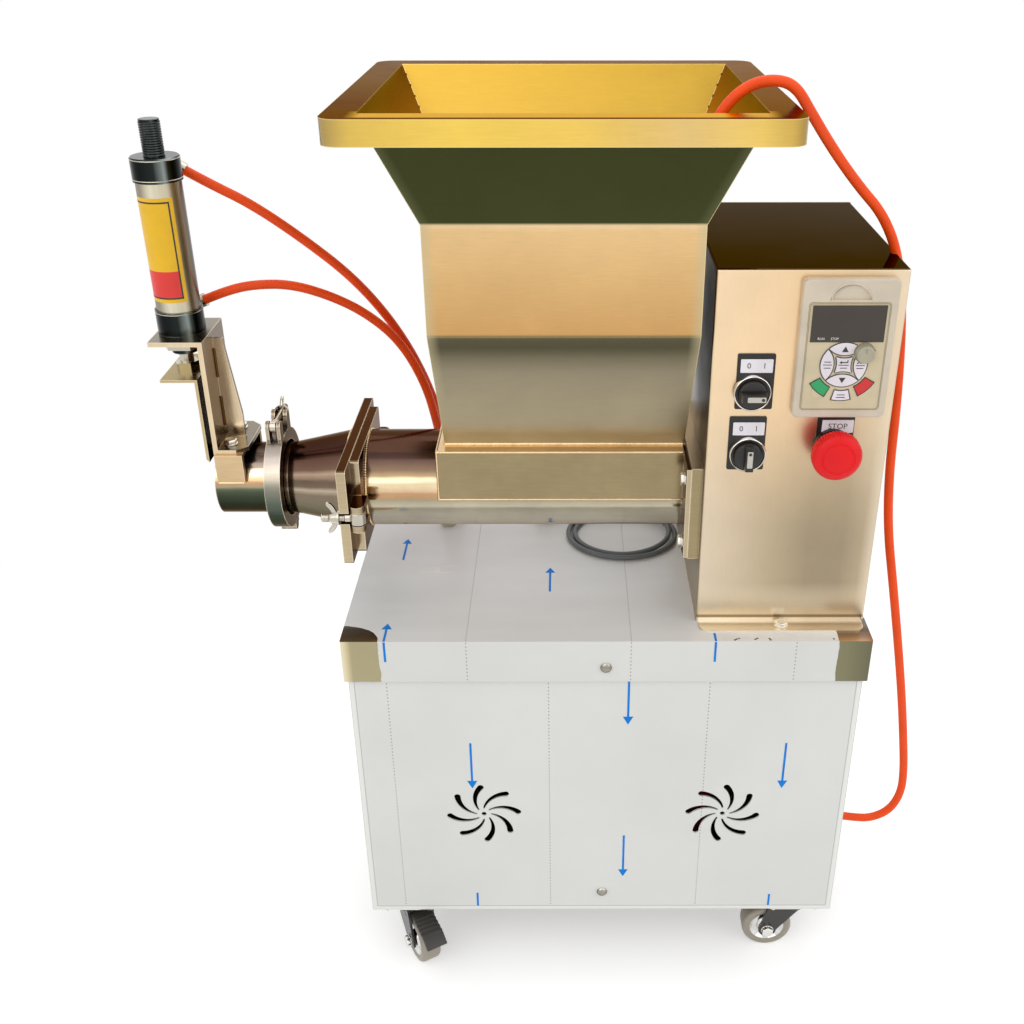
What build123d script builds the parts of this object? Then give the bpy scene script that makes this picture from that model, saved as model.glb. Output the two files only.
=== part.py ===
from build123d import *
import os
from math import atan, cos, pi, radians, sin, tan

# Dough divider on castors: an auger under a hopper pushes dough along a barrel and out of a nozzle,
# where a blade on an air cylinder cuts it. Millimetres, +Z up, front towards -Y, nozzle towards -X.
# The origin lies on the floor under the middle of the machine.

os.makedirs("parts", exist_ok=True)

# Clearances
HOLE_FIT = 0.3
RUNNING_FIT = 0.05
SIDE_GAP = 0.4
SWING_GAP = 0.5

# Cabinet and lid, folded stainless sheet
SHEET = 1.5
CABINET_X = 66.0
CABINET_Y = 18.5
CABINET_W = 452.0
CABINET_D = 271.0
CABINET_H = 319.5
CASTOR_H = 71.0
PANEL_RETURN = 22.0
LID_GAP = 2.0
LID_SKIRT = 42.0
VENT_SPREAD = 112.0
VENT_Z = 195.0
VENT_HUB_R = 6.5
VENT_TIP_R = 32.0
VENT_SWEEP = 41.0
VENT_SLOTS = 8
VENT_HALF_WIDTH = (0.8, 3.0)
VENT_EYE_R = 2.3
SKIRT_SCREW_DROP = 27.0
PANEL_SCREW_Z = 95.0

# Castors: swivel axes stand in from the cabinet's sides
CASTOR_INSET_X = 34.0
CASTOR_INSET_Y = 29.0
WHEEL_R = 25.0
WHEEL_W = 20.0
WHEEL_TRAIL = 22.0
HUB_R = 17.0
TYRE_EDGE_R = 3.0
HUB_GROOVE_W = 5.0
HUB_GROOVE_DEPTH = 3.0
HUB_GROOVE_SLOPE = 1.0
WHEEL_SIDE_GAP = 1.0
AXLE_R = 4.0
TOP_PLATE = 54.0
TOP_PLATE_T = 3.0
TOP_BOLT_OFFSET = 20.5
RACE_R = 20.0
RACE_H = 5.0
KING_PIN_R = 5.0
KING_HEAD_R = 8.0
KING_HEAD_H = 2.5
CROWN_R = 21.0
CROWN_T = 3.0
LEG_T = 2.5
LEG_R = 9.0
LEG_FRONT = 15.0
PEDAL_W = 21.0
PEDAL_PIN_R = 2.4
PEDAL_BOSS_R = 4.4
PEDAL_PIN = (15.0, 54.5)
PEDAL_OUTLINE = ((0, -1), (12, -0.5), (36, -5), (44, -11), (47, -9), (38, -2), (12, 3), (0, 3))
PEDAL_RIBS = ((14, 2.5), (22, 0.5))
PEDAL_RIB_R = 1.6
CASTOR_TRAILS = {"front_left": -60.0, "front_right": 180.0, "rear_left": 150.0, "rear_right": 35.0}

# Control box
BOX_INSET = 2.45
BOX_W = 147.5
BOX_D = 216.0
BOX_H = 317.0
BOX_SETBACK = 31.0
BOX_EDGE_R = 2.0
FOOT_FLANGE = 16.4
FOOT_CORNER_R = 8.0
BOX_RETURN = 20.0
COVER_SCREW_INSET = (14.0, 20.0)
LOUVRES = 6
LOUVRE_L = 70.0
LOUVRE_W = 4.0
LOUVRE_PITCH = 9.0
LOUVRE_DROP = 70.0

# Operator panel, measured from the box's left edge and from the deck
KEYPAD_W = 74.0
KEYPAD_H = 113.0
KEYPAD_T = 7.0
KEYPAD_CORNER_R = 4.5
KEYPAD_EDGE_R = 1.5
KEYPAD_BODY_T = 16.0
KEYPAD_BODY_MARGIN = 5.0
KEYPAD_LEFT = 65.5
KEYPAD_BASE = 198.0
OVERLAY_W = 62.5
OVERLAY_H = 88.0
OVERLAY_T = 0.8
OVERLAY_LIFT = 7.0
OVERLAY_CORNER_R = 3.0
DISPLAY_W = 57.0
DISPLAY_H = 29.5
DISPLAY_DROP = 2.0
FINGER_SLOT_W = 32.0
FINGER_SLOT_H = 12.0
FINGER_SLOT_DEPTH = 2.0
FINGER_SLOT_DROP = 4.0
KEY_LIFT = 0.4
ENTER_KEY = 11.0
KEY_CORNER_R = 2.0
ENTER_RIGHT = 31.5
ENTER_RISE = 36.2
ARROW_KEY_R = 6.0
ARROW_KEY_OFFSET = 13.5
RIGHT_KEY_DROP = 4.0
START_KEY_R = 5.0
START_KEY_OFFSET = (18.5, 21.5)
MODE_KEY_W = 14.0
MODE_KEY_H = 6.5
MODE_KEY_DROP = 27.0
POT_R = 7.2
POT_T = 7.0
POT_STEM_R = 3.0
POT_EDGE_R = 1.0
POT_MARK_L = 5.2
POT_MARK_W = 1.2
POT_MARK_DEPTH = 0.6
POT_FROM_ENTER = (14.4, 12.0)
SWITCH_X = 33.45
SWITCH_RISES = (218.0, 164.5)
SWITCH_TURNS = (0.0, 90.0)
ESTOP_FROM_LEFT = 101.5
ESTOP_RISE = 171.5
ESTOP_R = 20.0
ESTOP_T = 14.0
ESTOP_STAND = 11.0
ESTOP_TRAVEL = 5.0
ESTOP_EDGE_R = 5.0
ESTOP_NECK_R = 12.0
LEGEND_W = 30.0
LEGEND_T = 1.0
LEGEND_TOPS = (31.7, 31.9, 25.5)
LEGEND_SHIFTS = (2.0, -1.0, 1.7)
LEGEND_FOOT = 15.0
LEGEND_CORNER_R = 1.5
SWITCH_HOLE_R = 11.2
SWITCH_BARREL_R = 11.0
SWITCH_BEZEL_R = 14.75
SWITCH_BEZEL_T = 4.5
SWITCH_NUT_R = 14.0
SWITCH_NUT_T = 4.0
CONTACT_W = 28.0
CONTACT_H = 30.0
CONTACT_D = 32.0
KNOB_R = 11.4
KNOB_BASE_T = 6.0
KNOB_GRIP_W = 8.0
KNOB_GRIP_T = 9.0
KNOB_GRIP_L = 22.3
KNOB_EDGE_R = 1.5
STEM_R = 5.5
STEM_L = 16.0
INVERTER_W = 70.0
INVERTER_D = 120.0
INVERTER_H = 118.0
INVERTER_FINS = 9
INVERTER_SLOT_L = 54.0
INVERTER_SLOT_W = 5.0
INVERTER_SLOT_DEPTH = 8.0

# Barrel, auger and their flanges
AXIS_Y = -7.3
AXIS_RISE = 102.4
BARREL_BORE = 80.0
BARREL_WALL = 3.0
BARREL_L = 287.05
HOUSING_T = 9.5
HOUSING_W = 148.0
HOUSING_H = 86.0
CARTRIDGE_R = 32.0
CARTRIDGE_L = 38.0
FLANGE_T = 4.0
FLANGE_H = 84.0
FLANGE_BOLT_Y = 66.0
FLANGE_BOLT_Z = 30.0
END_PLATE_T = 8.0
END_PLATE_W = 120.0
END_PLATE_H = 88.0
PLATE_CORNER_R = 3.0
OUTLET_PLATE_W = 162.0
LUG_R = 6.5
LUG_T = 6.0
LUG_PIN_R = 3.0
SWING_BOLT_R = 4.0
SWING_BOLT_L = 31.0
SWING_EYE_H = 11.0
SWING_INSET = 3.0
SWING_SLOT_ROOM = 1.0
BEARING_R = 26.0
BEARING_W = 15.0
SHAFT_R = 12.5
SEAL_GAP = 2.0
CORE_R = 16.0
FLIGHT_R = 38.5
FLIGHT_T = 6.0
FLIGHT_PITCH = 55.0
FLIGHT_ROOT = 3.0
AUGER_NOSE = 3.0

# Trough and hopper
TROUGH_L = 211.05
TROUGH_SHEET = 2.0
HOPPER_L = 210.5
HOPPER_NECK_L = 206.0
HOPPER_NECK = 60.0
HOPPER_D = 186.0
HOPPER_LOWER_H = 119.3
HOPPER_MIDDLE_H = 86.0
HOPPER_FLARE_H = 84.0
HOPPER_FLARE = 36.0
HOPPER_OVERHANG = 1.0
RIM_FLANGE = 22.0
RIM_SKIRT = 18.0
RIM_CORNER_R = 14.0

# Outlet cone, pipe clamp and nozzle
CONE_L = 53.15
NECK_L = 8.0
PIPE_R = 31.75
PIPE_WALL = 1.6
FERRULE_R = 38.75
FERRULE_T = 2.85
NOZZLE_L = 53.0
CLAMP_R = 45.0
CLAMP_W = 14.0
CLAMP_LIP_R = 34.5
CLAMP_SPLIT = 2.0
CLAMP_PIN_R = 2.5
CLAMP_KNUCKLE_R = 5.0
CLAMP_KNUCKLE_RISE = 48.0
CLAMP_BOLT_R = 3.0
CLAMP_BOLT_RISE = 55.0
CLAMP_BOLT_L = 47.0
CLAMP_EYE_H = 6.0
CLAMP_PIVOT_BACK = 13.0
CLAMP_CHEEK_T = 3.0
CLAMP_EAR = 10.0
CLAMP_EAR_ROOT = 1.0
BOLT_CHAMFER = 1.0
WING_HUB_R = 6.5
WING_HUB_L = 8.0
WING_SPAN = 15.0
CLAMP_WING_SPAN = 12.0
WING_T = 3.0
WING_LIFT = 2.5
WING_TAPER = 8.0
SADDLE_W = 24.0
SADDLE_INSET = 4.0
SADDLE_T = 3.0
SADDLE_LEG_T = 5.0
SADDLE_HALF = 34.5
SADDLE_RISE = 37.0
SADDLE_FOOT = 11.0

# Cutter: bracket, air cylinder and blade
BRACKET_T = 4.0
BRACKET_W = 64.0
BRACKET_OVERHANG = 0.5
BRACKET_FOOT = 28.5
BRACKET_RISE = 101.6
SHELF_L = 44.5
GUSSET_FOOT = 16.5
GUSSET_FOOT_H = 21.6
GUSSET_TOP = 8.0
GUSSET_CLEAR = 3.0
BRACKET_BOLT_X = 11.5
BRACKET_BOLT_Y = 18.0
BRACKET_CORNER = 9.0
CYLINDER_FROM_EDGE = 20.0
CYLINDER_BORE_R = 16.0
CYLINDER_R = 18.0
CAP_R = 19.5
LOWER_CAP_H = 20.0
TOP_CAP_H = 19.0
LOWER_PORT_LIFT = 2.0
STUD_R = 8.0
STUD_L = 28.0
NOSE_R = 11.0
NOSE_L = 18.0
NOSE_NUT_AF = 32.0
NOSE_NUT_H = 9.0
ROD_R = 6.0
ROD_END_R = 5.0
ROD_TIP = 4.0
PISTON_H = 15.0
PISTON_TOP_GAP = 3.0
PISTON_FOOT_GAP = 17.0
STROKE = 70.0
BLADE_T = 2.5
BLADE_GAP = 1.0
BLADE_W = 64.0
BLADE_H = 76.0
BLADE_FLANGE = 31.0
BLADE_DROP = 33.0
ROD_NUT_AF = 17.0
ROD_NUT_H = 6.0

# Drive inside the cabinet
CHAIN_PITCH = 12.7
CHAIN_ROLLER_R = 4.0
CHAIN_W = 8.0
CHAIN_T = 8.0
AUGER_TEETH = 18
MOTOR_TEETH = 12
TOOTH_RISE = 2.6
SPROCKET_T = 6.0
SPROCKET_GAP = 6.0
SPROCKET_HUB_L = 10.0
SPROCKET_HUB_R = 19.0
MOTOR_HUB_R = 16.0
CHAIN_SLOT_ROOM = 6.0
MOTOR_Z = 230.0
MOTOR_R = 55.0
MOTOR_L = 150.0
MOTOR_FINS = 12
FIN_DEPTH = 4.0
FIN_START = 14.0
FIN_PITCH = 9.2
GEARBOX_L = 70.0
GEARBOX_W = 100.0
GEARBOX_RISE = 58.0
GEARBOX_FOOT_W = 140.0
GEARBOX_FOOT_T = 12.0
GEARBOX_CORNER_R = 14.0
GEARBOX_BOLT_INSET = (12.0, 10.0)
MOTOR_SHAFT_R = 10.0
MOTOR_SHAFT_DEPTH = 24.0
VALVE_W = 80.0
VALVE_D = 26.0
VALVE_H = 44.0
VALVE_COIL = 26.0
VALVE_Z = 250.0
VALVE_FROM_RIGHT = 90.0
VALVE_PORT_SPREAD = 18.0

# Fasteners
M5_R = 2.5
M5_AF = 8.0
M5_HEAD = 3.5
M6_R = 3.0
M6_AF = 10.0
M6_HEAD = 4.0
PAN_R = 5.0
PAN_HEAD = 3.0
PAN_TAPER = 20.0
SCREW_L = 10.0

# Air hoses and cable
HOSE_R = 4.0
CABLE_R = 2.5
PORT_R = 5.0
ELBOW_R = 6.5
ELBOW_TIP_R = 5.8
ELBOW_REACH = 8.0
ELBOW_L = 16.0
ELBOW_SEAT_GAP = 1.0
UPPER_ELBOW_TILT = -30.0
LOWER_ELBOW_TILT = 22.0
HOSE_LEAD = 22.0
CABLE_LEAD = 13.0
BULKHEAD_R = 7.5
BULKHEAD_H = 24.0
BULKHEAD_AF = 17.0
UPPER_BULKHEAD = (-84.0, 116.0)
LOWER_BULKHEAD = (-88.0, 93.0)
INLET_Y = -40.0
INLET_Z = 122.0
INLET_L = 18.0
GLAND_R = 8.0
GLAND_L = 16.0
GLAND_TIP_R = 7.0
BOX_GLAND_Y = 113.5
BOX_GLAND_RISE = 11.0
DECK_GLAND = (8.0, 104.0)
DECK_GLAND_RISE = 10.0
COIL_X = 88.5
COIL_Y = 66.5
COIL_HALF_X = 57.5
COIL_HALF_Y = 53.0
COIL_STEP = 6.5
COIL_TURNS = 2
COIL_POINTS = 14
COIL_LIFT = 0.2
COIL_HUMP = 7.0
ARC_SHARE = 0.45

# Places worked out from the driving sizes
lid_w = CABINET_W + 2 * (LID_GAP + SHEET)
lid_d = CABINET_D + 2 * (LID_GAP + SHEET)
lid_front = CABINET_Y - lid_d / 2
lid_right = CABINET_X + lid_w / 2
deck_z = CASTOR_H + CABINET_H + SHEET
cabinet_left = CABINET_X - CABINET_W / 2
cabinet_right = CABINET_X + CABINET_W / 2
cabinet_front = CABINET_Y - CABINET_D / 2
cabinet_rear = CABINET_Y + CABINET_D / 2
floor_top = CASTOR_H + SHEET

box_right = lid_right - BOX_INSET
box_left = box_right - BOX_W
box_x = box_left + BOX_W / 2
box_front = lid_front + BOX_SETBACK
box_rear = box_front + BOX_D
box_y = box_front + BOX_D / 2
box_top = deck_z + BOX_H

axis_z = deck_z + AXIS_RISE
barrel_r = BARREL_BORE / 2 + BARREL_WALL
housing_left = box_left - HOUSING_T
flange_left = housing_left - FLANGE_T
barrel_left = housing_left - BARREL_L
outlet_plate_left = barrel_left - END_PLATE_T
trough_left = flange_left - TROUGH_L
trough_rise = barrel_r + HOLE_FIT + TROUGH_SHEET
trough_top = axis_z + trough_rise
trough_half = barrel_r + HOLE_FIT + TROUGH_SHEET
hopper_x = flange_left + HOPPER_OVERHANG - HOPPER_NECK_L / 2
hopper_break = trough_top + HOPPER_LOWER_H
hopper_shoulder = hopper_break + HOPPER_MIDDLE_H
hopper_top = hopper_shoulder + HOPPER_FLARE_H
mouth_l = HOPPER_L + 2 * HOPPER_FLARE
mouth_d = HOPPER_D + 2 * HOPPER_FLARE

swing_pin_x = barrel_left + LUG_R + SWING_GAP
swing_reach = OUTLET_PLATE_W / 2 - SWING_INSET
joint_x = outlet_plate_left - CONE_L - NECK_L - FERRULE_T
nozzle_mouth = joint_x - NOZZLE_L

saddle_left = nozzle_mouth + SADDLE_INSET
bracket_left = saddle_left - BRACKET_OVERHANG
bracket_z = axis_z + SADDLE_RISE
shelf_top = bracket_z + BRACKET_RISE
shelf_left = bracket_left + BRACKET_T - SHELF_L
cylinder_x = shelf_left + CYLINDER_FROM_EDGE
tube_z = shelf_top + LOWER_CAP_H
cylinder_l = STROKE + PISTON_H + PISTON_TOP_GAP + PISTON_FOOT_GAP
top_cap_z = tube_z + cylinder_l
blade_top = shelf_top - BLADE_DROP
blade_right = nozzle_mouth - BLADE_GAP

keypad_x = box_left + KEYPAD_LEFT + KEYPAD_W / 2
keypad_z = deck_z + KEYPAD_BASE + KEYPAD_H / 2
overlay_z = deck_z + KEYPAD_BASE + OVERLAY_LIFT + OVERLAY_H / 2
enter_x = keypad_x - OVERLAY_W / 2 + ENTER_RIGHT
enter_z = overlay_z - OVERLAY_H / 2 + ENTER_RISE
pot_x = enter_x + POT_FROM_ENTER[0]
pot_z = enter_z + POT_FROM_ENTER[1]
switch_x = box_left + SWITCH_X
switch_zs = [deck_z + rise for rise in SWITCH_RISES]
estop_x = box_left + ESTOP_FROM_LEFT
estop_z = deck_z + ESTOP_RISE

castor_x = (cabinet_left + CASTOR_INSET_X, cabinet_right - CASTOR_INSET_X)
castor_y = (cabinet_front + CASTOR_INSET_Y, cabinet_rear - CASTOR_INSET_Y)
castor_places = {
    "front_left": (castor_x[0], castor_y[0]),
    "front_right": (castor_x[1], castor_y[0]),
    "rear_left": (castor_x[0], castor_y[1]),
    "rear_right": (castor_x[1], castor_y[1]),
}
race_z = CASTOR_H - TOP_PLATE_T - RACE_H
crown_z = race_z - SIDE_GAP - CROWN_T

auger_pitch_r = CHAIN_PITCH / 2 / sin(pi / AUGER_TEETH)
motor_pitch_r = CHAIN_PITCH / 2 / sin(pi / MOTOR_TEETH)
sprocket_x = box_left + CARTRIDGE_L + SPROCKET_GAP
gearbox_right = sprocket_x - SPROCKET_GAP - SPROCKET_HUB_L
gearbox_left = gearbox_right - GEARBOX_L


def across(x):
    """Plane square to the barrel, with Y and Z from the barrel's axis; solids grow towards +X."""
    return Plane(origin=(x, AXIS_Y, axis_z), x_dir=(0, 1, 0), z_dir=(1, 0, 0))


def upright(y):
    """Plane facing the front, with X and Z as its own axes; solids grow towards the front."""
    return Plane(origin=(0, y, 0), x_dir=(1, 0, 0), z_dir=(0, -1, 0))


def level(x, y, z):
    """Horizontal plane about a place; solids grow upwards."""
    return Plane(origin=(x, y, z), x_dir=(1, 0, 0), z_dir=(0, 0, 1))


def keep(builder, name):
    """Name a finished piece and write it."""
    builder.part.label = name
    export_step(builder.part, f"parts/{name}.step")


barrel_axis = Axis((0, AXIS_Y, axis_z), (1, 0, 0))
side_plane = Plane(origin=(0, AXIS_Y, axis_z), x_dir=(1, 0, 0), z_dir=(0, -1, 0))


# Cabinet

with BuildPart() as cabinet_body:
    with BuildSketch(level(CABINET_X, CABINET_Y + SHEET / 2, CASTOR_H)):
        Rectangle(CABINET_W, CABINET_D - SHEET)
        Rectangle(CABINET_W - 2 * SHEET, CABINET_D - 3 * SHEET, mode=Mode.SUBTRACT)
        with Locations((0, -(CABINET_D - 2 * SHEET) / 2)):
            Rectangle(CABINET_W - 2 * (SHEET + PANEL_RETURN), 2 * SHEET, mode=Mode.SUBTRACT)
    extrude(amount=CABINET_H)
    with BuildSketch(Plane(origin=(cabinet_right, INLET_Y, INLET_Z), x_dir=(0, 1, 0), z_dir=(1, 0, 0))):
        Circle(PORT_R + HOLE_FIT)
    extrude(amount=-2 * SHEET, mode=Mode.SUBTRACT)
keep(cabinet_body, "cabinet_body")

motor_bolt_places = [(gearbox_left + GEARBOX_L / 2 + x * (GEARBOX_L / 2 - GEARBOX_BOLT_INSET[0]),
                      AXIS_Y + y * (GEARBOX_FOOT_W / 2 - GEARBOX_BOLT_INSET[1]))
                     for x in (-1, 1) for y in (-1, 1)]
castor_bolt_places = [(cx + dx, cy + dy) for cx, cy in castor_places.values()
                      for dx in (-TOP_BOLT_OFFSET, TOP_BOLT_OFFSET)
                      for dy in (-TOP_BOLT_OFFSET, TOP_BOLT_OFFSET)]

with BuildPart() as base_floor:
    with BuildSketch(level(CABINET_X, CABINET_Y + SHEET / 2, CASTOR_H)):
        Rectangle(CABINET_W - 2 * SHEET, CABINET_D - 3 * SHEET)
    extrude(amount=SHEET)
    with BuildSketch(level(0, 0, CASTOR_H)):
        with Locations(*castor_bolt_places):
            Circle(M5_R + HOLE_FIT)
        with Locations(*motor_bolt_places):
            Circle(M6_R + HOLE_FIT)
    extrude(amount=SHEET, mode=Mode.SUBTRACT)
keep(base_floor, "base_floor")


def vent_point(along, side):
    """A point on a vent slot: along runs from the hub to the tip, side is -1, 0 or 1."""
    radius = VENT_HUB_R + along * (VENT_TIP_R - VENT_HUB_R)
    lean = atan(radius * radians(VENT_SWEEP) / (VENT_TIP_R - VENT_HUB_R))
    half = VENT_HALF_WIDTH[0] + along * (VENT_HALF_WIDTH[1] - VENT_HALF_WIDTH[0])
    angle = along * radians(VENT_SWEEP)
    across_way = angle + lean + pi / 2
    x = radius * cos(angle) + side * half * cos(across_way)
    y = radius * sin(angle) + side * half * sin(across_way)
    return x, y, angle + lean


def vent_slot():
    """One swept slot of the fan-shaped vents, narrow at the hub and round at the tip."""
    tip_x, tip_y, heading = vent_point(1, 0)
    tip = (tip_x + VENT_HALF_WIDTH[1] * cos(heading), tip_y + VENT_HALF_WIDTH[1] * sin(heading))
    with BuildSketch(mode=Mode.PRIVATE) as slot:
        with BuildLine():
            ThreePointArc(*[vent_point(t, 1)[:2] for t in (0, 0.5, 1)])
            ThreePointArc(vent_point(1, 1)[:2], tip, vent_point(1, -1)[:2])
            ThreePointArc(*[vent_point(t, -1)[:2] for t in (1, 0.5, 0)])
            Line(vent_point(0, -1)[:2], vent_point(0, 1)[:2])
        make_face()
    return slot.sketch


right_slot = vent_slot()
left_slot = mirror(right_slot, about=Plane.YZ)
with BuildPart() as front_panel:
    with BuildSketch(upright(cabinet_front)):
        with Locations((CABINET_X, CASTOR_H + CABINET_H / 2)):
            Rectangle(CABINET_W, CABINET_H)
        for slot, side in ((left_slot, -1), (right_slot, 1)):
            with Locations((CABINET_X + side * VENT_SPREAD, VENT_Z)):
                Circle(VENT_EYE_R, mode=Mode.SUBTRACT)
                with PolarLocations(0, VENT_SLOTS):
                    add(slot, mode=Mode.SUBTRACT)
        with Locations((CABINET_X, PANEL_SCREW_Z), (CABINET_X, deck_z - SKIRT_SCREW_DROP)):
            Circle(M5_R + HOLE_FIT, mode=Mode.SUBTRACT)
    extrude(amount=-SHEET)
keep(front_panel, "front_panel")

chain_slot_d = 2 * (auger_pitch_r + TOOTH_RISE + SIDE_GAP + CHAIN_T + CHAIN_SLOT_ROOM)
foot_bolt_places = [(box_x, box_front - FOOT_FLANGE / 2), (box_x, box_rear + FOOT_FLANGE / 2)]

with BuildPart() as deck_lid:
    with BuildSketch(level(CABINET_X, CABINET_Y, deck_z - LID_SKIRT)):
        Rectangle(lid_w, lid_d)
    extrude(amount=LID_SKIRT)
    fillet(deck_lid.edges().filter_by(Axis.Z), SHEET)
    with BuildSketch(level(CABINET_X, CABINET_Y, deck_z - LID_SKIRT)):
        Rectangle(lid_w - 2 * SHEET, lid_d - 2 * SHEET)
    extrude(amount=LID_SKIRT - SHEET, mode=Mode.SUBTRACT)
    with BuildSketch(level(0, 0, deck_z)):
        with Locations((sprocket_x + SPROCKET_T / 2, AXIS_Y)):
            Rectangle(CHAIN_W + 2 * CHAIN_SLOT_ROOM, chain_slot_d)
        with Locations(*foot_bolt_places):
            Circle(M6_R + HOLE_FIT)
        with Locations(UPPER_BULKHEAD, LOWER_BULKHEAD):
            Circle(PORT_R + HOLE_FIT)
        with Locations(DECK_GLAND):
            Circle(PORT_R + HOLE_FIT)
    extrude(amount=-SHEET, mode=Mode.SUBTRACT)
    with BuildSketch(upright(lid_front)):
        with Locations((CABINET_X, deck_z - SKIRT_SCREW_DROP)):
            Circle(M5_R + HOLE_FIT)
    extrude(amount=-SHEET, mode=Mode.SUBTRACT)
keep(deck_lid, "deck_lid")


# Castors

with BuildPart() as castor_plates:
    for place in castor_places.values():
        with BuildSketch(level(*place, CASTOR_H)):
            RectangleRounded(TOP_PLATE, TOP_PLATE, LEG_R)
            with GridLocations(2 * TOP_BOLT_OFFSET, 2 * TOP_BOLT_OFFSET, 2, 2):
                Circle(M5_R + HOLE_FIT, mode=Mode.SUBTRACT)
        extrude(amount=-TOP_PLATE_T)
        with BuildSketch(level(*place, CASTOR_H - TOP_PLATE_T)):
            Circle(RACE_R)
        extrude(amount=-RACE_H)
        with BuildSketch(level(*place, race_z)):
            Circle(KING_PIN_R)
        extrude(amount=-(CROWN_T + 2 * SIDE_GAP))
        with BuildSketch(level(*place, crown_z - SIDE_GAP)):
            Circle(KING_HEAD_R)
        extrude(amount=-KING_HEAD_H)
keep(castor_plates, "castor_plates")


def trail_plane(name, offset):
    """Upright plane along a castor's trail, offset along its axle: X trails, Y is the height."""
    x, y = castor_places[name]
    turn = radians(CASTOR_TRAILS[name])
    side = (sin(turn), -cos(turn))
    origin = (x + offset * side[0], y + offset * side[1], 0)
    return Plane(origin=origin, x_dir=(cos(turn), sin(turn), 0), z_dir=(*side, 0))


def leg_outline(braked):
    """Side view of a fork leg, from the crown down to the round end at the axle."""
    with BuildSketch(mode=Mode.PRIVATE) as leg:
        with BuildLine():
            Polyline((-LEG_FRONT, crown_z + CROWN_T), (CROWN_R, crown_z + CROWN_T),
                     (WHEEL_TRAIL + LEG_R, WHEEL_R), (WHEEL_TRAIL - LEG_R, WHEEL_R), close=True)
        make_face()
        with Locations((WHEEL_TRAIL, WHEEL_R)):
            Circle(LEG_R)
        if braked:
            with Locations(PEDAL_PIN):
                Circle(PEDAL_PIN_R + RUNNING_FIT, mode=Mode.SUBTRACT)
    return leg.sketch


leg_inner = WHEEL_W / 2 + WHEEL_SIDE_GAP
fork_half = leg_inner + LEG_T
wheel_half = WHEEL_W / 2
groove_half = wheel_half - HUB_GROOVE_DEPTH
groove_r = HUB_R - HUB_GROOVE_W
for name, place in castor_places.items():
    leg = leg_outline(name == "front_left")
    with BuildPart() as fork:
        with BuildSketch(level(*place, crown_z)):
            Circle(CROWN_R)
            Circle(KING_PIN_R + RUNNING_FIT, mode=Mode.SUBTRACT)
        extrude(amount=CROWN_T)
        for inner, way in ((leg_inner, 1), (-leg_inner, -1)):
            with BuildSketch(trail_plane(name, inner)):
                add(leg)
            extrude(amount=way * LEG_T)
        with BuildSketch(trail_plane(name, -fork_half)):
            with Locations((WHEEL_TRAIL, WHEEL_R)):
                Circle(AXLE_R)
        extrude(amount=2 * fork_half)
        for end, way in ((fork_half, 1), (-fork_half, -1)):
            with BuildSketch(trail_plane(name, end)):
                with Locations((WHEEL_TRAIL, WHEEL_R)):
                    RegularPolygon(M6_AF / 2, 6, major_radius=False)
            extrude(amount=way * M6_HEAD)
    keep(fork, f"castor_fork_{name}")

    turn = radians(CASTOR_TRAILS[name])
    hub = (place[0] + WHEEL_TRAIL * cos(turn), place[1] + WHEEL_TRAIL * sin(turn), WHEEL_R)
    with BuildPart() as wheel:
        with BuildSketch(Plane(origin=hub, x_dir=(0, 0, 1), z_dir=(cos(turn), sin(turn), 0))) as profile:
            with BuildLine():
                Polyline((AXLE_R + RUNNING_FIT, -wheel_half), (groove_r, -wheel_half),
                         (groove_r + HUB_GROOVE_SLOPE, -groove_half), (HUB_R, -groove_half),
                         (HUB_R + HUB_GROOVE_SLOPE, -wheel_half), (WHEEL_R, -wheel_half),
                         (WHEEL_R, wheel_half), (HUB_R + HUB_GROOVE_SLOPE, wheel_half), (HUB_R, groove_half),
                         (groove_r + HUB_GROOVE_SLOPE, groove_half), (groove_r, wheel_half),
                         (AXLE_R + RUNNING_FIT, wheel_half), close=True)
            make_face()
            fillet(profile.vertices().sort_by(Axis.X)[-2:], TYRE_EDGE_R)
        revolve(axis=Axis(hub, (sin(turn), -cos(turn), 0)))
    keep(wheel, f"castor_wheel_{name}")


def from_pedal_pin(points):
    """Points given from the pedal's pin, in its castor's upright plane."""
    return [(PEDAL_PIN[0] + along, PEDAL_PIN[1] + rise) for along, rise in points]


with BuildPart() as brake_pedal:
    with BuildSketch(trail_plane("front_left", -PEDAL_W / 2)):
        with BuildLine():
            Polyline(*from_pedal_pin(PEDAL_OUTLINE), close=True)
        make_face()
        with Locations(PEDAL_PIN):
            Circle(PEDAL_BOSS_R)
        with Locations(*from_pedal_pin(PEDAL_RIBS)):
            Circle(PEDAL_RIB_R)
    extrude(amount=PEDAL_W)
    with BuildSketch(trail_plane("front_left", -fork_half)):
        with Locations(PEDAL_PIN):
            Circle(PEDAL_PIN_R)
    extrude(amount=2 * fork_half)
keep(brake_pedal, "brake_pedal")


# Control box and operator panel

flange_bolts = [(y, z) for y in (-FLANGE_BOLT_Y, FLANGE_BOLT_Y) for z in (-FLANGE_BOLT_Z, FLANGE_BOLT_Z)]
box_gland_z = deck_z + BOX_GLAND_RISE
cover_screws = [(box_x + x * (BOX_W / 2 - COVER_SCREW_INSET[0]),
                 deck_z + BOX_H / 2 + z * (BOX_H / 2 - COVER_SCREW_INSET[1]))
                for x in (-1, 1) for z in (-1, 1)]

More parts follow.
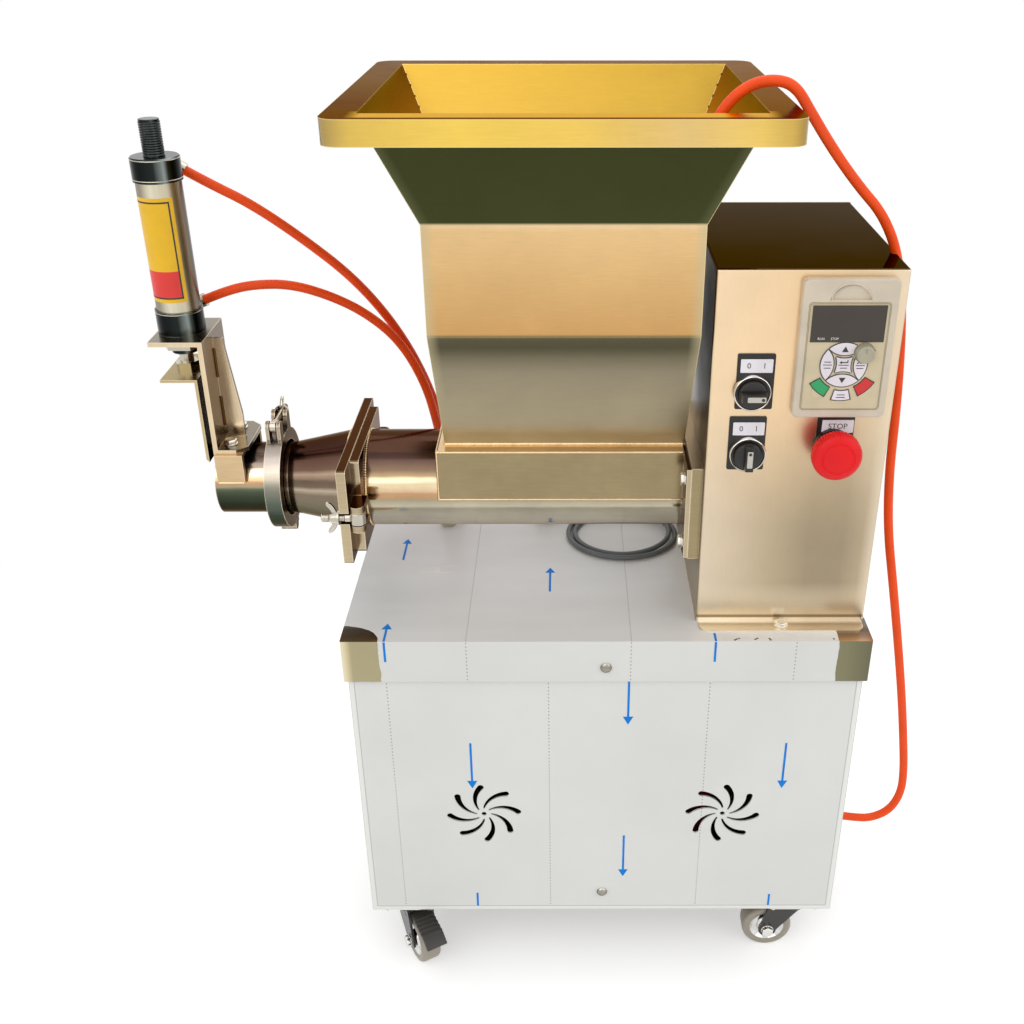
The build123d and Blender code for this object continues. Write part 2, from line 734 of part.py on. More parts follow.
with BuildPart() as control_box:
    with BuildSketch(level(box_x, box_y - SHEET / 2, deck_z)):
        Rectangle(BOX_W, BOX_D - SHEET)
    extrude(amount=BOX_H)
    fillet(control_box.edges().filter_by(Axis.Z).group_by(Axis.Y)[0], BOX_EDGE_R)
    fillet(control_box.faces().sort_by(Axis.Z)[-1].edges().sort_by(Axis.Y)[:-1], BOX_EDGE_R)
    with BuildSketch(level(box_x, box_y + SHEET / 2, deck_z)):
        Rectangle(BOX_W - 2 * SHEET, BOX_D - SHEET)
    extrude(amount=BOX_H - SHEET, mode=Mode.SUBTRACT)
    for side in (-1, 1):
        return_x = box_x + side * (BOX_W / 2 - SHEET - BOX_RETURN / 2)
        with BuildSketch(level(return_x, box_rear - 3 * SHEET / 2, deck_z)):
            Rectangle(BOX_RETURN, SHEET)
        extrude(amount=BOX_H - SHEET)
    with BuildSketch(level(box_x, box_front - FOOT_FLANGE / 2 + SHEET / 2, deck_z)):
        with BuildLine():
            FilletPolyline((-BOX_W / 2 + BOX_EDGE_R, (FOOT_FLANGE + SHEET) / 2),
                           (-BOX_W / 2 + BOX_EDGE_R, -(FOOT_FLANGE + SHEET) / 2),
                           (BOX_W / 2 - BOX_EDGE_R, -(FOOT_FLANGE + SHEET) / 2),
                           (BOX_W / 2 - BOX_EDGE_R, (FOOT_FLANGE + SHEET) / 2), radius=FOOT_CORNER_R)
            Line((BOX_W / 2 - BOX_EDGE_R, (FOOT_FLANGE + SHEET) / 2),
                 (-BOX_W / 2 + BOX_EDGE_R, (FOOT_FLANGE + SHEET) / 2))
        make_face()
    extrude(amount=SHEET)
    with BuildSketch(level(0, 0, deck_z)):
        with Locations(foot_bolt_places[0]):
            Circle(M6_R + HOLE_FIT)
    extrude(amount=SHEET, mode=Mode.SUBTRACT)
    with BuildSketch(upright(box_front)):
        with Locations((keypad_x, keypad_z)):
            Rectangle(KEYPAD_W - 2 * KEYPAD_BODY_MARGIN + 2 * HOLE_FIT,
                      KEYPAD_H - 2 * KEYPAD_BODY_MARGIN + 2 * HOLE_FIT)
        with Locations(*[(switch_x, z) for z in switch_zs], (estop_x, estop_z)):
            Circle(SWITCH_HOLE_R)
    extrude(amount=-SHEET, mode=Mode.SUBTRACT)
    with BuildSketch(across(box_left)):
        Circle(CARTRIDGE_R + HOLE_FIT)
        with Locations(*flange_bolts):
            Circle(M6_R + HOLE_FIT)
        with Locations((BOX_GLAND_Y - AXIS_Y, box_gland_z - axis_z)):
            Circle(PORT_R + HOLE_FIT)
    extrude(amount=SHEET, mode=Mode.SUBTRACT)
    with BuildSketch(upright(box_rear - SHEET)):
        with Locations(*cover_screws):
            Circle(M5_R + HOLE_FIT)
    extrude(amount=SHEET, mode=Mode.SUBTRACT)
keep(control_box, "control_box")

with BuildPart() as box_rear_cover:
    with BuildSketch(upright(box_rear)):
        with Locations((box_x, deck_z + BOX_H / 2)):
            Rectangle(BOX_W, BOX_H)
        with Locations(*cover_screws):
            Circle(M5_R + HOLE_FIT, mode=Mode.SUBTRACT)
        with Locations((box_x, box_top - LOUVRE_DROP)):
            with GridLocations(0, LOUVRE_PITCH, 1, LOUVRES):
                SlotOverall(LOUVRE_L, LOUVRE_W, mode=Mode.SUBTRACT)
    extrude(amount=SHEET)
    with BuildSketch(level(box_x, box_rear + FOOT_FLANGE / 2, deck_z)):
        Rectangle(BOX_W - 2 * BOX_EDGE_R, FOOT_FLANGE)
        Circle(M6_R + HOLE_FIT, mode=Mode.SUBTRACT)
    extrude(amount=SHEET)
    fillet(box_rear_cover.edges().filter_by(Axis.Z).group_by(Axis.Y)[-1], FOOT_CORNER_R)
keep(box_rear_cover, "box_rear_cover")

overlay_face = box_front - KEYPAD_T
with BuildPart() as keypad_housing:
    with BuildSketch(upright(box_front)):
        with Locations((keypad_x, keypad_z)):
            RectangleRounded(KEYPAD_W, KEYPAD_H, KEYPAD_CORNER_R)
    extrude(amount=KEYPAD_T)
    fillet(keypad_housing.faces().sort_by(Axis.Y)[0].edges(), KEYPAD_EDGE_R)
    with BuildSketch(upright(box_front)):
        with Locations((keypad_x, keypad_z)):
            Rectangle(KEYPAD_W - 2 * KEYPAD_BODY_MARGIN, KEYPAD_H - 2 * KEYPAD_BODY_MARGIN)
    extrude(amount=-KEYPAD_BODY_T)
    with BuildSketch(upright(overlay_face)):
        with Locations((keypad_x, overlay_z)):
            RectangleRounded(OVERLAY_W + 2 * HOLE_FIT, OVERLAY_H + 2 * HOLE_FIT, OVERLAY_CORNER_R)
    extrude(amount=-OVERLAY_T, mode=Mode.SUBTRACT)
    finger_top = deck_z + KEYPAD_BASE + KEYPAD_H - FINGER_SLOT_DROP
    with BuildSketch(upright(overlay_face)):
        with BuildLine():
            ThreePointArc((keypad_x - FINGER_SLOT_W / 2, finger_top - FINGER_SLOT_H),
                          (keypad_x, finger_top), (keypad_x + FINGER_SLOT_W / 2, finger_top - FINGER_SLOT_H))
            Line((keypad_x + FINGER_SLOT_W / 2, finger_top - FINGER_SLOT_H),
                 (keypad_x - FINGER_SLOT_W / 2, finger_top - FINGER_SLOT_H))
        make_face()
    extrude(amount=-FINGER_SLOT_DEPTH, mode=Mode.SUBTRACT)
    with BuildSketch(upright(overlay_face)):
        with Locations((pot_x, pot_z)):
            Circle(POT_STEM_R + RUNNING_FIT)
    extrude(amount=-(KEYPAD_T + KEYPAD_BODY_T), mode=Mode.SUBTRACT)
keep(keypad_housing, "keypad_housing")

arrow_keys = [(enter_x, enter_z + ARROW_KEY_OFFSET), (enter_x, enter_z - ARROW_KEY_OFFSET),
              (enter_x - ARROW_KEY_OFFSET, enter_z), (enter_x + ARROW_KEY_OFFSET, enter_z - RIGHT_KEY_DROP)]
start_keys = [(enter_x - START_KEY_OFFSET[0], enter_z - START_KEY_OFFSET[1]),
              (enter_x + START_KEY_OFFSET[0], enter_z - START_KEY_OFFSET[1])]
with BuildPart() as keypad_overlay:
    with BuildSketch(upright(overlay_face + OVERLAY_T)):
        with Locations((keypad_x, overlay_z)):
            RectangleRounded(OVERLAY_W, OVERLAY_H, OVERLAY_CORNER_R)
        with Locations((pot_x, pot_z)):
            Circle(POT_STEM_R + SIDE_GAP, mode=Mode.SUBTRACT)
    extrude(amount=OVERLAY_T)
    with BuildSketch(upright(overlay_face)):
        with Locations((enter_x, enter_z)):
            RectangleRounded(ENTER_KEY, ENTER_KEY, KEY_CORNER_R)
        with Locations(*arrow_keys):
            Circle(ARROW_KEY_R)
        with Locations(*start_keys):
            Circle(START_KEY_R)
        with Locations((enter_x, enter_z - MODE_KEY_DROP)):
            RectangleRounded(MODE_KEY_W, MODE_KEY_H, KEY_CORNER_R)
        with Locations((keypad_x, overlay_z + (OVERLAY_H - DISPLAY_H) / 2 - DISPLAY_DROP)):
            Rectangle(DISPLAY_W, DISPLAY_H)
    extrude(amount=KEY_LIFT)
keep(keypad_overlay, "keypad_overlay")

pot_back = overlay_face - KEY_LIFT - SIDE_GAP
with BuildPart() as pot_knob:
    with BuildSketch(upright(pot_back)):
        with Locations((pot_x, pot_z)):
            Circle(POT_R)
    extrude(amount=POT_T)
    fillet(pot_knob.faces().sort_by(Axis.Y)[0].edges(), POT_EDGE_R)
    with BuildSketch(upright(pot_back - POT_T)):
        with Locations((pot_x, pot_z + POT_R / 2)):
            Rectangle(POT_MARK_W, POT_MARK_L)
    extrude(amount=-POT_MARK_DEPTH, mode=Mode.SUBTRACT)
    with BuildSketch(upright(pot_back)):
        with Locations((pot_x, pot_z)):
            Circle(POT_STEM_R)
    extrude(amount=-(KEYPAD_T + KEYPAD_BODY_T))
keep(pot_knob, "pot_knob")

control_places = [(switch_x, switch_zs[0]), (switch_x, switch_zs[1]), (estop_x, estop_z)]
with BuildPart() as legend_plates:
    for (x, z), top, shift in zip(control_places, LEGEND_TOPS, LEGEND_SHIFTS):
        with BuildSketch(upright(box_front)):
            with Locations((x + shift, z + (top - LEGEND_FOOT) / 2)):
                RectangleRounded(LEGEND_W, top + LEGEND_FOOT, LEGEND_CORNER_R)
            with Locations((x, z)):
                Circle(SWITCH_HOLE_R, mode=Mode.SUBTRACT)
        extrude(amount=LEGEND_T)
keep(legend_plates, "legend_plates")

bezel_back = box_front - LEGEND_T
bezel_face = bezel_back - SWITCH_BEZEL_T
with BuildPart() as switch_bodies:
    for x, z in control_places:
        with BuildSketch(upright(bezel_back)):
            with Locations((x, z)):
                Circle(SWITCH_BEZEL_R)
        extrude(amount=SWITCH_BEZEL_T)
        with BuildSketch(upright(bezel_back)):
            with Locations((x, z)):
                Circle(SWITCH_BARREL_R)
        extrude(amount=-(LEGEND_T + SHEET + SWITCH_NUT_T))
        with BuildSketch(upright(box_front + SHEET)):
            with Locations((x, z)):
                Circle(SWITCH_NUT_R)
        extrude(amount=-SWITCH_NUT_T)
        with BuildSketch(upright(box_front + SHEET + SWITCH_NUT_T)):
            with Locations((x, z)):
                Rectangle(CONTACT_W, CONTACT_H)
        extrude(amount=-CONTACT_D)
        with BuildSketch(upright(bezel_face)):
            with Locations((x, z)):
                Circle(STEM_R + RUNNING_FIT)
        extrude(amount=-(STEM_L + ESTOP_TRAVEL + SIDE_GAP), mode=Mode.SUBTRACT)
    for x, z in control_places[:2]:
        with BuildSketch(upright(bezel_face)):
            with Locations((x, z)):
                Circle(KNOB_R + SIDE_GAP)
        extrude(amount=-SWITCH_BEZEL_T / 2, mode=Mode.SUBTRACT)
keep(switch_bodies, "switch_bodies")

knob_back = bezel_face + SWITCH_BEZEL_T / 2 - SIDE_GAP
for label, (x, z), turn in zip(("upper", "lower"), control_places, SWITCH_TURNS):
    with BuildPart() as selector_knob:
        with BuildSketch(upright(knob_back)):
            with Locations((x, z)):
                Circle(KNOB_R)
        extrude(amount=KNOB_BASE_T)
        with BuildSketch(upright(knob_back - KNOB_BASE_T)):
            with Locations(Location((x, z, 0), turn)):
                SlotOverall(KNOB_GRIP_L, KNOB_GRIP_W)
        extrude(amount=KNOB_GRIP_T)
        fillet(selector_knob.faces().sort_by(Axis.Y)[0].edges(), KNOB_EDGE_R)
        with BuildSketch(upright(knob_back)):
            with Locations((x, z)):
                Circle(STEM_R)
        extrude(amount=-(STEM_L - SWITCH_BEZEL_T))
    keep(selector_knob, f"selector_knob_{label}")

with BuildPart() as estop_head:
    with BuildSketch(upright(bezel_face - ESTOP_STAND)):
        with Locations((estop_x, estop_z)):
            Circle(ESTOP_R)
    extrude(amount=ESTOP_T)
    fillet(estop_head.faces().sort_by(Axis.Y)[0].edges(), ESTOP_EDGE_R)
    with BuildSketch(upright(bezel_face - ESTOP_STAND)):
        with Locations((estop_x, estop_z)):
            Circle(STEM_R)
    extrude(amount=-(ESTOP_STAND + STEM_L))
    with BuildSketch(upright(bezel_face - ESTOP_STAND)):
        with Locations((estop_x, estop_z)):
            Circle(ESTOP_NECK_R)
    extrude(amount=-(ESTOP_STAND - ESTOP_TRAVEL - SIDE_GAP))
keep(estop_head, "estop_head")

inverter_x = box_right - SHEET - INVERTER_W / 2
with BuildPart() as inverter:
    with BuildSketch(level(inverter_x, box_y, box_top - SHEET - INVERTER_H - 2 * BOX_EDGE_R)):
        Rectangle(INVERTER_W, INVERTER_D)
    extrude(amount=INVERTER_H)
    with BuildSketch(level(inverter_x, box_y, box_top - SHEET - 2 * BOX_EDGE_R)):
        with GridLocations(0, INVERTER_D / (INVERTER_FINS + 1), 1, INVERTER_FINS):
            Rectangle(INVERTER_SLOT_L, INVERTER_SLOT_W)
    extrude(amount=-INVERTER_SLOT_DEPTH, mode=Mode.SUBTRACT)
keep(inverter, "inverter")


# Barrel, trough and hopper

with BuildPart() as bearing_housing:
    with BuildSketch(across(housing_left)):
        Rectangle(HOUSING_W, HOUSING_H)
        with Locations(*flange_bolts):
            Circle(M6_R + HOLE_FIT, mode=Mode.SUBTRACT)
    extrude(amount=HOUSING_T)
    with BuildSketch(across(box_left)):
        Circle(CARTRIDGE_R)
    extrude(amount=CARTRIDGE_L)
    with BuildSketch(across(housing_left)):
        Circle(SHAFT_R + SEAL_GAP)
    extrude(amount=HOUSING_T + CARTRIDGE_L, mode=Mode.SUBTRACT)
    with BuildSketch(across(box_left + CARTRIDGE_L)):
        Circle(BEARING_R + RUNNING_FIT)
    extrude(amount=-2 * BEARING_W - SIDE_GAP, mode=Mode.SUBTRACT)
keep(bearing_housing, "bearing_housing")

with BuildPart() as auger_bearings:
    for start in (CARTRIDGE_L - BEARING_W, CARTRIDGE_L - 2 * BEARING_W - SIDE_GAP):
        with BuildSketch(across(box_left + start)):
            Circle(BEARING_R)
            Circle(SHAFT_R + RUNNING_FIT, mode=Mode.SUBTRACT)
        extrude(amount=BEARING_W)
keep(auger_bearings, "auger_bearings")

lug_inner = SWING_EYE_H / 2 + SIDE_GAP
with BuildPart() as barrel:
    with BuildSketch(across(barrel_left)):
        Circle(barrel_r)
    extrude(amount=housing_left - barrel_left)
    with BuildSketch(across(barrel_left)):
        RectangleRounded(END_PLATE_W, END_PLATE_H, PLATE_CORNER_R)
    extrude(amount=END_PLATE_T)
    with BuildSketch(across(flange_left)):
        Rectangle(HOUSING_W, FLANGE_H)
        with Locations(*flange_bolts):
            Circle(M6_R + HOLE_FIT, mode=Mode.SUBTRACT)
    extrude(amount=FLANGE_T)
    for base, way in ((lug_inner, 1), (-lug_inner, -1)):
        with BuildSketch(level(swing_pin_x, AXIS_Y, axis_z + base)):
            with Locations((0, swing_reach), (0, -swing_reach)):
                Circle(LUG_R)
            for side in (-1, 1):
                with Locations((0, side * (swing_reach + END_PLATE_W / 2) / 2)):
                    Rectangle(2 * LUG_R, swing_reach - END_PLATE_W / 2)
        extrude(amount=way * LUG_T)
    with BuildSketch(level(swing_pin_x, AXIS_Y, axis_z - lug_inner - LUG_T)):
        with Locations((0, swing_reach), (0, -swing_reach)):
            Circle(LUG_PIN_R)
    extrude(amount=2 * (lug_inner + LUG_T))
    with BuildSketch(across(barrel_left)):
        Circle(BARREL_BORE / 2)
    extrude(amount=housing_left - barrel_left, mode=Mode.SUBTRACT)
    with BuildSketch(level(hopper_x, AXIS_Y, axis_z)):
        Rectangle(HOPPER_NECK_L - 2 * SHEET - 2 * FLANGE_T, HOPPER_NECK - 2 * SHEET)
    extrude(amount=barrel_r, mode=Mode.SUBTRACT)
keep(barrel, "barrel")

with BuildPart() as trough:
    with BuildSketch(across(trough_left)):
        with Locations((0, trough_rise / 2)):
            Rectangle(2 * trough_half, trough_rise)
        with Locations((0, (trough_rise - TROUGH_SHEET) / 2)):
            Rectangle(2 * (trough_half - TROUGH_SHEET), trough_rise - TROUGH_SHEET, mode=Mode.SUBTRACT)
    extrude(amount=TROUGH_L)
    with BuildSketch(across(trough_left)):
        with Locations((0, trough_rise / 2)):
            Rectangle(2 * trough_half, trough_rise)
    extrude(amount=TROUGH_SHEET)
    with BuildSketch(across(trough_left)):
        Circle(barrel_r + HOLE_FIT)
    extrude(amount=TROUGH_L, mode=Mode.SUBTRACT)
    with BuildSketch(level(hopper_x, AXIS_Y, trough_top)):
        Rectangle(HOPPER_NECK_L - 2 * SHEET - 2 * FLANGE_T, HOPPER_NECK - 2 * SHEET)
    extrude(amount=-2 * TROUGH_SHEET, mode=Mode.SUBTRACT)
keep(trough, "trough")

hopper_sections = ((trough_top, HOPPER_NECK_L, HOPPER_NECK), (hopper_break, HOPPER_L, HOPPER_D),
                   (hopper_shoulder, HOPPER_L, HOPPER_D), (hopper_top, mouth_l, mouth_d))
with BuildPart() as hopper:
    for inset, mode in ((0, Mode.ADD), (2 * SHEET, Mode.SUBTRACT)):
        for (z0, l0, d0), (z1, l1, d1) in zip(hopper_sections, hopper_sections[1:]):
            with BuildSketch(level(hopper_x, AXIS_Y, z0)):
                Rectangle(l0 - inset, d0 - inset)
            with BuildSketch(level(hopper_x, AXIS_Y, z1)):
                Rectangle(l1 - inset, d1 - inset)
            loft(ruled=True, mode=mode)
    with BuildSketch(level(hopper_x, AXIS_Y, hopper_top)):
        RectangleRounded(mouth_l + 2 * RIM_FLANGE, mouth_d + 2 * RIM_FLANGE, RIM_CORNER_R)
        Rectangle(mouth_l - 2 * SHEET, mouth_d - 2 * SHEET, mode=Mode.SUBTRACT)
    extrude(amount=-SHEET)
    with BuildSketch(level(hopper_x, AXIS_Y, hopper_top)):
        RectangleRounded(mouth_l + 2 * RIM_FLANGE, mouth_d + 2 * RIM_FLANGE, RIM_CORNER_R)
        RectangleRounded(mouth_l + 2 * (RIM_FLANGE - SHEET), mouth_d + 2 * (RIM_FLANGE - SHEET),
                         RIM_CORNER_R - SHEET, mode=Mode.SUBTRACT)
    extrude(amount=-RIM_SKIRT)
keep(hopper, "hopper")

auger_left = barrel_left + AUGER_NOSE
auger_l = housing_left - SIDE_GAP - auger_left
with BuildPart() as auger:
    with BuildSketch(across(auger_left)):
        Circle(CORE_R)
    extrude(amount=auger_l)
    with BuildSketch(across(auger_left)):
        Circle(SHAFT_R)
    extrude(amount=sprocket_x + SPROCKET_T + SPROCKET_HUB_L - auger_left)
    with BuildLine() as path:
        Helix(FLIGHT_PITCH, auger_l - 2 * FLIGHT_T, (FLIGHT_R + CORE_R) / 2,
              center=(auger_left + FLIGHT_T, AXIS_Y, axis_z), direction=(1, 0, 0))
    flight_line = path.wire()
    outwards = flight_line @ 0 - Vector(auger_left + FLIGHT_T, AXIS_Y, axis_z)
    with BuildSketch(Plane(origin=flight_line @ 0, x_dir=outwards, z_dir=flight_line % 0)):
        with Locations((-FLIGHT_ROOT / 2, 0)):
            Rectangle(FLIGHT_R - CORE_R + FLIGHT_ROOT, FLIGHT_T)
    sweep(path=flight_line, is_frenet=True)
keep(auger, "auger")


# Outlet cone, clamp and nozzle

slot_depth = SWING_INSET + SWING_BOLT_R + SWING_SLOT_ROOM
neck_x = outlet_plate_left - CONE_L
with BuildPart() as outlet_cone:
    with BuildSketch(across(outlet_plate_left)):
        RectangleRounded(OUTLET_PLATE_W, END_PLATE_H, PLATE_CORNER_R)
        Circle(BARREL_BORE / 2, mode=Mode.SUBTRACT)
        for side in (-1, 1):
            with Locations((side * (OUTLET_PLATE_W / 2 - slot_depth / 2), 0)):
                Rectangle(slot_depth, 2 * (SWING_BOLT_R + SWING_SLOT_ROOM), mode=Mode.SUBTRACT)
    extrude(amount=END_PLATE_T)
    with BuildSketch(side_plane):
        with BuildLine():
            Polyline((outlet_plate_left, BARREL_BORE / 2), (outlet_plate_left, barrel_r), (neck_x, PIPE_R),
                     (joint_x + FERRULE_T, PIPE_R), (joint_x + FERRULE_T, FERRULE_R),
                     (joint_x, FERRULE_R), (joint_x, PIPE_R - PIPE_WALL), (neck_x, PIPE_R - PIPE_WALL),
                     close=True)
        make_face()
    revolve(axis=barrel_axis)
keep(outlet_cone, "outlet_cone")

with BuildPart() as nozzle_tube:
    with BuildSketch(across(nozzle_mouth)):
        Circle(PIPE_R)
    extrude(amount=NOZZLE_L)
    with BuildSketch(across(joint_x)):
        Circle(FERRULE_R)
    extrude(amount=-FERRULE_T)
    with BuildSketch(across(saddle_left)):
        with Locations((0, (SADDLE_RISE + SADDLE_FOOT) / 2)):
            Rectangle(2 * SADDLE_HALF, SADDLE_RISE - SADDLE_FOOT)
        with Locations((0, SADDLE_FOOT + (SADDLE_RISE - SADDLE_T - SADDLE_FOOT) / 2)):
            Rectangle(2 * (SADDLE_HALF - SADDLE_LEG_T), SADDLE_RISE - SADDLE_T - SADDLE_FOOT,
                      mode=Mode.SUBTRACT)
    extrude(amount=SADDLE_W)
    with BuildSketch(level(saddle_left + BRACKET_BOLT_X, AXIS_Y, bracket_z)):
        with Locations((0, -BRACKET_BOLT_Y), (0, BRACKET_BOLT_Y)):
            Circle(M6_R + HOLE_FIT)
    extrude(amount=-SADDLE_T, mode=Mode.SUBTRACT)
    with BuildSketch(across(nozzle_mouth)):
        Circle(PIPE_R - PIPE_WALL)
    extrude(amount=NOZZLE_L, mode=Mode.SUBTRACT)
keep(nozzle_tube, "nozzle_tube")

clamp_groove = FERRULE_T + HOLE_FIT
clamp_bolt_z = axis_z + CLAMP_BOLT_RISE
cheek_inner = CLAMP_EYE_H / 2 + SIDE_GAP
clamp_pivot_y = AXIS_Y - CLAMP_PIVOT_BACK
clamp_ear_y = AXIS_Y + CLAMP_PIVOT_BACK
hinge_place = Plane(origin=(joint_x, AXIS_Y, axis_z - CLAMP_KNUCKLE_RISE), x_dir=(0, 1, 0), z_dir=(1, 0, 0))
middle_knuckle = CLAMP_W / 6
side_knuckle = CLAMP_W / 2 - middle_knuckle - SIDE_GAP


def clamp_band():
    """Section of the clamp band: a channel that grips both ferrules, X from the joint and Y from the axis."""
    half = CLAMP_W / 2
    with BuildSketch(mode=Mode.PRIVATE) as band:
        with BuildLine():
            Polyline((joint_x - half, CLAMP_LIP_R), (joint_x - half, CLAMP_R), (joint_x + half, CLAMP_R),
                     (joint_x + half, CLAMP_LIP_R), (joint_x + clamp_groove, CLAMP_LIP_R),
                     (joint_x + clamp_groove, FERRULE_R + HOLE_FIT),
                     (joint_x - clamp_groove, FERRULE_R + HOLE_FIT),
                     (joint_x - clamp_groove, CLAMP_LIP_R), close=True)
        make_face()
    return band.sketch


def ear_outline():
    """Side view of an ear on top of a clamp half, from inside the band up round the bolt."""
    low = CLAMP_R - CLAMP_EAR
    with BuildSketch(mode=Mode.PRIVATE) as ear:
        with Locations((0, (low + CLAMP_BOLT_RISE) / 2)):
            Rectangle(CLAMP_EAR, CLAMP_BOLT_RISE - low)
        with Locations((0, CLAMP_BOLT_RISE)):
            Circle(CLAMP_EAR / 2)
        Circle(FERRULE_R + HOLE_FIT + CLAMP_EAR_ROOT, mode=Mode.SUBTRACT)
    return ear.sketch


def knuckle_outline(side):
    """Side view of a hinge knuckle with its neck up to the band; side is -1 for the front half."""
    with BuildSketch(mode=Mode.PRIVATE) as outline:
        Circle(CLAMP_KNUCKLE_R)
        with Locations((side * CLAMP_KNUCKLE_R, CLAMP_KNUCKLE_R / 2)):
            Rectangle(CLAMP_KNUCKLE_R, CLAMP_KNUCKLE_R)
    return outline.sketch


band = clamp_band()
ear = ear_outline()
with BuildPart() as clamp_front:
    with BuildSketch(side_plane):
        add(band)
    revolve(axis=barrel_axis)
    split(bisect_by=Plane(origin=(0, AXIS_Y - CLAMP_SPLIT / 2, 0), x_dir=(1, 0, 0), z_dir=(0, -1, 0)))
    with BuildSketch(hinge_place):
        Circle(CLAMP_KNUCKLE_R + SIDE_GAP)
    extrude(amount=CLAMP_W, both=True, mode=Mode.SUBTRACT)
    with BuildSketch(hinge_place):
        add(knuckle_outline(-1))
    extrude(amount=middle_knuckle, both=True)
    with BuildSketch(hinge_place):
        Circle(CLAMP_PIN_R + RUNNING_FIT)
    extrude(amount=CLAMP_W, both=True, mode=Mode.SUBTRACT)
    for start in (cheek_inner, -cheek_inner - CLAMP_CHEEK_T):
        cheek_place = Plane(origin=(joint_x + start, clamp_pivot_y, axis_z), x_dir=(0, 1, 0), z_dir=(1, 0, 0))
        with BuildSketch(cheek_place):
            add(ear)
        extrude(amount=CLAMP_CHEEK_T)
    with BuildSketch(Plane(origin=(joint_x, clamp_pivot_y, clamp_bolt_z), x_dir=(0, 1, 0), z_dir=(1, 0, 0))):
        Circle(CLAMP_PIN_R)
    extrude(amount=cheek_inner + CLAMP_CHEEK_T, both=True)
keep(clamp_front, "clamp_front")

with BuildPart() as clamp_rear:
    with BuildSketch(side_plane):
        add(band)
    revolve(axis=barrel_axis)
    split(bisect_by=Plane(origin=(0, AXIS_Y + CLAMP_SPLIT / 2, 0), x_dir=(1, 0, 0), z_dir=(0, 1, 0)))
    with BuildSketch(hinge_place):
        Circle(CLAMP_KNUCKLE_R + SIDE_GAP)
    extrude(amount=CLAMP_W, both=True, mode=Mode.SUBTRACT)
    for start in (middle_knuckle + SIDE_GAP, -CLAMP_W / 2):
        with BuildSketch(hinge_place.offset(start)):
            add(knuckle_outline(1))
        extrude(amount=side_knuckle)
    with BuildSketch(hinge_place):
        Circle(CLAMP_PIN_R)
    extrude(amount=CLAMP_W / 2, both=True)
    with BuildSketch(Plane(origin=(joint_x, clamp_ear_y, axis_z), x_dir=(0, 1, 0), z_dir=(1, 0, 0))):
        add(ear)
    extrude(amount=CLAMP_W / 2, both=True)
    with BuildSketch(level(joint_x, clamp_ear_y, clamp_bolt_z - CLAMP_BOLT_R - SWING_GAP)):
        Rectangle(2 * (CLAMP_BOLT_R + SWING_GAP), 2 * CLAMP_EAR)
    extrude(amount=2 * CLAMP_EAR, mode=Mode.SUBTRACT)
keep(clamp_rear, "clamp_rear")


def swing_bolt(place, radius, length, eye_r, eye_h, pin_r):
    """An eye bolt: place has the pin along its Z and the shank along its X."""
    with BuildPart() as bolt:
        with BuildSketch(place):
            Circle(eye_r)
        extrude(amount=eye_h / 2, both=True)
        with BuildSketch(Plane(origin=place.origin, x_dir=place.z_dir, z_dir=place.x_dir)):
            Circle(radius)
        extrude(amount=length)
        chamfer(bolt.faces().sort_by(Axis(place.origin, place.x_dir))[-1].edges(), BOLT_CHAMFER)
        with BuildSketch(place):
            Circle(pin_r + RUNNING_FIT)
        extrude(amount=eye_h, both=True, mode=Mode.SUBTRACT)
    return bolt


def wing_nut(place, start, bolt_r, span, wings):
    """A wing nut on the shank of the bolt at place, start from the pin, its wings along a direction."""
    seat = Plane(origin=place.origin + place.x_dir * start, x_dir=wings, z_dir=place.x_dir)
    with BuildPart() as nut:
        with BuildSketch(seat):
            Circle(WING_HUB_R)
        extrude(amount=WING_HUB_L, taper=WING_TAPER)
        with BuildSketch(seat.offset(WING_LIFT)):
            SlotOverall(2 * span, WING_T)
        extrude(amount=WING_HUB_L)
        with BuildSketch(seat.offset(WING_HUB_L)):
            Circle(bolt_r + WING_LIFT)
        extrude(amount=WING_HUB_L, mode=Mode.SUBTRACT)
        with BuildSketch(seat):
            Circle(bolt_r + RUNNING_FIT)
        extrude(amount=WING_HUB_L, mode=Mode.SUBTRACT)
    return nut


nut_start = swing_pin_x - outlet_plate_left + SWING_GAP
for label, side in (("front", -1), ("rear", 1)):
    pin = Plane(origin=(swing_pin_x, AXIS_Y + side * swing_reach, axis_z), x_dir=(-1, 0, 0), z_dir=(0, 0, 1))
    keep(swing_bolt(pin, SWING_BOLT_R, SWING_BOLT_L, LUG_R, SWING_EYE_H, LUG_PIN_R), f"swing_bolt_{label}")
    keep(wing_nut(pin, nut_start, SWING_BOLT_R, WING_SPAN, pin.z_dir), f"wing_nut_{label}")

clamp_pin = Plane(origin=(joint_x, clamp_pivot_y, clamp_bolt_z), x_dir=(0, 1, 0), z_dir=(1, 0, 0))
clamp_nut_start = clamp_ear_y + CLAMP_EAR / 2 - clamp_pivot_y + SWING_GAP
keep(swing_bolt(clamp_pin, CLAMP_BOLT_R, CLAMP_BOLT_L, CLAMP_EAR / 2, CLAMP_EYE_H, CLAMP_PIN_R), "clamp_bolt")
keep(wing_nut(clamp_pin, clamp_nut_start, CLAMP_BOLT_R, CLAMP_WING_SPAN, clamp_pin.y_dir), "clamp_nut")


# Cutter

